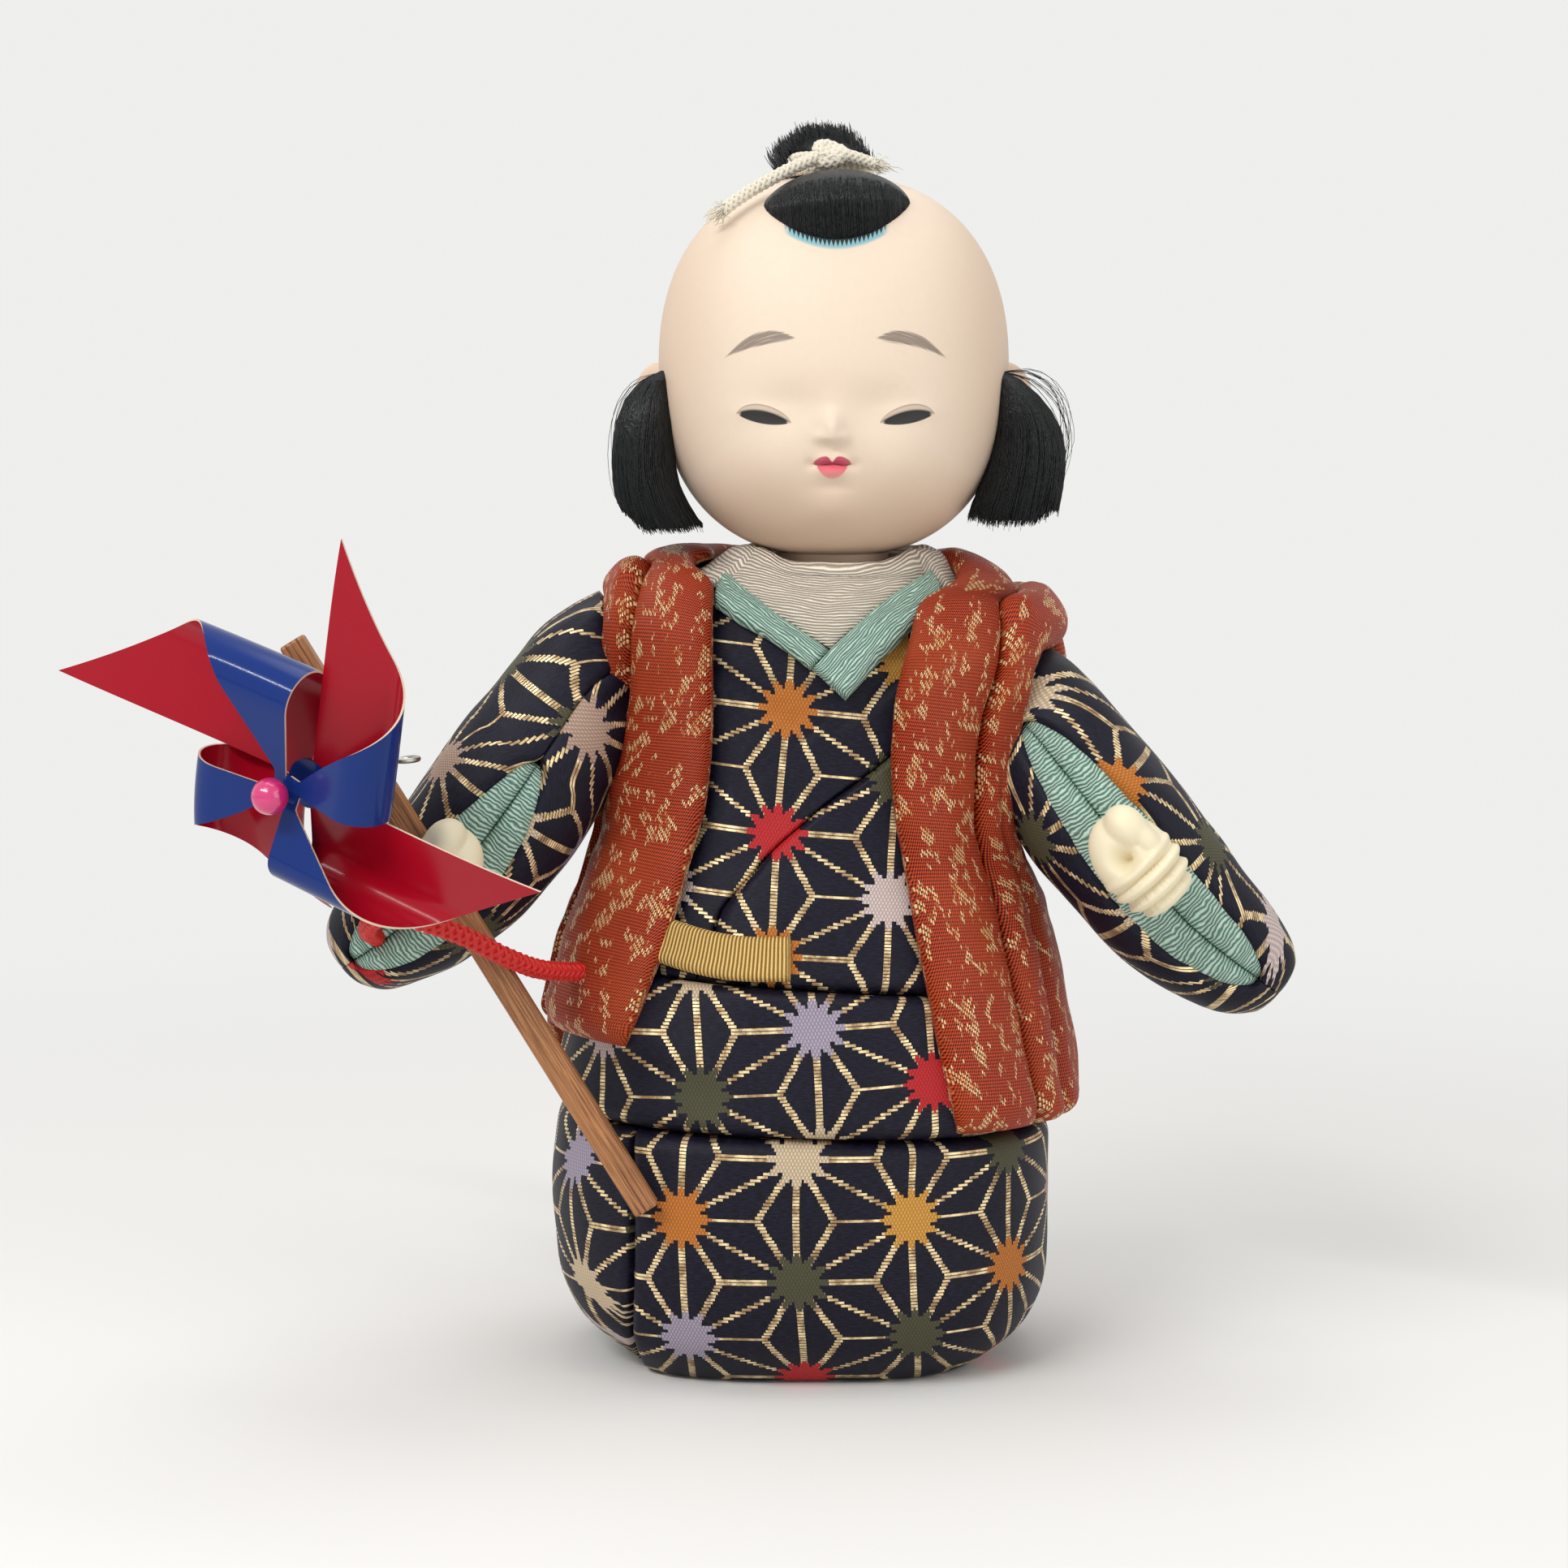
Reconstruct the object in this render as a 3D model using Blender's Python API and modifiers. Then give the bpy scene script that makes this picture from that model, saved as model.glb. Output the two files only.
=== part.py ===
"""Gosho doll: a padded, clothed figure with a large white head, holding a pinwheel on a stick.

Metres, +Z up. The origin is the middle of the flat underside of the base, and the doll faces -Y, so
its own left side is +X. Every cloth piece is laid on one body surface, at named depths in or out of it.
"""
import functools
import math

import bmesh
import bpy
from mathutils import Matrix, Vector

# Clearances
GAP = 0.00035
SEAM_GAP = 0.0005
OVERRUN = 0.0020

# Body surface: the outer face of the kimono
BODY_HEIGHT = 0.1150
BODY_HALF_WIDTH = 0.0360
BODY_HALF_DEPTH = 0.0300
BODY_LEAN = 0.0045
BODY_ROLL = math.radians(5.5)
# One row a station: height, half width, half depth, squareness, lean and roll
BODY_shares = (
    (0.000, 0.530, 0.520, 3.20, 0.00, 0.00),
    (0.000, 0.620, 0.625, 3.20, 0.00, 0.00),
    (0.005, 0.675, 0.690, 3.20, 0.00, 0.00),
    (0.023, 0.760, 0.775, 3.00, 0.00, 0.00),
    (0.065, 0.915, 0.905, 2.70, -0.05, 0.03),
    (0.130, 0.988, 0.977, 2.50, -0.15, 0.10),
    (0.217, 1.000, 1.000, 2.40, -0.20, 0.18),
    (0.313, 0.983, 0.987, 2.35, -0.08, 0.35),
    (0.400, 0.944, 0.950, 2.30, 0.05, 0.50),
    (0.487, 0.889, 0.883, 2.30, 0.12, 0.65),
    (0.574, 0.800, 0.783, 2.25, 0.25, 0.80),
    (0.661, 0.735, 0.700, 2.25, 0.40, 0.95),
    (0.748, 0.735, 0.655, 2.30, 0.60, 1.00),
    (0.826, 0.775, 0.620, 2.35, 0.80, 1.00),
    (0.887, 0.805, 0.595, 2.40, 0.92, 1.00),
    (0.930, 0.765, 0.540, 2.40, 0.97, 0.95),
    (0.952, 0.695, 0.490, 2.30, 1.00, 0.85),
    (0.970, 0.570, 0.430, 2.20, 1.00, 0.65),
    (0.985, 0.430, 0.375, 2.10, 1.00, 0.35),
    (0.995, 0.335, 0.365, 2.00, 1.00, 0.10),
    (1.000, 0.278, 0.334, 2.00, 1.00, 0.00),
)

# Depths of the cloth layers, from the body surface
CORE_DEPTH = -0.0036
CLOTH_UNDER = -0.0031
UNDER_FRONT_OUT = -0.0006
OVER_FRONT_OUT = 0.0
BACK_OUT = -0.0003
SKIRT_OUT = -0.0004
SKIRT_FRONT_OUT = 0.0004
FOLD_OUT = 0.0008
BIB_OUT = 0.0010
BAND_OUT = 0.0022
OBI_OUT = 0.0016
LIP_share = 0.40
CORE_DEEPER_FROM = 12.0
CORE_DEEPER_share = 1.3
CORE_STATIONS = (1.0, 3.0, 4.0, 5.0, 6.5, 8.0, 9.4, 10.2, 11.0, 11.8, 12.6, 13.4, 14.0, 15.0, 16.0, 17.0,
                 18.0, 19.6)

# Edges of the clothes, as shares of the body's height
SKIRT_TOP_share = 0.3165
FOLD_TOP_share = 0.4957
VEST_HEM_RIGHT_share = 0.4087
VEST_HEM_LEFT_share = 0.3478
VEST_HEM_BACK_share = 0.3739
ARMHOLE_LOW_share = 0.6087
ARMHOLE_HIGH_share = 0.8957
BIB_HEM_share = 0.9609
BIB_TIP_share = 0.9009
NAPE_IN_share = 0.9809
NAPE_OUT_share = 0.9087
OBI_LEFT_share = 0.5478
OBI_RIGHT_share = 0.5322
SKIRT_TOP = BODY_HEIGHT * SKIRT_TOP_share
FOLD_TOP = BODY_HEIGHT * FOLD_TOP_share
VEST_HEM_RIGHT = BODY_HEIGHT * VEST_HEM_RIGHT_share
VEST_HEM_LEFT = BODY_HEIGHT * VEST_HEM_LEFT_share
VEST_HEM_BACK = BODY_HEIGHT * VEST_HEM_BACK_share
ARMHOLE_LOW = BODY_HEIGHT * ARMHOLE_LOW_share
ARMHOLE_HIGH = BODY_HEIGHT * ARMHOLE_HIGH_share
BIB_HEM = BODY_HEIGHT * BIB_HEM_share
NAPE_IN = BODY_HEIGHT * NAPE_IN_share
NAPE_OUT = BODY_HEIGHT * NAPE_OUT_share
OBI_HEIGHT_LEFT = BODY_HEIGHT * OBI_LEFT_share
OBI_HEIGHT_RIGHT = BODY_HEIGHT * OBI_RIGHT_share

# Shoulders, as shares of the body's half width
SHOULDER_IN_share = 0.4778
SHOULDER_OUT_share = 0.7000
SHOULDER_END_share = 0.7833
SHOULDER_IN = BODY_HALF_WIDTH * SHOULDER_IN_share
SHOULDER_OUT = BODY_HALF_WIDTH * SHOULDER_OUT_share
SHOULDER_END = BODY_HALF_WIDTH * SHOULDER_END_share

# Head
HEAD_RISE = 0.0269
HEAD_CENTER = Vector((0.00405, -0.0010, BODY_HEIGHT + HEAD_RISE))
HEAD_AXIS_Y = 0.0
HEAD_HALF_WIDTH = 0.0249
HEAD_HALF_HEIGHT = 0.0258
HEAD_FRONT = 0.0225
HEAD_BACK = 0.0245
HEAD_SQUARENESS = 2.5
NECK_RADIUS = 0.0082
PEG_RADIUS = 0.0028
NECK_GAP = 0.0006
PEG_RISE = 0.0110
PEG_SEAT = 0.0165
PEG_TOP = BODY_HEIGHT + PEG_RISE
PEG_BOTTOM = BODY_HEIGHT - PEG_SEAT
PEG_CLEARANCE = 0.0003

# Vest
VEST_IN = 0.0013
VEST_COLLAR_IN = 0.0028
VEST_PAD = 0.0042
VEST_BACK_PAD = 0.0036
VEST_COLLAR_PAD = 0.0050
VEST_SHOULDER_PAD = 0.0026
ARMHOLE_BACK = math.radians(26.0)
ARMHOLE_FRONT = math.radians(12.0)
SEAM_STATION = 0.10

# Sleeves, mirrored about the body's middle
SLEEVE_MIRROR = 0.0003
SLEEVE_OUT = 0.0300
SLEEVE_DROP = 0.0170
SLEEVE_FORWARD_share = 0.40
SLEEVE_REACH = BODY_HALF_WIDTH + SLEEVE_OUT
SLEEVE_TOP = BODY_HEIGHT - SLEEVE_DROP
SLEEVE_HALF_WIDTH = 0.0116
SLEEVE_HALF_DEPTH = 0.0135
SLEEVE_FORWARD = BODY_HALF_DEPTH * SLEEVE_FORWARD_share
SLEEVE_SQUARENESS = 2.3
SLEEVE_SLOPE_share = 0.030
# One row a station: reach, height, half width, half depth and forward place
SLEEVE_shares = (
    (0.375, 0.985, 0.78, 0.68, 0.17),
    (0.462, 0.960, 0.88, 0.84, 0.42),
    (0.553, 0.893, 0.94, 0.95, 0.67),
    (0.644, 0.816, 1.00, 1.00, 0.83),
    (0.735, 0.735, 0.97, 0.96, 0.92),
    (0.826, 0.668, 0.83, 0.85, 0.96),
    (0.909, 0.620, 0.64, 0.70, 1.00),
    (0.970, 0.590, 0.41, 0.52, 1.00),
    (1.000, 0.576, 0.18, 0.26, 1.00),
)
SLOT_START = 1.0
SLOT_END = 6.6
SLOT_OFFSET = -0.0004
SLOT_END_share = 0.04
SLOT_HALF_WIDTH = 0.0052
SLOT_IN = 0.0010
SLOT_FLOOR = -SLEEVE_FORWARD - SLOT_IN
SLOT_CUT_FRONT = -SLEEVE_FORWARD - SLEEVE_HALF_DEPTH * 2
LINING_RECESS = 0.0008
LINING_CROWN = 0.0016

# Hands and arm wires
HAND_OUT_share = 0.6970
HAND_HEIGHT_share = 0.7755
HAND_IN = 0.0010
LEFT_HAND = Vector((SLEEVE_MIRROR + SLEEVE_REACH * HAND_OUT_share, HAND_IN - BODY_HALF_DEPTH,
                    SLEEVE_TOP * HAND_HEIGHT_share))
PALM_HALF_LENGTH = 0.0076
PALM_HALF_WIDTH = 0.0056
PALM_HALF_DEPTH = 0.0055
FINGER_HALF_WIDTH = 0.0014
# One row a finger: place along the fist, half width across it and half depth, as shares of the palm
FINGER_shares = ((0.10, 1.02, 1.10), (0.40, 1.02, 1.10), (0.68, 0.92, 1.00), (0.90, 0.72, 0.80))
THUMB_share = (-0.55, 0.46, 0.50)
HAND_CLEARANCE = 0.0012
WRIST_RADIUS = 0.0028
WRIST_LENGTH = 0.0165
WIRE_RADIUS = 0.0008
WIRE_CLEARANCE = 0.0003
WIRE_SEAT = 0.0045
SHOULDER_REACH_share = 0.4583
SHOULDER_DROP = 0.0175
SHOULDER_REACH = BODY_HALF_WIDTH * SHOULDER_REACH_share
SHOULDER_HEIGHT = BODY_HEIGHT - SHOULDER_DROP
SHOULDER_BACK = 0.0020
PALM_HOLE_RADIUS = 0.0018
PALM_HOLE_DEPTH = 0.0045

# Stick
STICK_FOOT_OUT_share = 0.6083
STICK_FOOT_RISE_share = 0.2330
STICK_TOP_OUT = 0.0039
STICK_TOP_RISE = 0.0077
STICK_TOP_IN = 0.0001
STICK_FOOT = Vector((-BODY_HALF_WIDTH * STICK_FOOT_OUT_share, HAND_IN - BODY_HALF_DEPTH,
                     BODY_HEIGHT * STICK_FOOT_RISE_share))
STICK_TOP = Vector((-SLEEVE_REACH - STICK_TOP_OUT, STICK_TOP_IN - BODY_HALF_DEPTH,
                    SLEEVE_TOP + STICK_TOP_RISE))
STICK_WIDTH = 0.0036
STICK_THICKNESS = 0.0032
STICK_EDGE = 0.0004
STICK_CLEARANCE = 0.0004
HAND_ON_STICK_share = 0.594
PIN_ON_STICK_share = 0.788

# Pinwheel
WHEEL_FACING = Vector((-0.560, -0.815, -0.140)).normalized()
WHEEL_STANDOFF = 0.0122
WHEEL_REACH = 0.0370
WHEEL_TURN = math.radians(-18.0)
TIP_REACH_shares = (1.00, 0.95, 1.14, 0.66)
CARD = 0.0004
ROLL_RADIUS = 0.0044
ROLL_SLOPE = math.radians(12.0)
BLADE_SLIT = 0.0006
HUB_RADIUS = 0.0034
FRONT_HUB_RADIUS = 0.0027
PIN_RADIUS = 0.0004
PIN_CLEARANCE = 0.00025
PIN_KINK = 0.0012
PIN_BEHIND = 0.0030
PIN_LOOP = 0.0021
PIN_DROP = 0.0010
BEAD_RADIUS = 0.0025
BEAD_GAP = 0.0006
BEAD_SEAT = 0.0030

# Hair
LOCK_CENTER = HEAD_CENTER + Vector((0.00015, -0.0120, 0.0226))
LOCK_HALF_WIDTH = 0.0106
LOCK_HALF_DEPTH = 0.0076
LOCK_HALF_HEIGHT = 0.0058
TUFT_ROOT = HEAD_CENTER + Vector((-0.00035, -0.0030, 0.0231))
TUFT_WAIST = HEAD_CENTER + Vector((-0.00055, -0.0025, 0.0296))
TUFT_TOP = HEAD_CENTER + Vector((-0.00305, 0.0014, 0.0349))
TUFT_WAIST_RADIUS = 0.0041
TUFT_TOP_RADIUS = 0.0072
SIDE_LOCK_SPREAD = 0.0266
SIDE_LOCK_RISE = 0.0001
SIDE_LOCK_TOP = HEAD_CENTER.z + SIDE_LOCK_RISE
SIDE_LOCK_DROP = 0.0226
SIDE_LOCK_HALF_WIDTH = 0.0062
SIDE_LOCK_HALF_DEPTH = 0.0056
SIDE_LOCK_FORWARD = 0.0045
# One row a station: drop, place across, half width and half depth
SIDE_LOCK_shares = ((0.00, 0.994, 0.26, 0.46), (0.13, 1.04, 0.45, 0.72), (0.35, 1.077, 0.63, 0.90),
                    (0.62, 1.017, 0.75, 0.95), (0.84, 0.994, 0.86, 1.00), (1.00, 0.940, 1.00, 1.00))
HAIR_CORD_RADIUS = 0.0011
HAIR_CORD_LEFT = HEAD_CENTER + Vector((-0.01625, -0.0112, 0.0228))
HAIR_CORD_BEND = HEAD_CENTER + Vector((-0.01005, -0.0108, 0.0271))
HAIR_CORD_RISE = HEAD_CENTER + Vector((-0.00485, -0.0100, 0.0297))
HAIR_CORD_KNOT = HEAD_CENTER + Vector((-0.00055, -0.0082, 0.0309))
HAIR_CORD_RIGHT = HEAD_CENTER + Vector((0.00875, -0.0060, 0.0283))
HAIR_KNOT_HALF_WIDTH = 0.0034
HAIR_KNOT_HALF_HEIGHT = 0.0018
EAR_HEIGHT = -0.0044
EAR_BACK = 0.0050
EAR_HALF_WIDTH = 0.0050
EAR_HALF_DEPTH = 0.0026
EAR_HALF_HEIGHT = 0.0060
NOSE_HEIGHT = -0.0063
NOSE_HALF_WIDTH = 0.0026
NOSE_HALF_DEPTH = 0.0022
NOSE_HALF_HEIGHT = 0.0023

# Cord from the lining of the right sleeve to the edge of the vest
CORD_RADIUS = 0.0011
CORD_ROUTE = (
    Vector((-0.0595, -0.0160, 0.0625)),
    Vector((-0.0603, -0.0270, 0.0655)),
    Vector((-0.0585, -0.0348, 0.0682)),
    Vector((-0.0550, -0.0378, 0.0690)),
    Vector((-0.0509, -0.0376, 0.0680)),
    Vector((-0.0460, -0.0354, 0.0658)),
    Vector((-0.0410, -0.0330, 0.0628)),
    Vector((-0.0368, -0.0280, 0.0603)),
    Vector((-0.0330, -0.0215, 0.0589)),
    Vector((-0.0300, -0.0165, 0.0583)),
)
CORD_CLEARANCE = 0.0003

# Base
BASE_PLATE_THICKNESS = 0.0030

HALF_TURN = math.pi
QUARTER_TURN = math.pi / 2
FULL_TURN = 2 * math.pi
FRONT = -QUARTER_TURN


def new_collection(name):
    collection = bpy.data.collections.new(name)
    bpy.context.scene.collection.children.link(collection)
    return collection


for old in list(bpy.data.objects):
    bpy.data.objects.remove(old, do_unlink=True)
PARTS = new_collection("gosho_doll")
CUTTERS = new_collection("cutters")


def material(name, color, roughness, metallic=0.0):
    made = bpy.data.materials.get(name)
    if made:
        return made
    made = bpy.data.materials.new(name)
    made.use_nodes = True
    shader = made.node_tree.nodes["Principled BSDF"]
    shader.inputs["Base Color"].default_value = (*color, 1.0)
    shader.inputs["Roughness"].default_value = roughness
    shader.inputs["Metallic"].default_value = metallic
    made.diffuse_color = (*color, 1.0)
    return made


BROCADE = material("navy_brocade", (0.020, 0.022, 0.060), 0.55)
RUST = material("rust_brocade", (0.430, 0.095, 0.030), 0.60)
MINT = material("mint_crepe", (0.310, 0.560, 0.470), 0.70)
CREAM = material("cream_crepe", (0.720, 0.640, 0.540), 0.75)
GOLD = material("gold_ribbon", (0.700, 0.430, 0.070), 0.45)
SHELL_WHITE = material("matt_shell_white", (0.800, 0.640, 0.520), 0.60)
HAIR = material("black_hair", (0.008, 0.008, 0.010), 0.35)
CORD_WHITE = material("cream_cord", (0.740, 0.700, 0.600), 0.70)
CORD_RED = material("red_cord", (0.600, 0.020, 0.010), 0.60)
BAMBOO = material("bamboo", (0.480, 0.250, 0.090), 0.50)
CARD_RED = material("card_red", (0.480, 0.010, 0.020), 0.20)
STEEL = material("wire", (0.450, 0.430, 0.380), 0.30, 1.0)
PEARL = material("pink_pearl", (0.750, 0.050, 0.250), 0.15)
COMPOSITE = material("pressed_composite", (0.420, 0.310, 0.190), 0.90)
WOOD = material("plain_wood", (0.550, 0.380, 0.210), 0.70)


def face_outwards(bm):
    bm.normal_update()
    bmesh.ops.recalc_face_normals(bm, faces=bm.faces)
    if bm.calc_volume(signed=True) < 0:
        bmesh.ops.reverse_faces(bm, faces=bm.faces)


def finish_mesh(name, bm, look, collection=PARTS, smooth_angle=40.0):
    """Turn a bmesh into a named object with outward faces."""
    face_outwards(bm)
    mesh = bpy.data.meshes.new(name)
    bm.to_mesh(mesh)
    bm.free()
    mesh.shade_smooth()
    mesh.set_sharp_from_angle(angle=math.radians(smooth_angle))
    made = bpy.data.objects.new(name, mesh)
    collection.objects.link(made)
    if look:
        mesh.materials.append(look)
    if collection is CUTTERS:
        made.hide_render = True
        made.display_type = "WIRE"
    return made


def boolean(target, tool, operation):
    modifier = target.modifiers.new(f"{operation.lower()}_{tool.name}", "BOOLEAN")
    modifier.operation = operation
    modifier.solver = "EXACT"
    modifier.object = tool


def cut(target, *tools):
    for tool in tools:
        boolean(target, tool, "DIFFERENCE")


def join(target, *tools):
    for tool in tools:
        boolean(target, tool, "UNION")


def loft(name, rings, look, collection=PARTS, smooth_angle=40.0):
    """Close a row of unlike sections, each with the same number of points, into one body."""
    bm = bmesh.new()
    rows = [[bm.verts.new(point) for point in ring] for ring in rings]
    count = len(rows[0])
    for low, high in zip(rows, rows[1:]):
        for i in range(count):
            j = (i + 1) % count
            bm.faces.new((low[i], low[j], high[j], high[i]))
    bm.faces.new(rows[0][::-1])
    bm.faces.new(rows[-1])
    return finish_mesh(name, bm, look, collection, smooth_angle)


def rod(name, start, end, radius, look, collection=PARTS, sides=16, end_radius=None):
    """A cylinder or cone between two points."""
    axis = end - start
    bm = bmesh.new()
    turn = axis.to_track_quat("Z", "Y").to_matrix().to_4x4()
    place = Matrix.Translation((start + end) / 2) @ turn
    bmesh.ops.create_cone(
        bm, cap_ends=True, segments=sides, radius1=radius,
        radius2=radius if end_radius is None else end_radius, depth=axis.length, matrix=place)
    return finish_mesh(name, bm, look, collection)


def turned(name, axis, stations, sides=14):
    """A stepped round cutter: rings of (middle, radius) across one axis."""
    wide = axis.orthogonal().normalized()
    deep = axis.cross(wide)
    turns = [share / sides * FULL_TURN for share in range(sides)]
    rings = [[middle + wide * (math.cos(turn) * radius) + deep * (math.sin(turn) * radius)
              for turn in turns] for middle, radius in stations]
    return loft(name, rings, None, CUTTERS)


def ellipsoid(name, center, axes, look=None, collection=CUTTERS, sides=16, rings=10):
    """axes are three perpendicular half-axis vectors."""
    bm = bmesh.new()
    bmesh.ops.create_uvsphere(bm, u_segments=sides, v_segments=rings, radius=1.0)
    for vert in bm.verts:
        x, y, z = vert.co
        vert.co = center + axes[0] * x + axes[1] * y + axes[2] * z
    return finish_mesh(name, bm, look, collection)


def smooth_path(points, per_span):
    """Points on a smooth curve through the given points."""
    last = len(points) - 1
    path = []
    for i in range(last):
        before = points[max(i - 1, 0)]
        start, end = points[i], points[i + 1]
        after = points[min(i + 2, last)]
        for step in range(per_span):
            t = step / per_span
            leave = (end - before) / 2
            arrive = (after - start) / 2
            path.append(
                start * (2 * t**3 - 3 * t**2 + 1) + leave * (t**3 - 2 * t**2 + t)
                + end * (3 * t**2 - 2 * t**3) + arrive * (t**3 - t**2))
    path.append(points[last])
    return path


def tube(name, points, radius, look, ring=False):
    """A round wire or cord along the points, as a curve with filled caps, or closed to a ring."""
    curve = bpy.data.curves.new(name, "CURVE")
    curve.dimensions = "3D"
    curve.bevel_depth = radius
    curve.bevel_resolution = 1
    curve.use_fill_caps = True
    spline = curve.splines.new("POLY")
    spline.use_cyclic_u = ring
    spline.points.add(len(points) - 1)
    for target, point in zip(spline.points, points):
        target.co = (*point, 1.0)
    curve.materials.append(look)
    made = bpy.data.objects.new(name, curve)
    PARTS.objects.link(made)
    return made


def meshed(made, collection=PARTS):
    """Make a curve object a closed mesh, so that it can be cut or joined."""
    graph = bpy.context.evaluated_depsgraph_get()
    mesh = bpy.data.meshes.new_from_object(made.evaluated_get(graph))
    name = made.name
    place = made.matrix_world.copy()
    bpy.data.objects.remove(made, do_unlink=True)
    bm = bmesh.new()
    bm.from_mesh(mesh)
    bmesh.ops.remove_doubles(bm, verts=bm.verts, dist=GAP / 100)
    face_outwards(bm)
    bm.to_mesh(mesh)
    bm.free()
    solid = bpy.data.objects.new(name, mesh)
    solid.matrix_world = place
    collection.objects.link(solid)
    if collection is CUTTERS:
        solid.hide_render = True
        solid.display_type = "WIRE"
    return solid


def slope_at(values, i):
    """Slope of a smooth curve through evenly spaced values that never overshoots them."""
    if i == 0:
        return values[1] - values[0]
    if i == len(values) - 1:
        return values[i] - values[i - 1]
    before = values[i] - values[i - 1]
    after = values[i + 1] - values[i]
    if before * after <= 0:
        return 0.0
    return 2 * before * after / (before + after)


def table_at(rows, place):
    """Every column of a table at a place counted in rows."""
    last = len(rows) - 1
    i = max(0, min(int(place), last - 1))
    t = place - i
    found = []
    for column in zip(*rows):
        leave = slope_at(column, i)
        arrive = slope_at(column, i + 1)
        found.append(
            column[i] * (2 * t**3 - 3 * t**2 + 1) + leave * (t**3 - 2 * t**2 + t)
            + column[i + 1] * (3 * t**2 - 2 * t**3) + arrive * (t**3 - t**2))
    return found


def solve(function, low, high):
    """The place between low and high where a rising function passes zero."""
    for _ in range(40):
        middle = (low + high) / 2
        if function(middle) < 0:
            low = middle
        else:
            high = middle
    return (low + high) / 2


# The body surface. A place on it is an angle round the body, from +X towards +Y, and a station,
# counted in rows of BODY_shares.
NECK_STATION = len(BODY_shares) - 1


@functools.lru_cache(maxsize=None)
def body_ring(station):
    height, width, depth, squareness, lean, roll = table_at(BODY_shares, station)
    return (height * BODY_HEIGHT, width * BODY_HALF_WIDTH, depth * BODY_HALF_DEPTH,
            squareness, lean * BODY_LEAN, roll * BODY_ROLL)


def body_point(angle, station):
    height, half_width, half_depth, squareness, lean, roll = body_ring(station)
    across, along = math.cos(angle), math.sin(angle)
    radius = (abs(across / half_width) ** squareness
              + abs(along / half_depth) ** squareness) ** (-1 / squareness)
    x = radius * across
    return Vector((lean + x * math.cos(roll), radius * along, height - x * math.sin(roll)))


@functools.lru_cache(maxsize=None)
def skin(angle, station, depth):
    """The point at a depth out of the body surface."""
    nudge = 0.02
    low, high = max(station - nudge, 0.0), min(station + nudge, NECK_STATION)
    round_it = body_point(angle + nudge, station) - body_point(angle - nudge, station)
    up_it = body_point(angle, high) - body_point(angle, low)
    normal = round_it.cross(up_it).normalized()
    return body_point(angle, station) + normal * depth


@functools.lru_cache(maxsize=None)
def station_at(height):
    return solve(lambda s: body_ring(s)[0] - height, 1.0, NECK_STATION)


def station_of_width(half_width):
    """The station on the shoulders where the body is this wide."""
    shoulder = station_at(ARMHOLE_HIGH)
    return solve(lambda s: half_width - body_ring(s)[1], shoulder, NECK_STATION)


def front_angle(x, station):
    """The angle on the front half where the surface has this x."""
    lean = body_ring(station)[4]
    half_width = body_ring(station)[1]
    wanted = max(-0.995 * half_width, min(0.995 * half_width, x - lean))
    return solve(lambda a: body_point(a, station).x - lean - wanted, -HALF_TURN, 0.0)


def rounded(share, lip):
    """0 at both edges and 1 between them, rising over the lip as a quarter round."""
    place = min(share, 1 - share) / lip
    return 1.0 if place >= 1 else math.sqrt(max(0.0, 1 - (1 - place) ** 2))


def padded(inner, outer, s, t, lip=0.12, round_s=True, round_t=True):
    """Outer depth of a padded panel, with soft edges."""
    lift = (rounded(s, lip) if round_s else 1.0) * (rounded(t, lip) if round_t else 1.0)
    return inner + (outer - inner) * (LIP_share + (1 - LIP_share) * lift)


def spread(count, lip=None):
    """Shares from 0 to 1, closer together at the soft edges when a lip is given."""
    if lip is None:
        return [i / count for i in range(count + 1)]
    inside = [lip + (1 - 2 * lip) * i / count for i in range(count + 1)]
    edge = [0.0, lip * 0.3]
    return edge + inside + [1 - share for share in reversed(edge)]


def shell(name, outside, inside, look, closed=False, collection=PARTS, smooth_angle=60.0):
    """Close two grids of points, an outer and an inner one, into one body with side walls."""
    bm = bmesh.new()
    outside, inside = ([[bm.verts.new(point) for point in row] for row in grid]
                       for grid in (outside, inside))
    count = len(outside[0])
    spans = count if closed else count - 1
    for grid in (outside, inside):
        for low, high in zip(grid, grid[1:]):
            for i in range(spans):
                j = (i + 1) % count
                bm.faces.new((low[i], low[j], high[j], high[i]))
    for row in (0, -1):
        for i in range(spans):
            j = (i + 1) % count
            bm.faces.new((outside[row][i], outside[row][j], inside[row][j], inside[row][i]))
    if not closed:
        for column in (0, -1):
            for low in range(len(outside) - 1):
                bm.faces.new((outside[low][column], outside[low + 1][column],
                              inside[low + 1][column], inside[low][column]))
    return finish_mesh(name, bm, look, collection, smooth_angle)


def panel(name, place, across, along, inner, outer, look, closed=False, collection=PARTS):
    """A closed cloth panel on the body surface.

    place(s, t) gives the angle and station at shares s across and t along the panel. inner(s, t) and
    outer(s, t) give the depths of its two faces. A closed panel runs round the body in a ring.
    """
    columns = across[:-1] if closed else across
    grids = []
    for depth in (outer, inner):
        grids.append([[skin(*place(s, t), depth(s, t)) for s in columns] for t in along])
    return shell(name, *grids, look, closed, collection)


def between(low, high, share):
    return low + (high - low) * share


def edge_at(table, height):
    """x of an edge drawn on the front, from a table of rows (height, x) that falls in height."""
    for (top, top_x), (low, low_x) in zip(table, table[1:]):
        if height >= low:
            return between(low_x, top_x, min(1.0, (height - low) / (top - low)))
    return table[-1][1]


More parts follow.
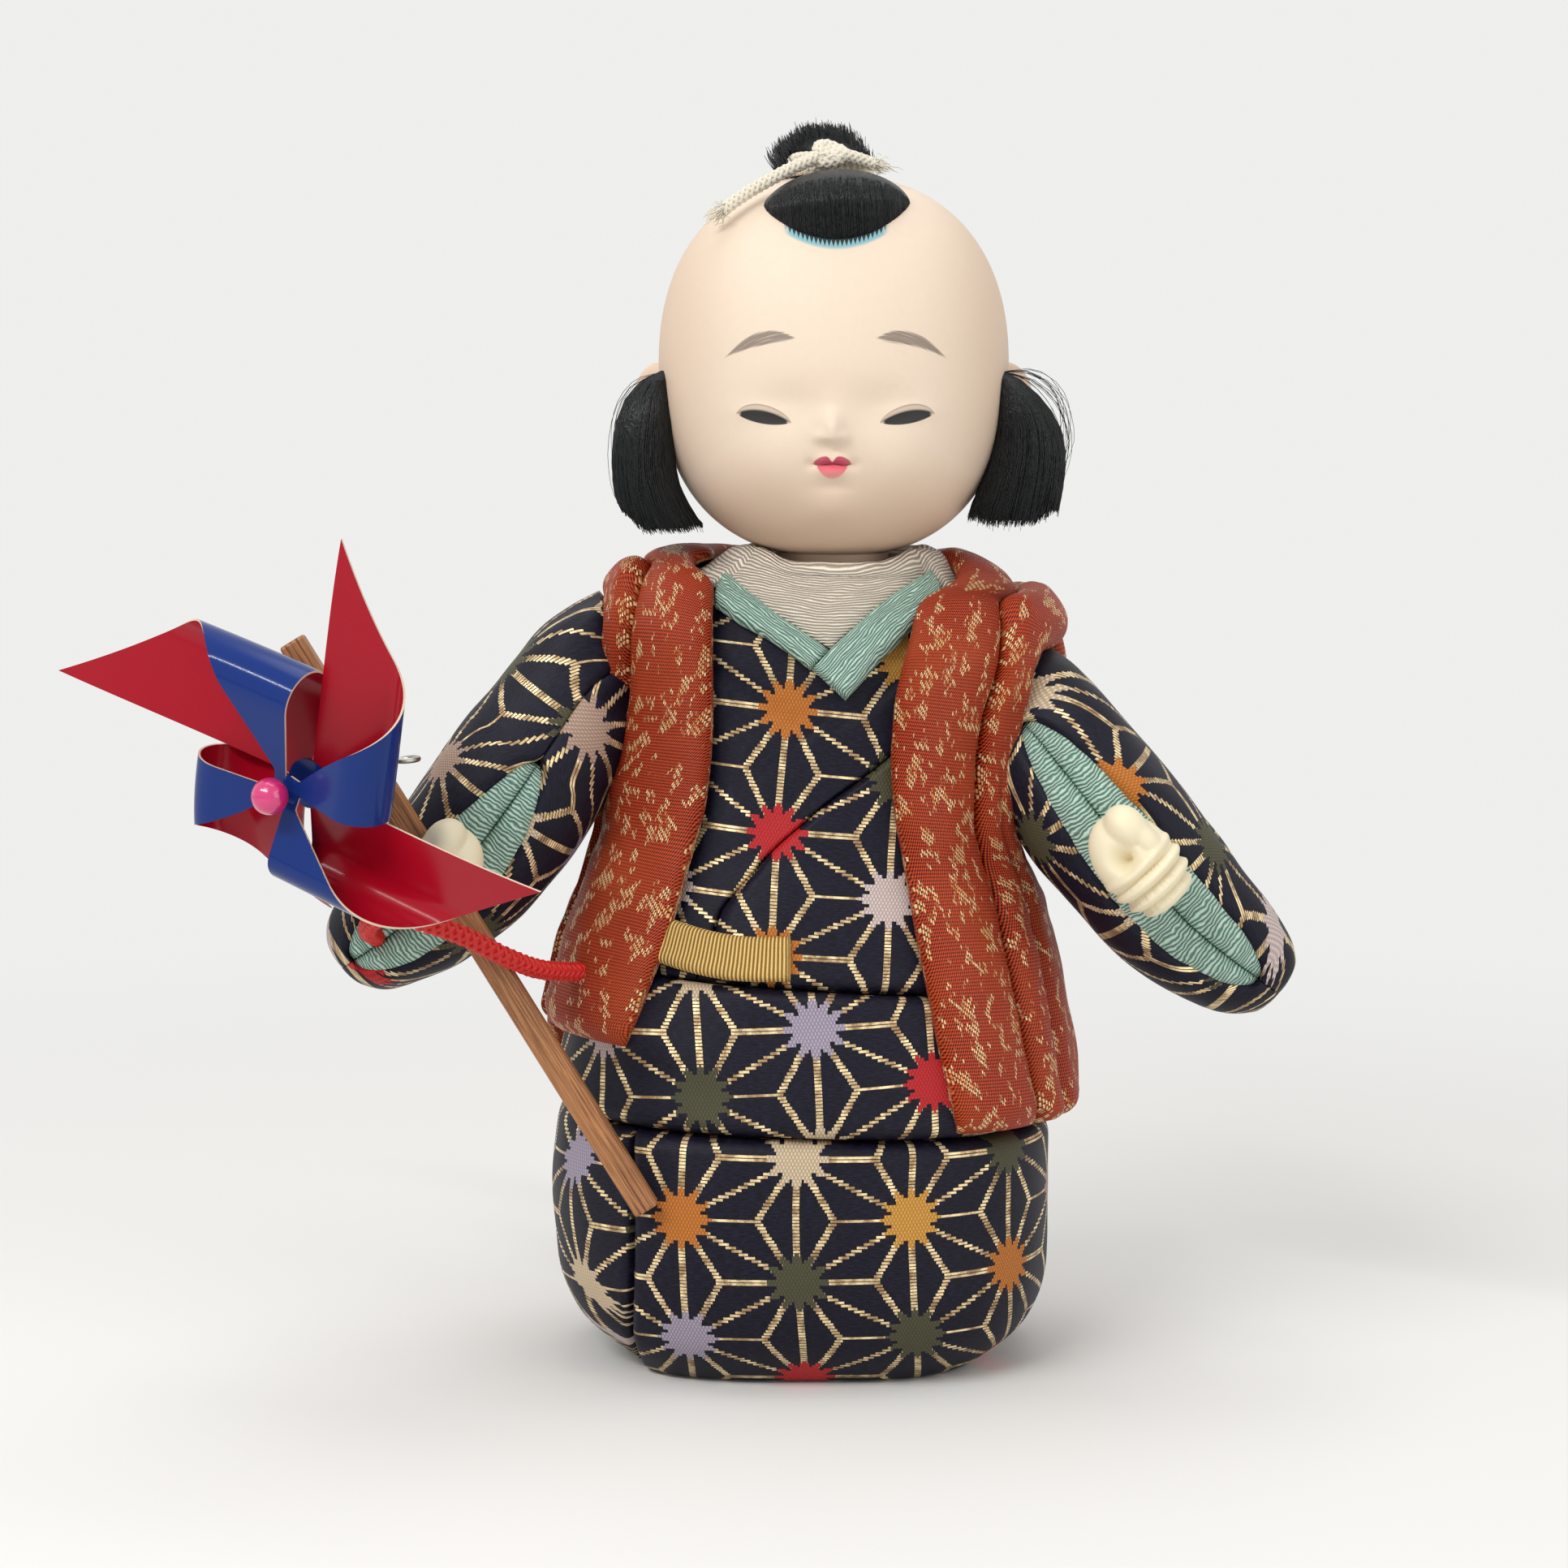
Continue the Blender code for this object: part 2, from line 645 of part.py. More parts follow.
# Edges on the front of the kimono, in heights and widths of the body
OVERLAP_shares = ((0.905, 0.800), (0.855, 0.600), (0.772, 0.310), (0.689, -0.010), (0.626, -0.210),
                  (0.583, -0.330), (0.480, -0.460))
PANEL_EDGE_shares = ((0.400, -0.690), (0.217, -0.680), (0.070, -0.690), (0.000, -0.640))


def sized(table):
    return tuple((h * BODY_HEIGHT, x * BODY_HALF_WIDTH) for h, x in table)


OVERLAP_EDGE = sized(OVERLAP_shares)
PANEL_EDGE = sized(PANEL_EDGE_shares)


def seam_angle(station):
    """Half of the seam's gap, as an angle."""
    height, half_width, half_depth = body_ring(station)[:3]
    return SEAM_GAP / (half_width + half_depth)


def overlap_angle(station):
    return front_angle(edge_at(OVERLAP_EDGE, body_ring(station)[0]), station)


def panel_edge_angle(station):
    return front_angle(edge_at(PANEL_EDGE, body_ring(station)[0]), station)


def core_depth(station):
    """Deeper under the sharp turn of the shoulders."""
    return CORE_DEPTH * (1.0 if station < CORE_DEEPER_FROM else CORE_DEEPER_share)


def make_core():
    """The pressed body: the body surface drawn in by the depth of the cloth."""
    turns = spread(28)[:-1]
    rings = [[skin(share * FULL_TURN, station, core_depth(station)) for share in turns]
             for station in CORE_STATIONS]
    floor = BASE_PLATE_THICKNESS + GAP
    for point in rings[0]:
        point.z = floor
    return loft("body_core", rings, COMPOSITE)


def make_base_plate():
    turns = spread(28)[:-1]
    ring = [skin(share * FULL_TURN, 0.0, 0.0) for share in turns]
    inset = 1 - SEAM_GAP * 2 / (BODY_shares[0][1] * BODY_HALF_WIDTH)
    low = [Vector((p.x * inset, p.y * inset, 0.0)) for p in ring]
    high = [Vector((p.x, p.y, BASE_PLATE_THICKNESS)) for p in low]
    return loft("base_plate", [low, high], WOOD)


def make_skirt():
    low, high = 0.0, station_at(SKIRT_TOP)
    stations = [0.0, 1.0, 2.0, 3.0, 4.0, 5.0, 6.0, (6.0 + high) / 2, high - 0.12, high]
    along = [(s - low) / (high - low) for s in stations]

    def front_place(s, t):
        station = between(low, high, t)
        start = panel_edge_angle(station) + seam_angle(station)
        end = math.radians(18.0) - seam_angle(station)
        return between(start, end, s), station

    def back_place(s, t):
        station = between(low, high, t)
        start = math.radians(18.0) + seam_angle(station)
        end = panel_edge_angle(station) + FULL_TURN - seam_angle(station)
        return between(start, end, s), station

    def inner(s, t):
        return CLOTH_UNDER

    def skirt_depth(outer):
        def depth(s, t):
            if t <= along[1]:
                return 0.0
            soft = min(1.0, (t - along[1]) / (along[3] - along[1]))
            top = rounded(max(t, 0.5), 0.04)
            edge = rounded(s, 0.03)
            full = CLOTH_UNDER + (outer - CLOTH_UNDER) * (LIP_share + (1 - LIP_share) * top * edge)
            return between(0.0, full, soft)
        return depth

    panel("skirt_front", front_place, spread(9, 0.03), along, inner, skirt_depth(SKIRT_FRONT_OUT),
          BROCADE)
    panel("skirt_back", back_place, spread(15, 0.02), along, inner, skirt_depth(SKIRT_OUT), BROCADE)


def make_waist_fold():
    low, high = station_at(SKIRT_TOP + SEAM_GAP), station_at(FOLD_TOP)

    def place(s, t):
        return between(FRONT, FRONT + FULL_TURN, s), between(low, high, t)

    def outer(s, t):
        return padded(CLOTH_UNDER, FOLD_OUT, s, t, round_s=False)

    panel("waist_fold", place, spread(28), spread(2, 0.12), lambda s, t: CLOTH_UNDER, outer,
          BROCADE, closed=True)


def make_bodice():
    """The two crossed fronts and the back, up to the neck."""
    low, high = station_at(FOLD_TOP + SEAM_GAP), NECK_STATION
    corner = station_at(OVERLAP_EDGE[0][0])
    over_along = [(s - low) / (corner - low) for s in
                  (low, low + 0.1, 10.2, 11.0, 11.8, 12.6, 13.3, corner - 0.1, corner)]
    levels = (low, low + 0.1, 10.2, 11.0, 11.8, 12.6, 13.3, 14.0, 15.0, 16.0, 17.0, 18.0, NECK_STATION)
    along = [(s - low) / (high - low) for s in levels]

    def under_place(s, t):
        station = between(low, high, t)
        start = -HALF_TURN + seam_angle(station)
        end = -seam_angle(station)
        if station < corner + seam_angle(corner) * 4:
            end = overlap_angle(min(station, corner)) - seam_angle(station) * 2
        return between(start, end, s), station

    def over_place(s, t):
        station = between(low, corner, t)
        start = overlap_angle(station) + seam_angle(station)
        return between(start, -seam_angle(station), s), station

    def back_place(s, t):
        station = between(low, high, t)
        return between(seam_angle(station), HALF_TURN - seam_angle(station), s), station

    def inner(s, t):
        return CLOTH_UNDER

    fronts = [
        panel("kimono_front_right", under_place, spread(11, 0.03), along, inner,
              lambda s, t: padded(CLOTH_UNDER, UNDER_FRONT_OUT, s, t, 0.04), BROCADE),
        panel("kimono_front_left", over_place, spread(7, 0.05), over_along, inner,
              lambda s, t: padded(CLOTH_UNDER, OVER_FRONT_OUT, s, t, 0.05), BROCADE),
    ]
    panel("kimono_back", back_place, spread(11, 0.03), along, inner,
          lambda s, t: padded(CLOTH_UNDER, BACK_OUT, s, t, 0.04), BROCADE)
    return fronts


# The neck opening: a V on the front, which the bib fills and two crossed bands frame
BIB_TIP = Vector((0.0024, BODY_HEIGHT * BIB_TIP_share))
BIB_IN = 0.0003
NECK_LINE_SLOPE_share = 1.15
NECK_LINE_SPREAD = math.radians(66.0)
NECK_LINE_TOP = 18.2
NECK_LINE_EASE = 0.80
BAND_WIDTH_LEFT = 0.0064
BAND_WIDTH_RIGHT = 0.0042


def front_place_of(x, height):
    """Angle and station of the front point that has this x and this height."""
    def miss(station):
        return body_point(front_angle(x, station), station).z - height
    station = solve(miss, station_at(SKIRT_TOP), NECK_STATION)
    return front_angle(x, station), station


def neck_line(share, side):
    """The edge of the V at a share from its tip to the side of the neck, or straight on below the tip."""
    tip_angle, tip_station = front_place_of(*BIB_TIP)
    rise = NECK_LINE_TOP - tip_station
    if share < 0:
        slope = NECK_LINE_SLOPE_share * rise
        return tip_angle + side * NECK_LINE_SPREAD * share, tip_station + slope * share
    return tip_angle + side * NECK_LINE_SPREAD * share, tip_station + rise * share ** NECK_LINE_EASE


def aside(line, share, side, distance):
    """A place beside a line on the body surface, at a distance down and outwards from it."""
    nudge = 0.04
    angle, station = line(share, side)
    ahead, behind = line(share + nudge, side), line(share - nudge, side)
    per_angle = (body_point(angle + nudge, station) - body_point(angle - nudge, station)).length / (2 * nudge)
    per_station = (body_point(angle, min(station + nudge, NECK_STATION))
                   - body_point(angle, station - nudge)).length / (2 * nudge)
    along = Vector(((ahead[0] - behind[0]) * per_angle, (ahead[1] - behind[1]) * per_station)).normalized()
    down = Vector((along.y, -along.x)) * side
    return angle + down.x * distance / per_angle, station + down.y * distance / per_station


def make_bib():
    """Cream crepe round the neck, with a V in front that the bands frame."""
    tip_angle = front_place_of(*BIB_TIP)[0]

    def hem(angle):
        turn = (angle - tip_angle + HALF_TURN) % FULL_TURN - HALF_TURN
        share = min(1.0, abs(turn) / NECK_LINE_SPREAD)
        return neck_line(share, 1)[1]

    def place(s, t):
        angle = between(tip_angle - HALF_TURN, tip_angle + HALF_TURN, s)
        return angle, between(hem(angle), NECK_STATION, t)

    def outer(s, t):
        return padded(BIB_IN, BIB_OUT, s, t, 0.2, round_s=False)

    panel("under_collar", place, spread(24), spread(2, 0.15), lambda s, t: BIB_IN, outer,
          CREAM, closed=True)


def make_band(name, side, start, width):
    """A crepe band below the V line, from a share along it to the side of the neck."""
    def place(s, t):
        return aside(neck_line, between(start, 0.94, t), side, SEAM_GAP * 1.4 + width * s)

    def outer(s, t):
        return padded(BIB_IN, BAND_OUT, s, t, 0.2, round_t=False)

    return panel(name, place, spread(2, 0.2), spread(8), lambda s, t: BIB_IN, outer, MINT)


def make_bands():
    line_length = (body_point(*neck_line(0.5, 1)) - body_point(*neck_line(0.0, 1))).length * 2
    make_band("collar_band_left", 1, -(BAND_WIDTH_RIGHT + SEAM_GAP) / line_length, BAND_WIDTH_LEFT)
    make_band("collar_band_right", -1, SEAM_GAP * 3 / line_length, BAND_WIDTH_RIGHT)


OBI_WIDTH = 0.0060
OBI_END = -0.0020
OBI_SAG = 0.0008


def make_obi():
    """Ribbed ribbon, from the edge of the vest to its tucked end."""
    collar_edge = sized(COLLAR_RIGHT_shares[0])

    def place(s, t):
        across = OBI_WIDTH * (s - 0.5)
        height = between(OBI_HEIGHT_LEFT, OBI_HEIGHT_RIGHT, t) - OBI_SAG * math.sin(HALF_TURN * t) + across
        start = edge_at(collar_edge, OBI_HEIGHT_LEFT + across) + SEAM_GAP * 2
        return front_place_of(between(start, OBI_END, t), height)

    inner_depth = OVER_FRONT_OUT + GAP

    def outer(s, t):
        return padded(inner_depth, OBI_OUT, s, t, 0.25, round_t=False)

    panel("obi", place, spread(2, 0.2), spread(6), lambda s, t: inner_depth, outer, GOLD)


# Edges of the vest on the front: inner and outer edge of the collar roll, and the front edge of the
# armhole, each as height and x
COLLAR_RIGHT_shares = (
    ((0.950, -0.345), (0.900, -0.335), (0.810, -0.345), (0.710, -0.370), (0.615, -0.435),
     (0.540, -0.510), (0.480, -0.590), (0.395, -0.675)),
    ((0.950, -0.490), (0.900, -0.560), (0.810, -0.585), (0.710, -0.600), (0.615, -0.670),
     (0.540, -0.745), (0.480, -0.820), (0.395, -0.880)))
COLLAR_LEFT_shares = (
    ((0.950, 0.500), (0.900, 0.465), (0.780, 0.370), (0.710, 0.352), (0.635, 0.365),
     (0.540, 0.410), (0.455, 0.485), (0.340, 0.590)),
    ((0.950, 0.740), (0.900, 0.735), (0.780, 0.690), (0.710, 0.640), (0.635, 0.630),
     (0.540, 0.665), (0.455, 0.730), (0.340, 0.800)))


def shoulder_station(half_width):
    return station_of_width(half_width)


def collar_rows(edges, side, hem_height):
    """Edge places of the collar roll on one side, from the hem over the shoulder to the ridge."""
    inner_edge, outer_edge = (sized(edge) for edge in edges)
    rows = []
    top = inner_edge[0][0]
    for share in (0.0, 0.03, 0.12, 0.25, 0.38, 0.50, 0.62, 0.74, 0.86, 0.96, 1.0):
        station = station_at(between(hem_height, top, share))
        height = body_ring(station)[0]
        rows.append(((front_angle(edge_at(inner_edge, height), station), station),
                     (front_angle(edge_at(outer_edge, height), station), station)))
    ridge = -HALF_TURN if side < 0 else 0.0
    inner_top, outer_top = shoulder_station(SHOULDER_IN), shoulder_station(SHOULDER_OUT)
    last_in, last_out = rows[-1]
    for share in (0.5, 1.0):
        rows.append(((between(last_in[0], ridge, share), between(last_in[1], inner_top, share)),
                     (between(last_out[0], ridge, share), between(last_out[1], outer_top, share))))
    return rows


def nape_rows(side):
    """Edge places of the collar roll round the back of the neck, from one ridge to the middle."""
    ridge = -HALF_TURN if side < 0 else 0.0
    middle = ridge - side * -QUARTER_TURN
    inner_ridge, outer_ridge = shoulder_station(SHOULDER_IN), shoulder_station(SHOULDER_OUT)
    inner_nape, outer_nape = station_at(NAPE_IN), station_at(NAPE_OUT)
    rows = []
    for share in (0.25, 0.5, 0.75, 1.0):
        angle = between(ridge, middle, share)
        ease = 0.5 - 0.5 * math.cos(HALF_TURN * share)
        rows.append(((angle, between(inner_ridge, inner_nape, ease)),
                     (angle, between(outer_ridge, outer_nape, ease))))
    return rows


def strip(name, rows, shares, inner, outer, look, collection=PARTS):
    """A padded strip between two edges on the body surface, given as rows of edge places."""
    last = len(rows) - 1
    grids = []
    for depth in (outer, inner):
        grids.append([
            [skin(between(first[0], second[0], s), between(first[1], second[1], s), depth(s, i / last))
             for s in shares]
            for i, (first, second) in enumerate(rows)])
    return shell(name, *grids, look, False, collection, 70.0)


def padded_strip(name, rows, shares, inner, outer, look):
    """A padded strip with seam gaps at both edges, and a cutter that clears it all round."""
    strip(name, inset_rows(rows, SEAM_GAP / 2), shares, inner, outer, look)
    return strip(f"{name}_clearance", inset_rows(rows, -SEAM_GAP), shares,
                 lambda s, t: UNDER_FRONT_OUT, lambda s, t: outer(s, t) + SEAM_GAP, None, CUTTERS)


def inset_rows(rows, gap):
    """Draw both edges of a strip in by a gap."""
    drawn = []
    for first, second in rows:
        span = (body_point(*first) - body_point(*second)).length
        share = gap / max(span, abs(gap) * 3)
        drawn.append(((between(first[0], second[0], share), between(first[1], second[1], share)),
                      (between(second[0], first[0], share), between(second[1], first[1], share))))
    return drawn


def collar_inner(s, height):
    """Inner depth of the vest: higher over the bands and the bib than over the plain front."""
    low, high = BIB_TIP.y - BAND_WIDTH_LEFT * 2, BIB_TIP.y
    share = max(0.0, min(1.0, (height - low) / (high - low)))
    return between(VEST_IN, VEST_COLLAR_IN, share)


def make_vest():
    right = collar_rows(COLLAR_RIGHT_shares, -1, VEST_HEM_RIGHT)
    left = collar_rows(COLLAR_LEFT_shares, 1, VEST_HEM_LEFT)
    nape_right = nape_rows(-1)
    nape_left = nape_rows(1)
    turned = [((a[0] + FULL_TURN, a[1]), (b[0] + FULL_TURN, b[1])) for a, b in right + nape_right]
    around = left + nape_left + turned[:-1][::-1]
    heights = [body_ring(first[1])[0] for first, second in around]
    last = len(around) - 1

    def inner(s, t):
        return collar_inner(s, heights[round(t * last)])

    def outer(s, t):
        base = inner(s, t)
        height = heights[round(t * last)]
        lift = max(0.0, min(1.0, (height - ARMHOLE_HIGH) / (BIB_HEM - ARMHOLE_HIGH)))
        pad = between(VEST_COLLAR_PAD, VEST_SHOULDER_PAD, lift)
        return base + pad * (0.25 + 0.75 * rounded(s, 0.5)) * (0.55 + 0.45 * rounded(t, 0.03))

    cutters = [padded_strip("vest_collar", around, (0.0, 0.08, 0.25, 0.5, 0.75, 0.92, 1.0),
                            inner, outer, RUST)]
    for side, rows in ((-1, right), (1, left)):
        cutters.append(make_vest_front(side, rows))
    cutters.append(make_vest_back())
    return cutters


def make_vest_front(side, collar):
    """Outer panel of one front, from the collar roll to the side seam, armhole and shoulder."""
    seam = -HALF_TURN if side < 0 else 0.0
    armhole = seam - side * ARMHOLE_FRONT
    low, high = station_at(ARMHOLE_LOW), station_at(ARMHOLE_HIGH)
    shoulder = [second for first, second in collar if second[1] > high]
    rows = [(second, (seam if second[1] < low else armhole, second[1]))
            for first, second in collar if second[1] <= high]
    for i, second in enumerate(shoulder):
        share = (i + 1) / len(shoulder)
        rows.append((second, (between(armhole, seam, share),
                              between(high, shoulder_station(SHOULDER_END), share))))
    name = "vest_front_right" if side < 0 else "vest_front_left"
    heights = [body_ring(first[1])[0] for first, second in rows]
    last = len(rows) - 1

    def inner(s, t):
        return collar_inner(s, heights[round(t * last)])

    def outer(s, t):
        soft = rounded(s, 0.35) if heights[round(t * last)] > ARMHOLE_LOW else rounded(s, 0.12)
        pad = VEST_PAD * (0.30 + 0.70 * soft) * (0.55 + 0.45 * rounded(t, 0.03))
        return inner(s, t) + pad

    return padded_strip(name, rows, (0.0, 0.06, 0.2, 0.4, 0.6, 0.8, 0.94, 1.0), inner, outer, RUST)


def make_vest_back():
    """Back panel: hem to armholes, shoulders and the collar roll round the nape."""
    hem = station_at(VEST_HEM_BACK)
    seams = (station_at(ARMHOLE_LOW), station_at(ARMHOLE_HIGH))

    def armhole(station):
        share = (station - seams[0]) / (seams[1] - seams[0])
        return ARMHOLE_BACK * (rounded(max(0.0, min(1.0, share)), 0.25))

    def top(angle):
        share = abs(angle - QUARTER_TURN) / QUARTER_TURN
        ease = 0.5 + 0.5 * math.cos(HALF_TURN * share)
        return between(shoulder_station(SHOULDER_OUT), station_at(NAPE_OUT), ease)

    def place(s, t):
        straight = HALF_TURN * s
        station = between(hem, top(straight), t)
        edge = armhole(station) + seam_angle(station) * 1.5
        return between(edge, HALF_TURN - edge, s), station - SEAM_STATION * t

    def inner(s, t):
        return collar_inner(s, body_ring(place(s, t)[1])[0])

    def outer(s, t):
        return inner(s, t) + VEST_BACK_PAD * (0.4 + 0.6 * rounded(s, 0.10) * rounded(t, 0.06))

    def grown(s, t):
        angle, station = place(s, t)
        edge = (s - 0.5) * 4 * seam_angle(station)
        return angle + edge, station

    panel("vest_back", place, spread(12, 0.03), spread(7, 0.04), inner, outer, RUST)
    return panel("vest_back_clearance", grown, spread(12, 0.03), spread(7, 0.04),
                 lambda s, t: UNDER_FRONT_OUT, lambda s, t: outer(s, t) + SEAM_GAP, None,
                 collection=CUTTERS)


# Sleeves. A place in a sleeve is a station, counted in rows of SLEEVE_shares, and an offset across it in
# the plane of the arm. Reach is measured outwards from the plane between the two sleeves.
SLEEVE_LAST = len(SLEEVE_shares) - 1


@functools.lru_cache(maxsize=None)
def sleeve_row(station):
    reach, height, width, depth, forward = table_at(SLEEVE_shares, station)
    return (reach * SLEEVE_REACH, height * SLEEVE_TOP, width * SLEEVE_HALF_WIDTH,
            depth * SLEEVE_HALF_DEPTH, -forward * SLEEVE_FORWARD)


def sleeve_across(station):
    """Direction across the arm, upwards and outwards, in reach and height."""
    low, high = max(0.0, station - 0.1), min(SLEEVE_LAST, station + 0.1)
    start, end = sleeve_row(low), sleeve_row(high)
    along = Vector((end[0] - start[0], end[1] - start[1])).normalized()
    return Vector((-along.y, along.x))


def in_sleeve(side, station, offset, y):
    row = sleeve_row(station)
    across = sleeve_across(station)
    reach = row[0] + across.x * offset
    height = row[1] + across.y * offset
    x = SLEEVE_MIRROR + side * reach
    return Vector((x, y, height - x * SLEEVE_SLOPE_share))


def sleeve_front(station, offset):
    row = sleeve_row(station)
    share = min(0.96, abs(offset) / row[2])
    return row[4] - row[3] * (1 - share ** SLEEVE_SQUARENESS) ** (1 / SLEEVE_SQUARENESS)


def make_sleeve(side, name):
    rings = []
    for station in (0.0, 1.0, 2.0, 2.7, 3.4, 4.1, 4.8, 5.5, 6.2, 6.8, 7.4, SLEEVE_LAST):
        row = sleeve_row(station)
        ring = []
        for share in spread(20)[:-1]:
            angle = share * FULL_TURN
            across, along = math.cos(angle), math.sin(angle)
            radius = (abs(across / row[2]) ** SLEEVE_SQUARENESS
                      + abs(along / row[3]) ** SLEEVE_SQUARENESS) ** (-1 / SLEEVE_SQUARENESS)
            ring.append(in_sleeve(side, station, radius * across, row[4] + radius * along))
        rings.append(ring)
    return loft(name, rings, BROCADE, smooth_angle=70.0)


def slot_half_width(share):
    return SLOT_HALF_WIDTH * max(0.0, math.sin(HALF_TURN * share)) ** 0.75


def slot_station(share):
    return between(SLOT_START, SLOT_END, share)


def make_pocket(side, name):
    """The opening of the sleeve: a lens-shaped slot, cut from the front."""
    front, back = [], []
    for t in spread(8, 0.04):
        wide = max(slot_half_width(t), SEAM_GAP)
        station = slot_station(t)
        for grid, y in ((front, SLOT_CUT_FRONT), (back, SLOT_FLOOR)):
            grid.append([in_sleeve(side, station, SLOT_OFFSET + wide * s, y) for s in (-1.0, 0.0, 1.0)])
    return shell(name, front, back, None, collection=CUTTERS)


def make_lip(side, name, low, high):
    """One padded lip of the lining, from share low to share high across the slot."""
    front, back = [], []
    for t in spread(7, 0.06):
        share = between(SLOT_END_share, 1 - SLOT_END_share, t)
        wide = max(slot_half_width(share) - SEAM_GAP, SEAM_GAP * 2)
        station = slot_station(share)
        rows = ([], [])
        for s in spread(2, 0.2):
            place = between(low, high, s)
            seam = SEAM_GAP / 2 * (1 if low >= 0 else -1) * (1 - abs(place))
            offset = SLOT_OFFSET + wide * place + seam
            crown = LINING_CROWN * rounded(s, 0.5) * rounded(t, 0.2)
            y = sleeve_front(station, offset) + LINING_RECESS + LINING_CROWN - crown
            rows[0].append(in_sleeve(side, station, offset, min(y, SLOT_FLOOR - SEAM_GAP * 3)))
            rows[1].append(in_sleeve(side, station, offset, SLOT_FLOOR - SEAM_GAP))
        front.append(rows[0])
        back.append(rows[1])
    return shell(name, front, back, MINT, smooth_angle=70.0)


def hand_frame(side):
    """Along the fist, across it and forwards."""
    start, end = sleeve_row(SLOT_START), sleeve_row(SLOT_END)
    along = Vector((side * (end[0] - start[0]), 0.0, end[1] - start[1])).normalized()
    forward = Vector((0.0, -1.0, 0.0))
    return along, Vector((-along.z * side, 0.0, along.x * side)), forward


def make_arm(side, word, center, sleeve, lips):
    """Fist, wrist and wire of one arm, with the room they need in the sleeve and its lips."""
    along, across, forward = hand_frame(side)
    shoulder = Vector((SLEEVE_MIRROR + side * SHOULDER_REACH, SHOULDER_BACK, SHOULDER_HEIGHT))
    to_shoulder = (shoulder - center).normalized()
    wrist_end = center + to_shoulder * WRIST_LENGTH
    hand = ellipsoid(f"hand_{word}", center,
                     (along * PALM_HALF_LENGTH, across * PALM_HALF_WIDTH, forward * PALM_HALF_DEPTH),
                     SHELL_WHITE, PARTS)
    pieces = [rod(f"wrist_{word}", center, wrist_end, WRIST_RADIUS, None, CUTTERS)]
    for i, (place, wide, deep) in enumerate(FINGER_shares):
        pieces.append(ellipsoid(
            f"finger_{word}_{i}", center + along * (PALM_HALF_LENGTH * place),
            (along * FINGER_HALF_WIDTH, across * (PALM_HALF_WIDTH * wide),
             forward * (PALM_HALF_DEPTH * deep)), sides=10, rings=6))
    place, wide, deep = THUMB_share
    pieces.append(ellipsoid(
        f"thumb_{word}",
        center + along * (PALM_HALF_LENGTH * place) + across * (PALM_HALF_WIDTH * wide)
        + forward * (PALM_HALF_DEPTH * deep),
        (along * (PALM_HALF_LENGTH * 0.50), across * (PALM_HALF_WIDTH * 0.46),
         forward * (PALM_HALF_DEPTH * 0.48)), sides=10, rings=6))
    join(hand, *pieces)
    wire_start = center + to_shoulder * (WRIST_LENGTH - WIRE_SEAT)
    socket_start = wire_start - to_shoulder * GAP
    socket_end = shoulder + to_shoulder * GAP
    room = WIRE_RADIUS + WIRE_CLEARANCE
    channel = rod(f"wire_channel_{word}", socket_start, socket_end, room, None, CUTTERS)
    cut(hand, channel)
    tube_object = rod(f"arm_wire_{word}", wire_start, shoulder, WIRE_RADIUS, STEEL)
    around_hand = ellipsoid(
        f"hand_room_{word}", center,
        (along * (PALM_HALF_LENGTH + HAND_CLEARANCE + FINGER_HALF_WIDTH),
         across * (PALM_HALF_WIDTH + HAND_CLEARANCE), forward * (PALM_HALF_DEPTH + HAND_CLEARANCE * 2)))
    step = wrist_end + to_shoulder * GAP
    around_arm = turned(
        f"arm_room_{word}", to_shoulder,
        ((center, WRIST_RADIUS + WIRE_CLEARANCE), (step, WRIST_RADIUS + WIRE_CLEARANCE), (step, room),
         (socket_end, room)))
    for target in (sleeve, *lips):
        cut(target, around_hand, around_arm)
    return hand, channel, tube_object


def stick_box(name, grow, look, collection):
    axis = (STICK_TOP - STICK_FOOT).normalized()
    reach = STICK_TOP + axis * (OVERRUN if grow else 0.0), STICK_FOOT - axis * (OVERRUN if grow else 0.0)
    bm = bmesh.new()
    bmesh.ops.create_cube(bm, size=1.0)
    depth = Vector((0.0, -1.0, 0.0))
    depth = (depth - axis * depth.dot(axis)).normalized()
    wide = axis.cross(depth)
    middle = (reach[0] + reach[1]) / 2
    length = (reach[0] - reach[1]).length
    for vert in bm.verts:
        x, y, z = vert.co
        vert.co = (middle + wide * (x * (STICK_WIDTH + grow * 2)) + depth * (y * (STICK_THICKNESS + grow * 2))
                   + axis * (z * length))
    made = finish_mesh(name, bm, look, collection)
    if not grow:
        soft = made.modifiers.new("soft_edges", "BEVEL")
        soft.width = STICK_EDGE
        soft.segments = 2
    return made


def wheel_frame():
    """Hub, facing direction, and the two directions in the plane of the wheel."""
    pin_at = STICK_FOOT.lerp(STICK_TOP, PIN_ON_STICK_share)
    hub = pin_at + WHEEL_FACING * WHEEL_STANDOFF
    right = Vector((0.0, 0.0, 1.0)).cross(WHEEL_FACING).normalized()
    return hub, WHEEL_FACING, right, WHEEL_FACING.cross(right)


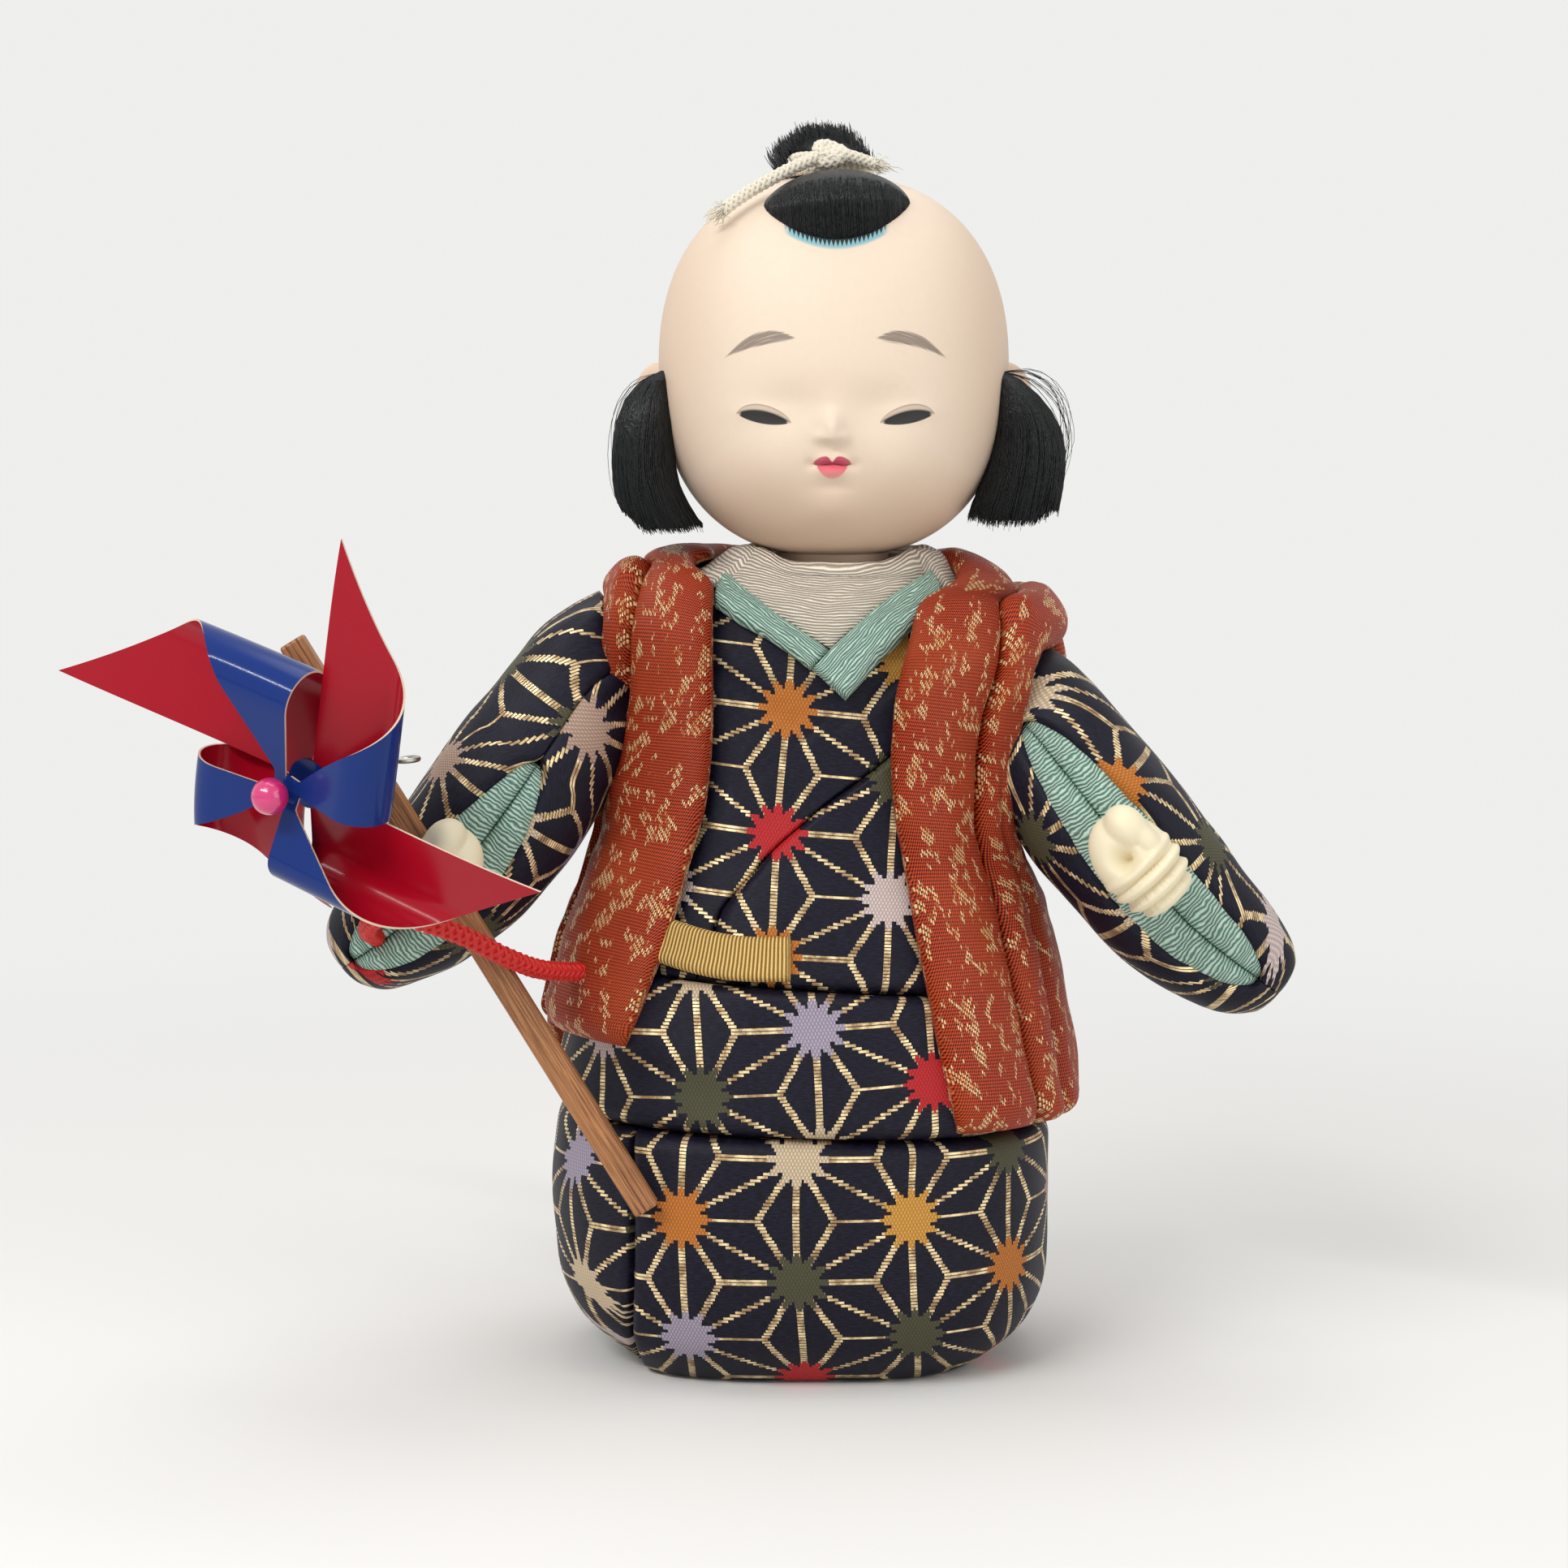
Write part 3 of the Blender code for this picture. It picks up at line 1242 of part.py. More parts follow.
def roll_profile():
    """Places (out, up) and directions along the folded strip of a blade, from its root to its tip."""
    arc = ROLL_RADIUS * (HALF_TURN + 2 * ROLL_SLOPE)
    straight = (WHEEL_REACH - arc) / 2
    slope = Vector((math.cos(ROLL_SLOPE), -math.sin(ROLL_SLOPE)))
    normal = Vector((math.sin(ROLL_SLOPE), math.cos(ROLL_SLOPE)))
    places = []
    for share in spread(2):
        places.append((straight * share, slope * (straight * share), slope))
    bend = slope * straight + normal * ROLL_RADIUS
    steps = 7
    for i in range(1, steps):
        turn = i / steps * (HALF_TURN + 2 * ROLL_SLOPE)
        facing = -ROLL_SLOPE + turn
        heading = Vector((math.cos(facing), math.sin(facing)))
        places.append((straight + arc * i / steps,
                       bend + Vector((heading.y, -heading.x)) * ROLL_RADIUS, heading))
    back = Vector((-math.cos(ROLL_SLOPE), -math.sin(ROLL_SLOPE)))
    top = bend + Vector((back.y, -back.x)) * ROLL_RADIUS
    for share in spread(2):
        places.append((straight + arc + straight * share, top + back * (straight * share), back))
    return places


def make_blade(name, turn, tip_share, collection, look):
    hub, facing, right, up = wheel_frame()
    stay = right * math.cos(turn) + up * math.sin(turn)
    fold = right * math.sin(turn) - up * math.cos(turn)
    outside, inside = [], []
    profile = roll_profile()
    reach = profile[-1][0]
    for length, place, heading in profile:
        rest = 1 - length / reach
        out = max(reach * rest * between(1.0, tip_share, rest), FRONT_HUB_RADIUS * 0.8)
        base = hub + fold * (place.x + BLADE_SLIT / 2) + facing * place.y
        normal = facing * heading.x - fold * heading.y
        for grid, side in ((outside, 0.5), (inside, -0.5)):
            grid.append([base + normal * (CARD * side) + stay * between(BLADE_SLIT / 2, out, s)
                         for s in (0.0, 0.5, 1.0)])
    return shell(name, outside, inside, look, collection=collection, smooth_angle=50.0)


def make_wheel():
    hub, facing, right, up = wheel_frame()
    blades = [
        make_blade(f"blade_{i}" if i else "pinwheel", WHEEL_TURN + QUARTER_TURN * i, tip,
                   CUTTERS if i else PARTS, None if i else CARD_RED)
        for i, tip in enumerate(TIP_REACH_shares)]
    front = roll_profile()[-1][1].y
    back_disc = rod("back_disc", hub - facing * (CARD * 0.6), hub + facing * (CARD * 0.7), HUB_RADIUS, None,
                    CUTTERS, 20)
    front_disc = rod("front_disc", hub + facing * (front - CARD * 0.8), hub + facing * (front + CARD * 1.4),
                     FRONT_HUB_RADIUS, None, CUTTERS, 20)
    wheel = blades[0]
    join(wheel, *blades[1:], back_disc, front_disc)
    hole = rod("pin_hole", hub - facing * OVERRUN * 2, hub + facing * (front + OVERRUN * 2),
               PIN_RADIUS + PIN_CLEARANCE, None, CUTTERS, 12)
    cut(wheel, hole)
    return front


def make_pin(stick, front):
    """Bent wire axle: through bead, wheel and stick, with a kink behind the wheel and a rear loop."""
    hub, facing, right, up = wheel_frame()
    bead_at = hub + facing * (front + CARD * 1.4 + BEAD_GAP + BEAD_RADIUS)
    seat = bead_at - facing * BEAD_RADIUS + facing * BEAD_SEAT
    pin_at = hub - facing * WHEEL_STANDOFF
    leaves = pin_at - facing * (STICK_WIDTH / 2 + PIN_KINK)
    behind = pin_at - facing * (STICK_WIDTH / 2 + PIN_BEHIND) - up * PIN_DROP
    side = right * -1
    kink = side * PIN_KINK
    path = [
        seat,
        hub,
        hub - facing * (PIN_KINK * 1.5),
        hub - facing * (PIN_KINK * 2.5) + kink,
        hub - facing * (PIN_KINK * 4.0) + kink,
        hub - facing * (PIN_KINK * 5.0),
        pin_at,
        leaves,
        behind,
    ]
    loop = []
    center = behind + right * PIN_LOOP
    for i in range(1, 9):
        turn = i / 9 * FULL_TURN * 0.86
        loop.append(center - right * (PIN_LOOP * math.cos(turn)) - facing * (PIN_LOOP * math.sin(turn))
                    + up * (PIN_RADIUS * 2.6 * i / 9))
    pin = tube("pinwheel_pin", path + loop, PIN_RADIUS, STEEL)
    bead = ellipsoid("pinwheel_bead", bead_at,
                     (right * BEAD_RADIUS, up * BEAD_RADIUS, facing * BEAD_RADIUS), PEARL, PARTS)
    bead_hole = rod("bead_hole", bead_at - facing * (BEAD_RADIUS * 2), seat + facing * GAP,
                    PIN_RADIUS + PIN_CLEARANCE, None, CUTTERS, 12)
    cut(bead, bead_hole)
    stick_hole = rod("stick_hole", pin_at + facing * (STICK_WIDTH * 2), pin_at - facing * (STICK_WIDTH * 2),
                     PIN_RADIUS + PIN_CLEARANCE, None, CUTTERS, 12)
    cut(stick, stick_hole)
    return pin, bead


def head_shape(name, grow, look, collection):
    bm = bmesh.new()
    bmesh.ops.create_uvsphere(bm, u_segments=30, v_segments=18, radius=1.0)
    power = 2 / HEAD_SQUARENESS
    for vert in bm.verts:
        x, y, z = vert.co
        flat = math.hypot(x, y)
        wide = flat ** power / max(flat, 1e-9)
        deep = HEAD_BACK if y > 0 else HEAD_FRONT
        tall = math.copysign(abs(z) ** power, z)
        vert.co = HEAD_CENTER + Vector((x * wide * (HEAD_HALF_WIDTH + grow), y * wide * (deep + grow),
                                        tall * (HEAD_HALF_HEIGHT + grow)))
    return finish_mesh(name, bm, look, collection)


def head_side(height):
    """Half width of the head at a height over its middle."""
    share = min(1.0, abs(height) / HEAD_HALF_HEIGHT)
    return HEAD_HALF_WIDTH * (1 - share ** HEAD_SQUARENESS) ** (1 / HEAD_SQUARENESS)


def make_head(core):
    head = head_shape("head", 0.0, SHELL_WHITE, PARTS)
    x = HEAD_CENTER.x
    y = HEAD_AXIS_Y
    core_top = max(skin(share * FULL_TURN, station, core_depth(station)).z
                   for station in CORE_STATIONS[-4:] for share in spread(28))
    neck_bottom = core_top + NECK_GAP
    extras = [
        rod("neck", Vector((x, y, neck_bottom)), Vector((x, y, HEAD_CENTER.z)), NECK_RADIUS, None, CUTTERS, 32),
        ellipsoid("nose", HEAD_CENTER + Vector((0.0, NOSE_HALF_DEPTH * 0.45 - HEAD_FRONT, NOSE_HEIGHT)),
                  (Vector((NOSE_HALF_WIDTH, 0, 0)), Vector((0, NOSE_HALF_DEPTH, 0)),
                   Vector((0, 0, NOSE_HALF_HEIGHT)))),
    ]
    for word, side in (("right", -1), ("left", 1)):
        center = HEAD_CENTER + Vector((side * (head_side(EAR_HEIGHT) - EAR_HALF_DEPTH), EAR_BACK, EAR_HEIGHT))
        extras.append(ellipsoid(f"ear_{word}", center,
                                (Vector((EAR_HALF_WIDTH, 0, 0)), Vector((0, EAR_HALF_DEPTH, 0)),
                                 Vector((0, 0, EAR_HALF_HEIGHT)))))
    join(head, *extras)
    peg_low, peg_high = Vector((x, y, PEG_BOTTOM)), Vector((x, y, PEG_TOP))
    rod("head_peg", peg_low, peg_high, PEG_RADIUS, WOOD)
    up = Vector((0.0, 0.0, GAP))
    peg_room = rod("peg_room", peg_low - up, peg_high + up, PEG_RADIUS + PEG_CLEARANCE, None, CUTTERS, 16)
    cut(head, peg_room)
    cut(core, peg_room)
    return head


def make_hair():
    away = head_shape("head_room", GAP, None, CUTTERS)
    lock = ellipsoid("front_lock", LOCK_CENTER,
                     (Vector((LOCK_HALF_WIDTH, 0, 0)), Vector((0, LOCK_HALF_DEPTH, 0)),
                      Vector((0, 0, LOCK_HALF_HEIGHT))), HAIR, PARTS)
    cut(lock, away)
    for word, side in (("right", -1), ("left", 1)):
        rings = []
        for drop, place, wide, deep in SIDE_LOCK_shares:
            middle = Vector((HEAD_CENTER.x + side * SIDE_LOCK_SPREAD * place,
                             HEAD_CENTER.y - SIDE_LOCK_FORWARD,
                             SIDE_LOCK_TOP - drop * SIDE_LOCK_DROP))
            rings.append([
                middle + Vector((math.cos(share * FULL_TURN) * wide * SIDE_LOCK_HALF_WIDTH,
                                 math.sin(share * FULL_TURN) * deep * SIDE_LOCK_HALF_DEPTH, 0.0))
                for share in spread(16)[:-1]])
        side_lock = loft(f"side_lock_{word}", rings, HAIR)
        cut(side_lock, away)
        ear_room = ellipsoid(
            f"ear_room_{word}",
            HEAD_CENTER + Vector((side * (head_side(EAR_HEIGHT) - EAR_HALF_DEPTH), EAR_BACK, EAR_HEIGHT)),
            (Vector((EAR_HALF_WIDTH + GAP, 0, 0)), Vector((0, EAR_HALF_DEPTH + GAP, 0)),
             Vector((0, 0, EAR_HALF_HEIGHT + GAP))))
        cut(side_lock, ear_room)
    rings = []
    stations = ((TUFT_ROOT, TUFT_WAIST_RADIUS * 1.12), (TUFT_WAIST, TUFT_WAIST_RADIUS),
                (TUFT_WAIST.lerp(TUFT_TOP, 0.4), TUFT_WAIST_RADIUS * 1.25),
                (TUFT_WAIST.lerp(TUFT_TOP, 0.8), TUFT_TOP_RADIUS * 0.96), (TUFT_TOP, TUFT_TOP_RADIUS * 0.9))
    tilt = ((TUFT_TOP - TUFT_WAIST).normalized() + Vector((0.0, 0.0, 2.0))).normalized()
    wide = Vector((1.0, 0.0, 0.0)) - tilt * tilt.x
    wide.normalize()
    deep = tilt.cross(wide)
    for middle, radius in stations:
        rings.append([middle + wide * (math.cos(share * FULL_TURN) * radius)
                      + deep * (math.sin(share * FULL_TURN) * radius * 0.86) for share in spread(20)[:-1]])
    tuft = loft("topknot", rings, HAIR)
    lock_room = ellipsoid("lock_room", LOCK_CENTER,
                          (Vector((LOCK_HALF_WIDTH + GAP, 0, 0)), Vector((0, LOCK_HALF_DEPTH + GAP, 0)),
                           Vector((0, 0, LOCK_HALF_HEIGHT + GAP))))
    cut(tuft, away, lock_room)
    return away, lock_room, tuft


def make_hair_cord(away, lock_room, tuft):
    """Cord round the waist of the topknot, knotted in front, with two tails."""
    around = []
    radius = TUFT_WAIST_RADIUS * 1.12 + HAIR_CORD_RADIUS
    middle = TUFT_WAIST + Vector((0.0, 0.0, HAIR_CORD_RADIUS * 0.8))
    for share in spread(18)[:-1]:
        turn = FRONT + share * FULL_TURN
        around.append(middle + Vector((math.cos(turn) * radius, math.sin(turn) * radius * 0.9, 0.0)))
    cord = meshed(tube("topknot_cord", around, HAIR_CORD_RADIUS, CORD_WHITE, True))
    groove = meshed(tube("cord_groove", around, HAIR_CORD_RADIUS + GAP, CORD_WHITE, True), CUTTERS)
    cut(tuft, groove)
    tails = []
    for name, points in (
            ("tail_left", (HAIR_CORD_LEFT, HAIR_CORD_BEND, HAIR_CORD_RISE, HAIR_CORD_KNOT)),
            ("tail_right", (HAIR_CORD_KNOT, HAIR_CORD_KNOT.lerp(HAIR_CORD_RIGHT, 0.5)
                            + Vector((0.0, 0.0, HAIR_CORD_RADIUS * 0.5)), HAIR_CORD_RIGHT))):
        tails.append(meshed(tube(name, smooth_path(list(points), 4), HAIR_CORD_RADIUS, CORD_WHITE), CUTTERS))
    tails.append(ellipsoid("hair_knot", HAIR_CORD_KNOT,
                           (Vector((HAIR_KNOT_HALF_WIDTH, 0, 0)), Vector((0, HAIR_KNOT_HALF_HEIGHT, 0)),
                            Vector((0, 0, HAIR_KNOT_HALF_HEIGHT)))))
    join(cord, *tails)
    cut(cord, away, lock_room)
    return cord


def make_cord():
    path = smooth_path(list(CORD_ROUTE), 4)
    tube("vest_cord", path, CORD_RADIUS, CORD_RED)
    ends = (path[0] + (path[0] - path[1]).normalized() * SEAM_GAP,
            path[-1] + (path[-1] - path[-2]).normalized() * SEAM_GAP)
    path = [ends[0], *path[1:-1], ends[1]]
    return meshed(tube("cord_room", path, CORD_RADIUS + CORD_CLEARANCE, CORD_RED), CUTTERS)


def body_room(name, depth):
    """The body surface grown by a depth, as a cutter."""
    turns = spread(48)[:-1]
    stations = [2.0, 3.0, 4.0, 5.0, 6.0, 7.0, 8.0, 9.0, 10.0, 11.0, 12.0, 13.0, 14.0, 15.0, 16.0, 17.0]
    rings = [[skin(share * FULL_TURN, station, depth) for share in turns] for station in stations]
    return loft(name, rings, None, CUTTERS)


def main():
    core = make_core()
    make_base_plate()
    make_skirt()
    make_waist_fold()
    fronts = make_bodice()
    make_bib()
    make_bands()
    make_obi()
    vest_rooms = make_vest()
    body_away = body_room("body_room", OVER_FRONT_OUT + GAP * 2)
    cord_away = make_cord()
    stick = stick_box("stick", 0.0, BAMBOO, PARTS)
    stick_away = stick_box("stick_room", STICK_CLEARANCE, None, CUTTERS)
    right_hand = STICK_FOOT.lerp(STICK_TOP, HAND_ON_STICK_share)
    channels = []
    for side, word, center in ((-1, "right", right_hand), (1, "left", LEFT_HAND)):
        sleeve = make_sleeve(side, f"sleeve_{word}")
        cut(sleeve, body_away, *vest_rooms, make_pocket(side, f"pocket_{word}"))
        lips = [make_lip(side, f"sleeve_lining_upper_{word}", 0.0, 1.0),
                make_lip(side, f"sleeve_lining_lower_{word}", -1.0, 0.0)]
        for lip in lips:
            cut(lip, vest_rooms[1 if side < 0 else 2])
            if side < 0:
                cut(lip, cord_away)
        hand, channel, wire = make_arm(side, word, center, sleeve, lips)
        channels.append(channel)
        if side < 0:
            cut(hand, stick_away)
            cut(sleeve, cord_away)
        else:
            along, across, forward = hand_frame(side)
            mouth = center + forward * (PALM_HALF_DEPTH * 1.6) - along * (PALM_HALF_LENGTH * 0.16)
            hollow = rod("palm_hollow", mouth, mouth - forward * (PALM_HOLE_DEPTH + PALM_HALF_DEPTH * 0.6),
                         PALM_HOLE_RADIUS, None, CUTTERS, 12)
            cut(hand, hollow)
    cut(core, *channels)
    for front in (*fronts, bpy.data.objects["kimono_back"]):
        cut(front, *channels)
    cut(bpy.data.objects["vest_collar"], cord_away)
    cut(bpy.data.objects["vest_front_right"], cord_away, *channels)
    cut(bpy.data.objects["vest_front_left"], *channels)
    front = make_wheel()
    make_pin(stick, front)
    make_head(core)
    make_hair_cord(*make_hair())


main()
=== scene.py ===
import functools
import math
import random

import bmesh
import bpy
from mathutils import Matrix, Vector, noise


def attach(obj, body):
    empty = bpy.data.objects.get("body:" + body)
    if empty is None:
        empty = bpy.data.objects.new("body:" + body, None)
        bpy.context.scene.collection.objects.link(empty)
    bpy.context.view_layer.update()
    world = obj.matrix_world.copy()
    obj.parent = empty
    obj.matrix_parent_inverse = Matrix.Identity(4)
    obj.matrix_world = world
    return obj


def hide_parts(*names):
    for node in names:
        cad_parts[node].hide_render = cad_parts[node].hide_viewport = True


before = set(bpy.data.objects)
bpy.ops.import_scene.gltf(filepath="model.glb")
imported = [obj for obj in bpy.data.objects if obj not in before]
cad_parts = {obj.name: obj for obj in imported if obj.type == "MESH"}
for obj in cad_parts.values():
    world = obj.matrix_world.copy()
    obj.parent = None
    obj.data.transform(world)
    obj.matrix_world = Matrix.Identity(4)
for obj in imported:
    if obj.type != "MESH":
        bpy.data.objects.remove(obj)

HALF_TURN = math.pi
QUARTER_TURN = math.pi / 2
FULL_TURN = 2 * math.pi
FRONT = -QUARTER_TURN
MM = 0.001

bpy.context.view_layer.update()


# Camera
def make_camera():
    aim = Vector((-0.00294, 0.0, 0.0830))
    rise = math.radians(6.0)
    lens = bpy.data.cameras.new("camera")
    lens.lens = 82.37
    lens.sensor_width = 36.0
    lens.clip_start = 0.01
    camera = bpy.data.objects.new("camera", lens)
    camera.location = aim + Vector((0.0, -0.520 * math.cos(rise), 0.520 * math.sin(rise)))
    camera.rotation_euler = (QUARTER_TURN - rise, 0.0, 0.0)
    bpy.context.scene.collection.objects.link(camera)
    bpy.context.scene.camera = camera


make_camera()


# Small sums
def between(low, high, share):
    return low + (high - low) * share


def clamp(value, low=0.0, high=1.0):
    return max(low, min(high, value))


def ramp(value, low, high):
    """0 below low, 1 above high, and a smooth rise between."""
    share = clamp((value - low) / (high - low))
    return share * share * (3 - 2 * share)


def bump(value, middle, width):
    return math.exp(-((value - middle) / width) ** 2)


def soft_share(share, amount=0.6):
    """Shares set closer together at both ends, where cloth turns over."""
    return between(share, 0.5 - 0.5 * math.cos(HALF_TURN * share), amount)


def smooth_path(points, per_span):
    last = len(points) - 1
    path = []
    for i in range(last):
        before, start, end, after = points[max(i - 1, 0)], points[i], points[i + 1], points[min(i + 2, last)]
        leave, arrive = (end - before) / 2, (after - start) / 2
        for step in range(per_span):
            t = step / per_span
            path.append(start * (2 * t**3 - 3 * t**2 + 1) + leave * (t**3 - 2 * t**2 + t)
                        + end * (3 * t**2 - 2 * t**3) + arrive * (t**3 - t**2))
    path.append(points[last])
    return path


def slope_at(values, i):
    if i == 0:
        return values[1] - values[0]
    if i == len(values) - 1:
        return values[i] - values[i - 1]
    before, after = values[i] - values[i - 1], values[i + 1] - values[i]
    return 0.0 if before * after <= 0 else 2 * before * after / (before + after)


def table_at(rows, place):
    last = len(rows) - 1
    i = max(0, min(int(place), last - 1))
    t = place - i
    found = []
    for column in zip(*rows):
        leave, arrive = slope_at(column, i), slope_at(column, i + 1)
        found.append(column[i] * (2 * t**3 - 3 * t**2 + 1) + leave * (t**3 - 2 * t**2 + t)
                     + column[i + 1] * (3 * t**2 - 2 * t**3) + arrive * (t**3 - t**2))
    return found


def solve(function, low, high, steps=26):
    for _ in range(steps):
        middle = (low + high) / 2
        if function(middle) < 0:
            low = middle
        else:
            high = middle
    return (low + high) / 2


def rough(point, scale, seed=0.0):
    """Even noise from -1 to 1; scale is the size of one lump."""
    return noise.noise(Vector((point[0] / scale + seed, point[1] / scale, point[2] / scale)))


# The body surface: angle round the body from +X towards +Y, and station in rows of the table
BODY_HEIGHT, BODY_HALF_WIDTH, BODY_HALF_DEPTH = 0.1150, 0.0360, 0.0300
BODY_LEAN, BODY_ROLL = 0.0045, math.radians(5.5)
# One row a station: height, half width, half depth, squareness, lean and roll
BODY_ROWS = (
    (0.000, 0.530, 0.520, 3.20, 0.00, 0.00),
    (0.000, 0.620, 0.625, 3.20, 0.00, 0.00),
    (0.005, 0.675, 0.690, 3.20, 0.00, 0.00),
    (0.023, 0.760, 0.775, 3.00, 0.00, 0.00),
    (0.065, 0.915, 0.905, 2.70, -0.05, 0.03),
    (0.130, 0.988, 0.977, 2.50, -0.15, 0.10),
    (0.217, 1.000, 1.000, 2.40, -0.20, 0.18),
    (0.313, 0.983, 0.987, 2.35, -0.08, 0.35),
    (0.400, 0.944, 0.950, 2.30, 0.05, 0.50),
    (0.487, 0.889, 0.883, 2.30, 0.12, 0.65),
    (0.574, 0.800, 0.783, 2.25, 0.25, 0.80),
    (0.661, 0.735, 0.700, 2.25, 0.40, 0.95),
    (0.748, 0.735, 0.655, 2.30, 0.60, 1.00),
    (0.826, 0.775, 0.620, 2.35, 0.80, 1.00),
    (0.887, 0.805, 0.595, 2.40, 0.92, 1.00),
    (0.930, 0.765, 0.540, 2.40, 0.97, 0.95),
    (0.952, 0.695, 0.490, 2.30, 1.00, 0.85),
    (0.970, 0.570, 0.430, 2.20, 1.00, 0.65),
    (0.985, 0.430, 0.375, 2.10, 1.00, 0.35),
    (0.995, 0.335, 0.365, 2.00, 1.00, 0.10),
    (1.000, 0.278, 0.334, 2.00, 1.00, 0.00),
)
NECK_STATION = len(BODY_ROWS) - 1


@functools.lru_cache(maxsize=None)
def body_ring(station):
    height, width, depth, squareness, lean, roll = table_at(BODY_ROWS, station)
    return (height * BODY_HEIGHT, width * BODY_HALF_WIDTH, depth * BODY_HALF_DEPTH,
            squareness, lean * BODY_LEAN, roll * BODY_ROLL)


def body_point(angle, station):
    height, half_width, half_depth, squareness, lean, roll = body_ring(station)
    across, along = math.cos(angle), math.sin(angle)
    radius = (abs(across / half_width) ** squareness
              + abs(along / half_depth) ** squareness) ** (-1 / squareness)
    x = radius * across
    return Vector((lean + x * math.cos(roll), radius * along, height - x * math.sin(roll)))


def skin(angle, station, depth):
    nudge = 0.02
    low, high = max(station - nudge, 0.0), min(station + nudge, NECK_STATION)
    round_it = body_point(angle + nudge, station) - body_point(angle - nudge, station)
    up_it = body_point(angle, high) - body_point(angle, low)
    return body_point(angle, station) + round_it.cross(up_it).normalized() * depth


@functools.lru_cache(maxsize=None)
def station_at(height):
    return solve(lambda s: body_ring(s)[0] - height, 1.0, NECK_STATION)


@functools.lru_cache(maxsize=None)
def front_angle(x, station):
    lean, half_width = body_ring(station)[4], body_ring(station)[1]
    wanted = max(-0.995 * half_width, min(0.995 * half_width, x - lean))
    return solve(lambda a: body_point(a, station).x - lean - wanted, -HALF_TURN, 0.0)


@functools.lru_cache(maxsize=None)
def front_place_of(x, height):
    """Angle and station of the front point that has this x and this height."""
    station = solve(lambda s: body_point(front_angle(x, s), s).z - height, 1.0, NECK_STATION, 22)
    return front_angle(x, station), station


@functools.lru_cache(maxsize=None)
def girth(station):
    """Lengths round the body at a station, from the middle of the front to either side."""
    steps, lengths = 90, [0.0]
    for side in (1, -1):
        run, last, row = 0.0, body_point(FRONT, station), []
        for i in range(1, steps + 1):
            here = body_point(FRONT + side * i / steps * HALF_TURN * 1.5, station)
            run += (here - last).length
            row.append(run * side)
            last = here
        lengths = row[::-1] + lengths if side < 0 else lengths + row
    return lengths


@functools.lru_cache(maxsize=None)
def climb():
    """Lengths up the middle of the front, one each tenth of a station."""
    lengths, last = [0.0], body_point(FRONT, 0.0)
    for i in range(1, NECK_STATION * 10 + 1):
        here = body_point(FRONT, i / 10)
        lengths.append(lengths[-1] + (here - last).length)
        last = here
    return lengths


def picked(lengths, place):
    i = max(0, min(int(place), len(lengths) - 2))
    return between(lengths[i], lengths[i + 1], place - i)


def flat_place(angle, station):
    """Where a point of the body lies on cloth laid flat, in metres."""
    turn = (angle - FRONT) / (HALF_TURN * 1.5)
    return picked(girth(round(station, 3)), 90 + turn * 90), picked(climb(), station * 10)


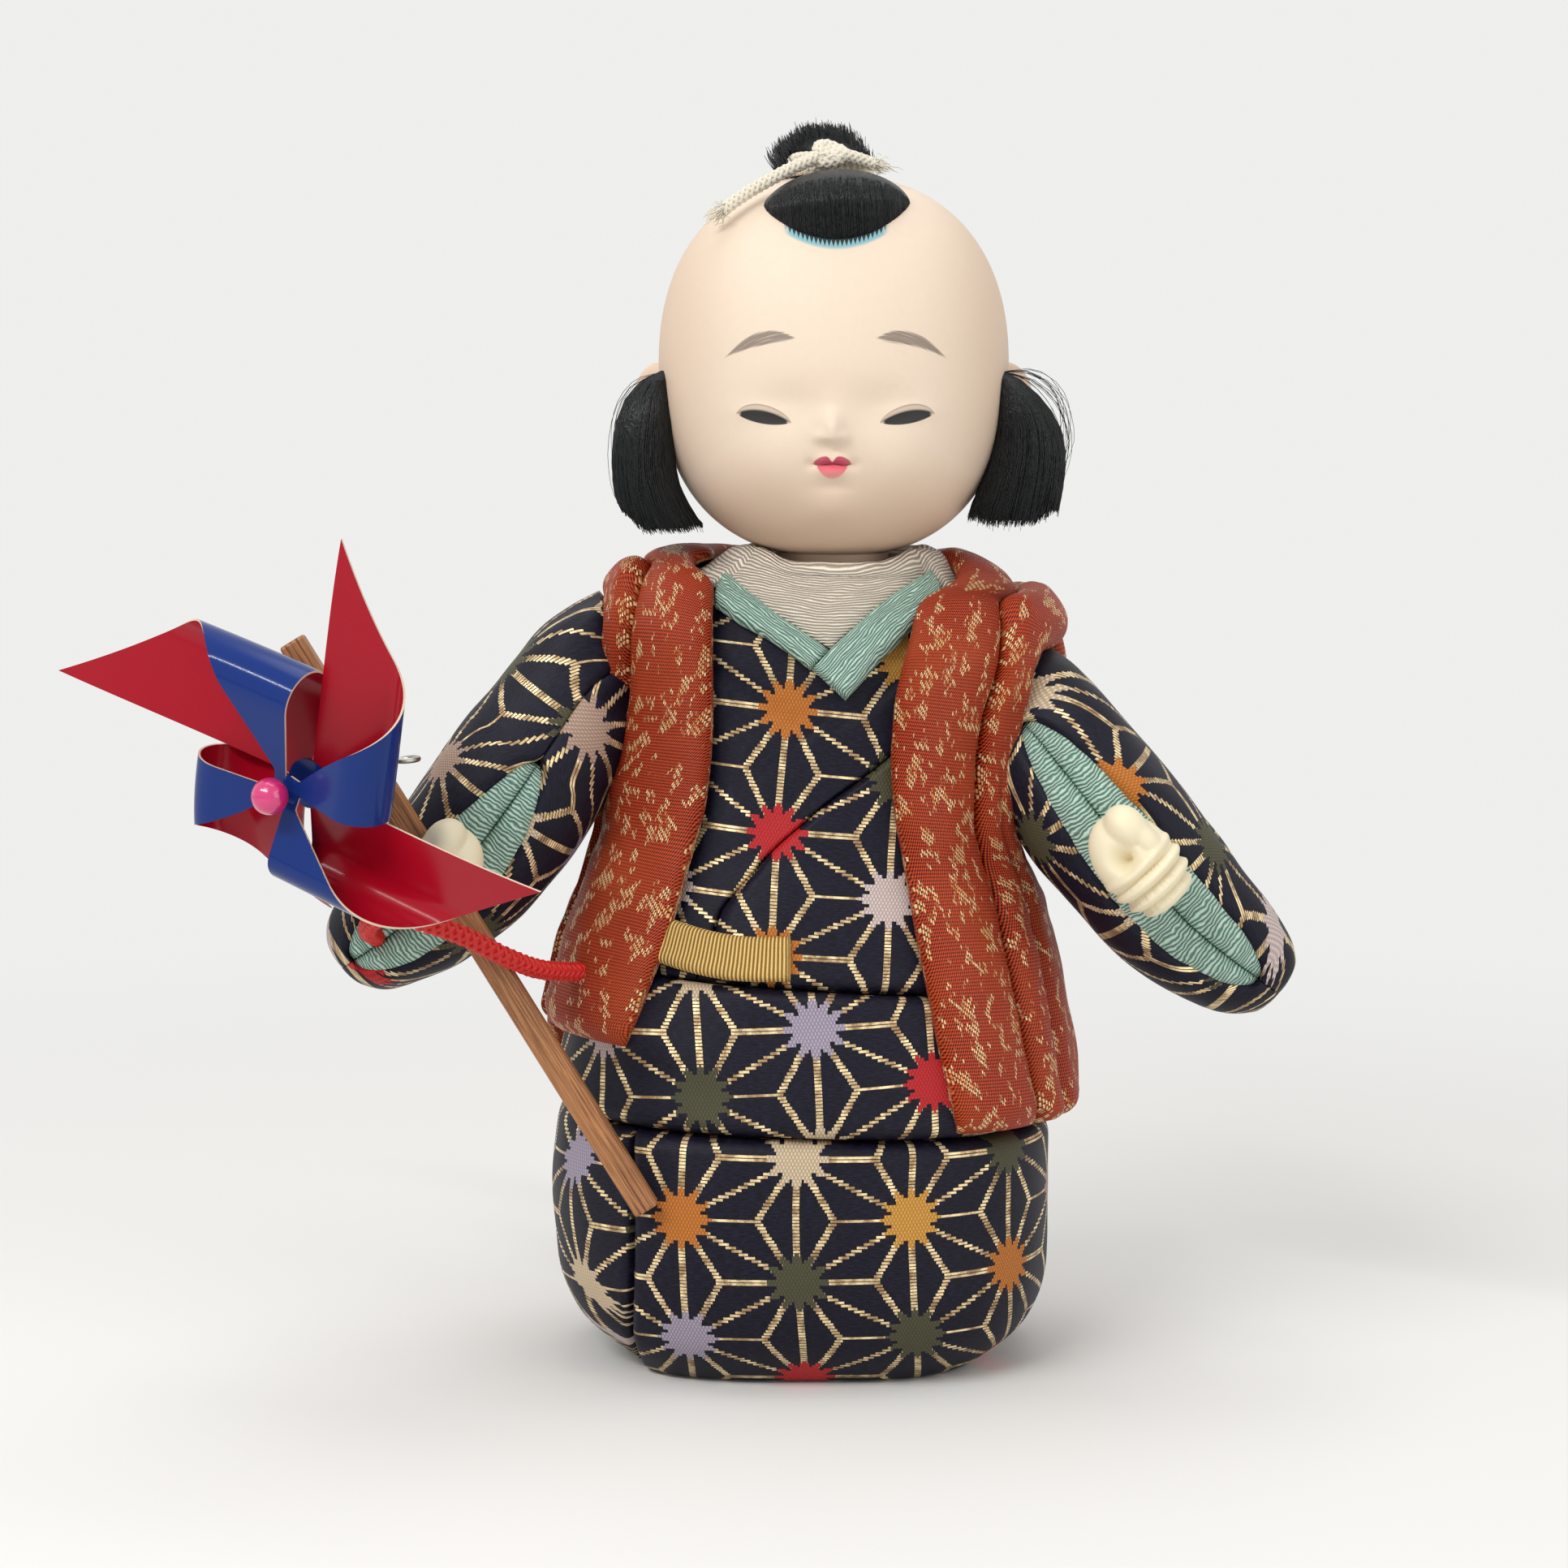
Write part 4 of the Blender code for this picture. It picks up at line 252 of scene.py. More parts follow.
# Node sums for the materials
class Look:
    """A material whose colour and relief are worked out from places on the piece."""

    def __init__(self, name, color, roughness, metallic=0.0, coat=0.0, sheen=0.0, specular=0.5):
        self.made = bpy.data.materials.new(name)
        self.made.use_nodes = True
        self.tree = self.made.node_tree
        self.shader = self.tree.nodes["Principled BSDF"]
        self.made.diffuse_color = (*color, 1.0)
        for socket, value in (("Base Color", (*color, 1.0)), ("Roughness", roughness), ("Metallic", metallic),
                              ("Coat Weight", coat), ("Sheen Weight", sheen), ("Specular IOR Level", specular)):
            self.shader.inputs[socket].default_value = value

    def feed(self, socket, value):
        if isinstance(value, bpy.types.NodeSocket):
            self.tree.links.new(value, socket)
        elif hasattr(socket.default_value, "__len__") and hasattr(value, "__len__"):
            socket.default_value = (*value, 1.0)[:len(socket.default_value)]
        else:
            socket.default_value = value

    def node(self, kind, **settings):
        made = self.tree.nodes.new(kind)
        for key, value in settings.items():
            setattr(made, key, value)
        return made

    def sum(self, kind, first, second=0.0, third=0.0):
        made = self.node("ShaderNodeMath", operation=kind)
        for socket, value in zip(made.inputs, (first, second, third)):
            self.feed(socket, value)
        return made.outputs[0]

    def chain(self, kind, terms):
        total = terms[0]
        for term in terms[1:]:
            total = self.sum(kind, total, term)
        return total

    def add(self, *terms):
        return self.chain("ADD", terms)

    def times(self, *terms):
        return self.chain("MULTIPLY", terms)

    def least(self, *terms):
        return self.chain("MINIMUM", terms)

    def most(self, *terms):
        return self.chain("MAXIMUM", terms)

    def less(self, first, second):
        return self.sum("SUBTRACT", first, second)

    def power(self, value, exponent):
        return self.sum("POWER", value, exponent)

    def below(self, value, limit):
        return self.sum("LESS_THAN", value, limit)

    def above(self, value, limit):
        return self.sum("GREATER_THAN", value, limit)

    def size(self, value):
        return self.sum("ABSOLUTE", value)

    def sine(self, value):
        return self.sum("SINE", value)

    def cosine(self, value):
        return self.sum("COSINE", value)

    def wave(self, value, pitch):
        return self.sine(self.times(value, FULL_TURN / pitch))

    def reach(self, x, y):
        return self.sum("SQRT", self.add(self.times(x, x), self.times(y, y)))

    def along(self, way, x, y, z):
        """How far a place lies along a way."""
        return self.add(self.times(x, way.x), self.times(y, way.y), self.times(z, way.z))

    def step(self, value, low, high):
        """A smooth rise from 0 at low to 1 at high; a fall where low is the larger."""
        made = self.node("ShaderNodeMapRange", interpolation_type="SMOOTHSTEP")
        before, after = (0.0, 1.0) if low < high else (1.0, 0.0)
        for socket, given in zip(made.inputs, (value, min(low, high), max(low, high), before, after)):
            self.feed(socket, given)
        return made.outputs[0]

    def mix(self, share, first, second):
        made = self.node("ShaderNodeMix", data_type="RGBA")
        for place, value in ((0, share), (6, first), (7, second)):
            self.feed(made.inputs[place], value)
        return made.outputs[2]

    def parts(self, vector):
        made = self.node("ShaderNodeSeparateXYZ")
        self.feed(made.inputs[0], vector)
        return made.outputs

    def joined(self, x, y, z=0.0):
        made = self.node("ShaderNodeCombineXYZ")
        for socket, value in zip(made.inputs, (x, y, z)):
            self.feed(socket, value)
        return made.outputs[0]

    def cloth(self):
        made = self.node("ShaderNodeUVMap", uv_map="cloth")
        return self.parts(made.outputs[0])[:2]

    def place(self):
        return self.node("ShaderNodeTexCoord").outputs["Object"]

    def noise(self, vector, scale, detail=2.0, roughness=0.5):
        made = self.node("ShaderNodeTexNoise")
        for socket, value in (("Vector", vector), ("Scale", scale), ("Detail", detail),
                              ("Roughness", roughness)):
            self.feed(made.inputs[socket], value)
        return made.outputs["Fac"]

    def snapped(self, value, pitch):
        """The middle of a value's pitch, and the share of the pitch that it has passed."""
        cell = self.sum("FLOOR", self.times(value, 1 / pitch))
        return self.times(self.add(cell, 0.5), pitch), self.sum("FRACT", self.times(value, 1 / pitch))

    def past(self, value, pitch):
        """How far a value lies past the nearest whole number of pitches, with its sign."""
        near = self.sum("ROUND", self.times(value, 1 / pitch))
        return self.less(value, self.times(near, pitch))

    def folded(self, value, pitch):
        return self.size(self.past(value, pitch))

    def strip(self, share, rise, fall):
        """1 within a cell and 0 at its two edges, each a pair of shares."""
        return self.times(self.step(share, *rise), self.step(share, *fall))

    def color(self, value):
        self.feed(self.shader.inputs["Base Color"], value)

    def relief(self, height, distance, strength=1.0):
        made = self.node("ShaderNodeBump")
        for socket, value in (("Strength", strength), ("Distance", distance), ("Height", height)):
            self.feed(made.inputs[socket], value)
        self.feed(self.shader.inputs["Normal"], made.outputs[0])

    def metal(self, share, metallic, roughness, drop):
        """Metal where share is 1, on cloth of a given roughness."""
        self.feed(self.shader.inputs["Metallic"], self.times(share, metallic))
        self.feed(self.shader.inputs["Roughness"], self.less(roughness, self.times(share, drop)))


# Hemp-leaf lattice of the brocade: spacing of its columns and of the stars in a column, then the height of
# a woven row and the steps in which lines and stars are woven
COLUMN, ROW = 0.0160, 0.0174
FLOAT_PITCH = 0.00047
LINE_STEP, STAR_STEP = 0.00016, 0.00033
STAR_RADIUS = 0.0046
STAR_COLORS = {
    "red": (0.60, 0.020, 0.018), "white": (0.74, 0.60, 0.56), "lilac": (0.43, 0.37, 0.46),
    "olive": (0.085, 0.082, 0.034), "orange": (0.62, 0.20, 0.020), "yellow": (0.74, 0.36, 0.055),
    "pink": (0.50, 0.34, 0.25), "cream": (0.74, 0.58, 0.38),
}
STAR_ORDER = ("olive", "orange", "lilac", "red", "cream", "yellow", "pink", "olive", "white")


def star_cell(u, v):
    """The lattice star nearest to a place on flat cloth."""
    near = round(u / COLUMN)
    cells = []
    for i in (near - 1, near, near + 1):
        shift = 0.5 * (i % 2)
        j = round(v / ROW - shift)
        cells.append((math.hypot(u - i * COLUMN, v - (j + shift) * ROW), i, j))
    return min(cells)[1:]


def star_color(cell, named):
    if cell in named:
        return STAR_COLORS[named[cell]]
    return STAR_COLORS[STAR_ORDER[(cell[0] * 5 + cell[1] * 7) % len(STAR_ORDER)]]


def lattice_lines(look, u, row):
    """Nearness to the gold lines of the lattice, in line widths: three sets, 60 degrees apart."""
    tall = ROW * math.sqrt(3) / 2
    wide = look.times(look.snapped(u, LINE_STEP)[0], tall / COLUMN)
    lines = []
    for turn, long_line, short_line in ((0.0, 0.00048, 0.00046), (60.0, 0.00033, 0.00042),
                                        (120.0, 0.00033, 0.00042)):
        c, s = math.cos(math.radians(turn)), math.sin(math.radians(turn))
        x = look.add(look.times(wide, c), look.times(row, s))
        y = look.less(look.times(row, c), look.times(wide, s))
        full = look.folded(x, tall)
        level = look.sum("ROUND", look.times(y, 2 / ROW))
        off = look.size(look.less(y, look.times(level, ROW / 2)))
        shift = look.times(look.sum("FLOORED_MODULO", level, 2.0), tall)
        away = look.folded(look.less(x, shift), tall * 2)
        masked = look.add(look.above(away, tall * 2 / 3), look.times(off, 1 / short_line))
        lines += [look.times(full, 1 / long_line), masked]
    return look.least(*lines)


def lattice_star(look, u, row):
    """1 inside the coloured star of the nearest lattice point, with its twelve woven points."""
    across = look.snapped(u, STAR_STEP)[0]
    stars = []
    for far_x, far_y in ((across, row), (look.add(across, COLUMN), look.add(row, ROW / 2))):
        x, y = look.past(far_x, COLUMN * 2), look.past(far_y, ROW)
        stars.append((x, y, look.reach(x, y)))
    (even_x, even_y, even), (odd_x, odd_y, odd) = stars
    is_odd = look.below(odd, even)
    star_x = look.add(even_x, look.times(is_odd, look.less(odd_x, even_x)))
    star_y = look.add(even_y, look.times(is_odd, look.less(odd_y, even_y)))
    bearing = look.times(look.sum("ARCTAN2", star_y, star_x), 12.0)
    edge = look.add(look.times(look.cosine(bearing), 0.17 * STAR_RADIUS), STAR_RADIUS * 0.80)
    return look.below(look.least(even, odd), edge)


def make_brocade():
    look = Look("navy brocade", (0.008, 0.008, 0.022), 0.46, specular=0.20)
    u, v = look.cloth()
    row, in_row = look.snapped(v, FLOAT_PITCH)
    woven = look.below(lattice_lines(look, u, row), 1.0)
    gold = look.times(woven, look.strip(in_row, (0.02, 0.16), (0.95, 0.76)))
    star = lattice_star(look, u, row)
    tint = look.node("ShaderNodeVertexColor", layer_name="star").outputs[0]
    dots = look.times(look.wave(u, 0.00050), look.wave(v, FLOAT_PITCH * 2))
    shade = look.add(look.times(look.step(dots, -0.2, 0.8), 0.45), 0.55)
    star_tint = look.mix(shade, (0.02, 0.015, 0.03), tint)
    glint = look.noise(look.joined(u, v), 420.0, 3.0, 0.65)
    metal = look.mix(look.step(glint, 0.36, 0.66), (0.34, 0.21, 0.10), (1.0, 0.80, 0.46))
    satin = look.noise(look.joined(u, look.times(v, 6.0)), 900.0, 2.0, 0.6)
    navy = look.mix(look.step(satin, 0.35, 0.70), (0.0012, 0.0012, 0.0035), (0.0095, 0.0085, 0.026))
    look.color(look.mix(star, look.mix(gold, navy, metal), star_tint))
    look.metal(look.times(gold, look.less(1.0, star)), 0.45, 0.50, 0.16)
    twill = look.wave(look.add(u, look.times(v, 1.6)), 0.00042)
    raised = look.add(look.times(look.most(gold, star), 0.8), look.times(twill, 0.10),
                      look.times(dots, look.times(star, 0.25)))
    look.relief(raised, 0.00016, 0.7)
    return look.made


# The rust brocade: width of a thread and length of a float
RUST_THREAD, RUST_FLOAT = 0.00030, 0.00084


def make_rust():
    look = Look("rust brocade", (0.40, 0.070, 0.018), 0.50, specular=0.28)
    u, v = look.cloth()
    column, in_column = look.snapped(u, RUST_THREAD)
    lift = look.times(look.sum("FLOORED_MODULO", look.times(column, 1 / RUST_THREAD), 3.0), RUST_FLOAT / 3)
    cell, in_cell = look.snapped(look.add(v, lift), RUST_FLOAT)
    cloud = look.noise(look.joined(column, look.times(cell, 0.62)), 300.0, 3.0, 0.66)
    swirl = look.noise(look.joined(column, look.times(cell, 0.9), 7.0), 620.0, 1.0, 0.5)
    fleck = look.times(look.step(look.add(look.times(cloud, 0.72), look.times(swirl, 0.38)), 0.580, 0.615),
                       look.strip(in_column, (0.10, 0.30), (0.92, 0.70)),
                       look.strip(in_cell, (0.05, 0.18), (0.86, 0.72)))
    twill = look.wave(look.less(look.times(u, 2.1), v), 0.00072)
    grain = look.wave(v, 0.00048)
    weave = look.add(look.times(twill, 0.5), look.times(grain, 0.35))
    # The twill and grain lines are the cloth's own weave; their near-black hollows are painted shade between the
    # threads.
    deep = look.mix(look.step(weave, -0.55, 0.55), (0.032, 0.002, 0.001), (0.60, 0.060, 0.011))
    wear = look.noise(look.joined(u, v), 55.0, 2.0, 0.5)
    base = look.mix(look.times(look.step(wear, 0.40, 0.66), 0.2), deep, (0.50, 0.090, 0.014))
    thread = look.mix(look.step(swirl, 0.35, 0.65), (0.86, 0.42, 0.13), (1.0, 0.80, 0.42))
    look.color(look.mix(fleck, base, thread))
    look.metal(fleck, 0.2, 0.48, 0.16)
    look.relief(look.add(look.times(weave, 0.5), fleck), 0.00020, 0.85)
    return look.made


def make_crepe(name, low, high, pitch, sway):
    """Crepe whose fine ribs waver, coloured low in their troughs and high on their crests as painted shade."""
    look = Look(name, high, 0.60)
    u, v = look.cloth()
    drift = look.times(look.noise(look.joined(look.times(u, 0.55), v), 420.0, 2.0, 0.5), sway)
    height = look.add(look.wave(look.add(v, drift), pitch), look.times(look.wave(u, 0.00022), 0.18))
    # Painted shade: the colour runs from low in the troughs of the ribs to high on their crests.
    look.color(look.mix(look.step(height, -1.0, 0.9), low, high))
    look.relief(height, 0.00014, 0.9)
    return look.made


def make_face():
    """Matt shell white with the painted face, and painted shade at the jaw, the sides of the face and the eye
    sockets. Face places are millimetres from its middle.
    """
    look = Look("face", (0.80, 0.66, 0.54), 0.62)
    x, y, z = look.parts(look.place())
    fine = look.noise(look.place(), 900.0, 3.0, 0.6)
    base = look.mix(fine, (0.745, 0.605, 0.470), (0.775, 0.640, 0.510))
    x = look.times(look.add(x, -HEAD_MIDDLE.x), 1000.0)
    z = look.times(look.add(z, -HEAD_MIDDLE.z), 1000.0)
    front = look.below(y, -0.004)
    side = look.size(x)
    # Painted shade: the skin turns brown towards the jaw below and towards the sides of the face, where the head
    # turns away from the light.
    low = look.step(z, -7.0, -24.0)
    rim = look.step(side, 11.0, 24.0)
    base = look.mix(look.most(look.times(low, 0.62), look.times(rim, 0.34)), base, (0.545, 0.345, 0.225))
    # Painted shade of the eye sockets: a warm brown band from brow to eye, strongest at the bridge of the nose.
    hollow = look.times(look.step(look.size(look.add(z, 1.2)), 5.0, 0.0), look.step(side, 12.0, 0.5))
    base = look.mix(look.times(hollow, 0.16), base, (0.60, 0.42, 0.31))
    base = paint_fringe(look, base, x, z, front)
    base = paint_brows(look, base, x, z, side, front)
    base = paint_eyes(look, base, z, side, front)
    look.color(paint_mouth(look, base, x, z, front))
    look.relief(fine, 0.00003, 0.5)
    return look.made


HEAD_MIDDLE = Vector((0.00415, -0.0010, 0.1419))
EYE_CORNER, EYE_LENGTH, EYE_TILT = (6.15, -6.72), 7.6, math.radians(9.5)
BROW_START, BROW_LENGTH, BROW_HEIGHT = 5.3, 10.4, 4.75
MOUTH_X, LIPS_MEET = -0.45, -12.46


def paint_eyes(look, base, z, side, front):
    """Narrow eyes, each t along from its inner corner and n up across it, with a lid line above."""
    out = look.add(side, -EYE_CORNER[0])
    up = look.add(z, -EYE_CORNER[1])
    c, s = math.cos(EYE_TILT), math.sin(EYE_TILT)
    t = look.times(look.add(look.times(out, c), look.times(up, s)), 1 / EYE_LENGTH)
    n = look.less(look.times(up, c), look.times(out, s))
    arch = look.most(look.times(t, look.less(1.0, t), 4.0), 0.0)
    inside = look.times(look.above(t, 0.0), look.below(t, 1.0))
    skew = look.add(look.times(t, 0.35), 0.83)
    top = look.times(look.power(arch, 0.85), skew)
    lid = look.times(look.power(arch, 0.62), look.times(skew, 1.78))
    floor = look.times(look.power(arch, 0.80), -0.80)
    under = look.less(top, n)
    dark = look.times(look.step(under, -0.03, 0.10), look.step(look.less(n, floor), -0.03, 0.10), inside,
                      front,
                      look.step(t, 0.99, 0.90), look.step(t, 0.01, 0.10))
    rise = look.sum("DIVIDE", look.less(n, top), look.most(look.less(lid, top), 0.02))
    shade = look.times(look.step(rise, -0.05, 0.05), look.step(rise, 1.05, 0.80), inside, front)
    line = look.times(look.step(look.size(look.add(rise, -0.92)), 0.20, 0.02), inside, front)
    lash = look.times(look.step(look.size(under), 0.20, 0.03), inside, front)
    for share, strength, color in ((shade, 0.50, (0.330, 0.240, 0.175)), (line, 0.60, (0.18, 0.120, 0.085)),
                                   (lash, 0.55, (0.070, 0.048, 0.036))):
        base = look.mix(look.times(share, strength), base, color)
    return look.mix(dark, base,
                    look.mix(look.step(under, 1.3, 0.1), (0.024, 0.022, 0.020), (0.008, 0.007, 0.007)))


def paint_brows(look, base, x, z, side, front):
    """Soft brows of fine strokes, each t along from its inner end."""
    t = look.times(look.add(side, -BROW_START), 1 / BROW_LENGTH)
    safe = look.most(look.least(t, 1.0), 0.0)
    bow = look.times(look.sine(look.times(safe, HALF_TURN)), 0.55)
    middle = look.less(look.add(BROW_HEIGHT, bow), look.times(look.power(safe, 2.3), 2.9))
    swell = look.power(look.most(look.sine(look.times(look.power(safe, 0.85), HALF_TURN)), 0.0), 0.8)
    off = look.less(z, middle)
    lean = look.add(off, look.times(safe, 1.6))
    spot = look.joined(look.times(t, 1.7), look.times(lean, 6.5), look.times(look.sum("SIGN", x), 3.0))
    stroke = look.noise(spot, 1.0, 2.0, 0.7)
    body = look.step(look.less(look.times(swell, 1.22), look.size(off)), -0.12, 0.62)
    hairs = look.times(look.step(look.add(look.times(body, 0.52), stroke), 0.66, 1.00),
                       look.above(swell, 0.02), front)
    return look.mix(look.times(hairs, 0.80), base, (0.125, 0.092, 0.072))


def paint_mouth(look, base, x, z, front):
    """Small red lips: a notched upper lip, a paler lower one and the dark line where they meet."""
    m = look.size(look.add(x, -MOUTH_X))
    gone = look.times(look.add(m, -0.95), 1 / 1.95)
    top = look.times(look.less(1.0, look.times(gone, gone)), 1.15)
    notch = look.times(look.sum("EXPONENT", look.times(m, m, -5.5)), 0.52)
    top = look.add(look.less(top, notch), -12.42)
    seam = look.add(look.times(look.cosine(look.times(m, 2.1)), 0.13), LIPS_MEET)
    flat = look.most(look.less(1.0, look.times(m, m, 1 / 4.9)), 0.0)
    bottom = look.less(-12.5, look.times(look.power(flat, 0.75), 1.95))
    upper = look.times(look.step(look.less(top, z), -0.10, 0.14), look.step(look.less(z, seam), -0.08, 0.04),
                       look.step(m, 2.75, 2.35), front)
    lower = look.times(look.step(look.less(z, bottom), -0.10, 0.26),
                       look.step(look.less(seam, z), -0.04, 0.08),
                       look.step(m, 2.25, 1.95), front)
    line = look.times(look.step(look.size(look.less(z, seam)), 0.17, 0.02), look.step(m, 3.3, 2.0), front)
    pale = look.mix(look.step(z, -14.2, -12.8), (0.80, 0.290, 0.270), (0.74, 0.075, 0.130))
    deep = look.mix(look.step(m, 0.4, 2.2), (0.46, 0.045, 0.095), (0.52, 0.090, 0.125))
    base = look.mix(upper, look.mix(look.times(lower, 0.92), base, pale), deep)
    return look.mix(look.times(line, 0.78), base, (0.22, 0.030, 0.040))


def paint_fringe(look, base, x, z, front):
    """Stubble painted under the front lock: a blue wash and black comb strokes over it."""
    bow = look.times(look.add(x, -0.1), 1 / 7.2)
    tooth = look.times(look.size(look.add(look.sum("FRACT", look.times(x, 1 / 0.60)), -0.5)), 2.0)
    inside = look.times(look.step(look.size(bow), 1.04, 0.86), front, look.below(z, 24.0))
    wash = look.step(look.less(z, look.times(bow, bow, 2.3)), 16.75, 17.35)
    base = look.mix(look.times(wash, inside, 0.85), base, (0.130, 0.420, 0.500))
    comb = look.less(z, look.add(17.30, look.times(bow, bow, 2.5), look.times(tooth, 0.95)))
    return look.mix(look.times(look.step(comb, -0.08, 0.08), inside), base, (0.008, 0.016, 0.020))


def make_hair_look(name, along, gloss):
    """Black hair with fine streaks; along is the axis that the hairs follow."""
    look = Look(name, (0.004, 0.005, 0.005), 0.27, specular=gloss)
    parts = list(look.parts(look.place()))
    parts[along] = look.times(parts[along], 0.04)
    streak = look.noise(look.joined(*parts), 5200.0, 2.0, 0.6)
    look.color(look.mix(streak, (0.0012, 0.0018, 0.002), (0.0050, 0.0066, 0.0074)))
    look.relief(streak, 0.00018, 1.0)
    return look.made


def make_bamboo():
    look = Look("bamboo", (0.50, 0.27, 0.10), 0.48)
    axis = (STICK_TOP - STICK_FOOT).normalized()
    wide = axis.cross(Vector((0.0, -1.0, 0.0))).normalized()
    x, y, z = look.parts(look.place())
    along, across = look.along(axis, x, y, z), look.along(wide, x, y, z)
    fibre = look.noise(look.joined(look.times(along, 0.035), across, y), 3800.0, 3.0, 0.65)
    flame = look.noise(look.joined(look.times(along, 0.25), look.times(across, 1.6), 3.0), 260.0, 2.0, 0.5)
    wood = look.mix(look.step(fibre, 0.30, 0.72), (0.17, 0.058, 0.018), (0.50, 0.215, 0.078))
    look.color(look.mix(look.times(look.step(flame, 0.45, 0.75), 0.5), wood, (0.38, 0.165, 0.050)))
    groove = look.folded(look.add(across, 0.00043), 0.00088)
    cut = look.times(look.step(groove, 0.00011, 0.0), look.step(flame, 0.70, 0.45))
    look.relief(look.less(look.times(fibre, 0.5), cut), 0.00020, 0.8)
    return look.made


# Pieces
def finished(name, bm, look):
    """Turn a bmesh into an object with outward faces."""
    bm.normal_update()
    bmesh.ops.recalc_face_normals(bm, faces=bm.faces)
    if bm.calc_volume(signed=True) < 0:
        bmesh.ops.reverse_faces(bm, faces=bm.faces)
    mesh = bpy.data.meshes.new(name)
    bm.to_mesh(mesh)
    bm.free()
    mesh.materials.append(look)
    mesh.shade_smooth()
    mesh.set_sharp_from_angle(angle=math.radians(75.0))
    made = bpy.data.objects.new(name, mesh)
    bpy.context.scene.collection.objects.link(made)
    return made


def show(made, body, slot, *nodes, fill=None):
    """Set a piece on its body, in place of its solids."""
    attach(made, body)
    if nodes:
        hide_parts(*nodes)
    return made


TURN_OVER = 0.0022


def stuffed(name, point, laid, across, along, look, ring=False, stars=None):
    """A stuffed or layered cloth piece: an outer and an inner face, joined at the edges.

    point(s, t, inner) places a point of either face, and laid(s, t) gives its place on flat cloth.
    """
    bm = bmesh.new()
    bmesh.ops.create_grid(bm, x_segments=across, y_segments=along, size=1.0)
    for vert in bm.verts:
        s, t = (vert.co.x + 1) / 2, (vert.co.y + 1) / 2
        vert.co = (s if ring else soft_share(s), soft_share(t), 0.0)
    cloth = bm.loops.layers.uv.new("cloth")
    tint = bm.loops.layers.float_color.new("star")
    under = bmesh.ops.duplicate(bm, geom=bm.verts[:] + bm.edges[:] + bm.faces[:])["geom"]
    lower = {item for item in under if isinstance(item, bmesh.types.BMVert)}
    bmesh.ops.reverse_faces(bm, faces=[item for item in under if isinstance(item, bmesh.types.BMFace)])
    shares = {vert: (vert.co.x, vert.co.y, vert in lower) for vert in bm.verts}
    rim = [edge for edge in bm.edges if edge.is_boundary]
    if ring:
        for end in (0.0, 1.0):
            bmesh.ops.bridge_loops(bm, edges=[edge for edge in rim if edge.is_valid and all(
                abs(vert.co.y - end) < 1e-5 for vert in edge.verts)])
    else:
        bmesh.ops.bridge_loops(bm, edges=rim)
    spots = {}
    for vert, (s, t, inner) in shares.items():
        u, v = laid(s, t)
        if inner:
            u += TURN_OVER * ((s > 0.9999) - (s < 0.0001)) * (0 if ring else 1)
            v += TURN_OVER * ((t > 0.9999) - (t < 0.0001))
        spots[vert] = (u, v)
    for face in bm.faces:
        if stars is not None:
            middle = [sum(spots[vert][i] for vert in face.verts) / len(face.verts) for i in (0, 1)]
            shade = (*star_color(star_cell(*middle), stars), 1.0)
        for loop in face.loops:
            loop[cloth].uv = spots[loop.vert]
            if stars is not None:
                loop[tint] = shade
    for vert, (s, t, inner) in shares.items():
        vert.co = point(s, t, inner)
    if ring:
        ends = [vert for vert, (s, t, inner) in shares.items() if s < 0.0001 or s > 0.9999]
        bmesh.ops.remove_doubles(bm, verts=ends, dist=1e-7)
    return finished(name, bm, look)


def rounded(share, lip):
    place = min(share, 1 - share) / lip
    return 1.0 if place >= 1 else math.sqrt(max(0.0, 1 - (1 - place) ** 2))


def on_lattice(place, star, turn=0.0):
    """Cloth laid so that a lattice star falls on a front point (x, height), turned by some degrees."""
    u0, v0 = flat_place(*front_place_of(*star))
    c, s = math.cos(math.radians(turn)), math.sin(math.radians(turn))

    def laid(s_share, t_share):
        u, v = flat_place(*place(s_share, t_share))
        return (u - u0) * c + (v - v0) * s, (v - v0) * c - (u - u0) * s
    return laid


def measured(point, across=12, along=40):
    """Cloth laid by the piece's own width and length."""
    middle = [point(0.5, i / along, False) for i in range(along + 1)]
    lengths = [0.0]
    for low, high in zip(middle, middle[1:]):
        lengths.append(lengths[-1] + (high - low).length)
    widths = []
    for j in range(along + 1):
        row = [point(i / across, j / along, False) for i in range(across + 1)]
        widths.append(sum((high - low).length for low, high in zip(row, row[1:])))

    def laid(s, t):
        return (s - 0.5) * picked(widths, t * along), picked(lengths, t * along)
    return laid


def crosswise(point):
    """Cloth laid as in measured, with its ribs along the length."""
    laid = measured(point)
    return lambda s, t: tuple(reversed(laid(s, t)))


def on_body(place, outer, inner):
    def point(s, t, is_inner):
        return skin(*place(s, t), inner(s, t) if is_inner else outer(s, t))
    return point


# Depths and edges of the clothes on the body
CLOTH_UNDER = -0.0031
SEAM = 0.00012
SKIRT_TOP, FOLD_TOP = 0.0364, 0.0570
ARMHOLE_LOW, ARMHOLE_HIGH = 0.0700, 0.1030
OVERLAP = ((0.905, 0.800), (0.855, 0.600), (0.772, 0.310), (0.689, -0.010), (0.626, -0.210),
           (0.583, -0.330), (0.480, -0.460))
PANEL_EDGE = ((0.400, -0.690), (0.217, -0.680), (0.070, -0.690), (0.000, -0.640))
COLLAR_RIGHT = (
    ((0.950, -0.345), (0.900, -0.340), (0.810, -0.345), (0.710, -0.370), (0.615, -0.445),
     (0.540, -0.515), (0.480, -0.590), (0.395, -0.690)),
    ((0.950, -0.560), (0.900, -0.590), (0.845, -0.600), (0.758, -0.635), (0.700, -0.690),
     (0.627, -0.775), (0.540, -0.850), (0.480, -0.890), (0.395, -0.930)))
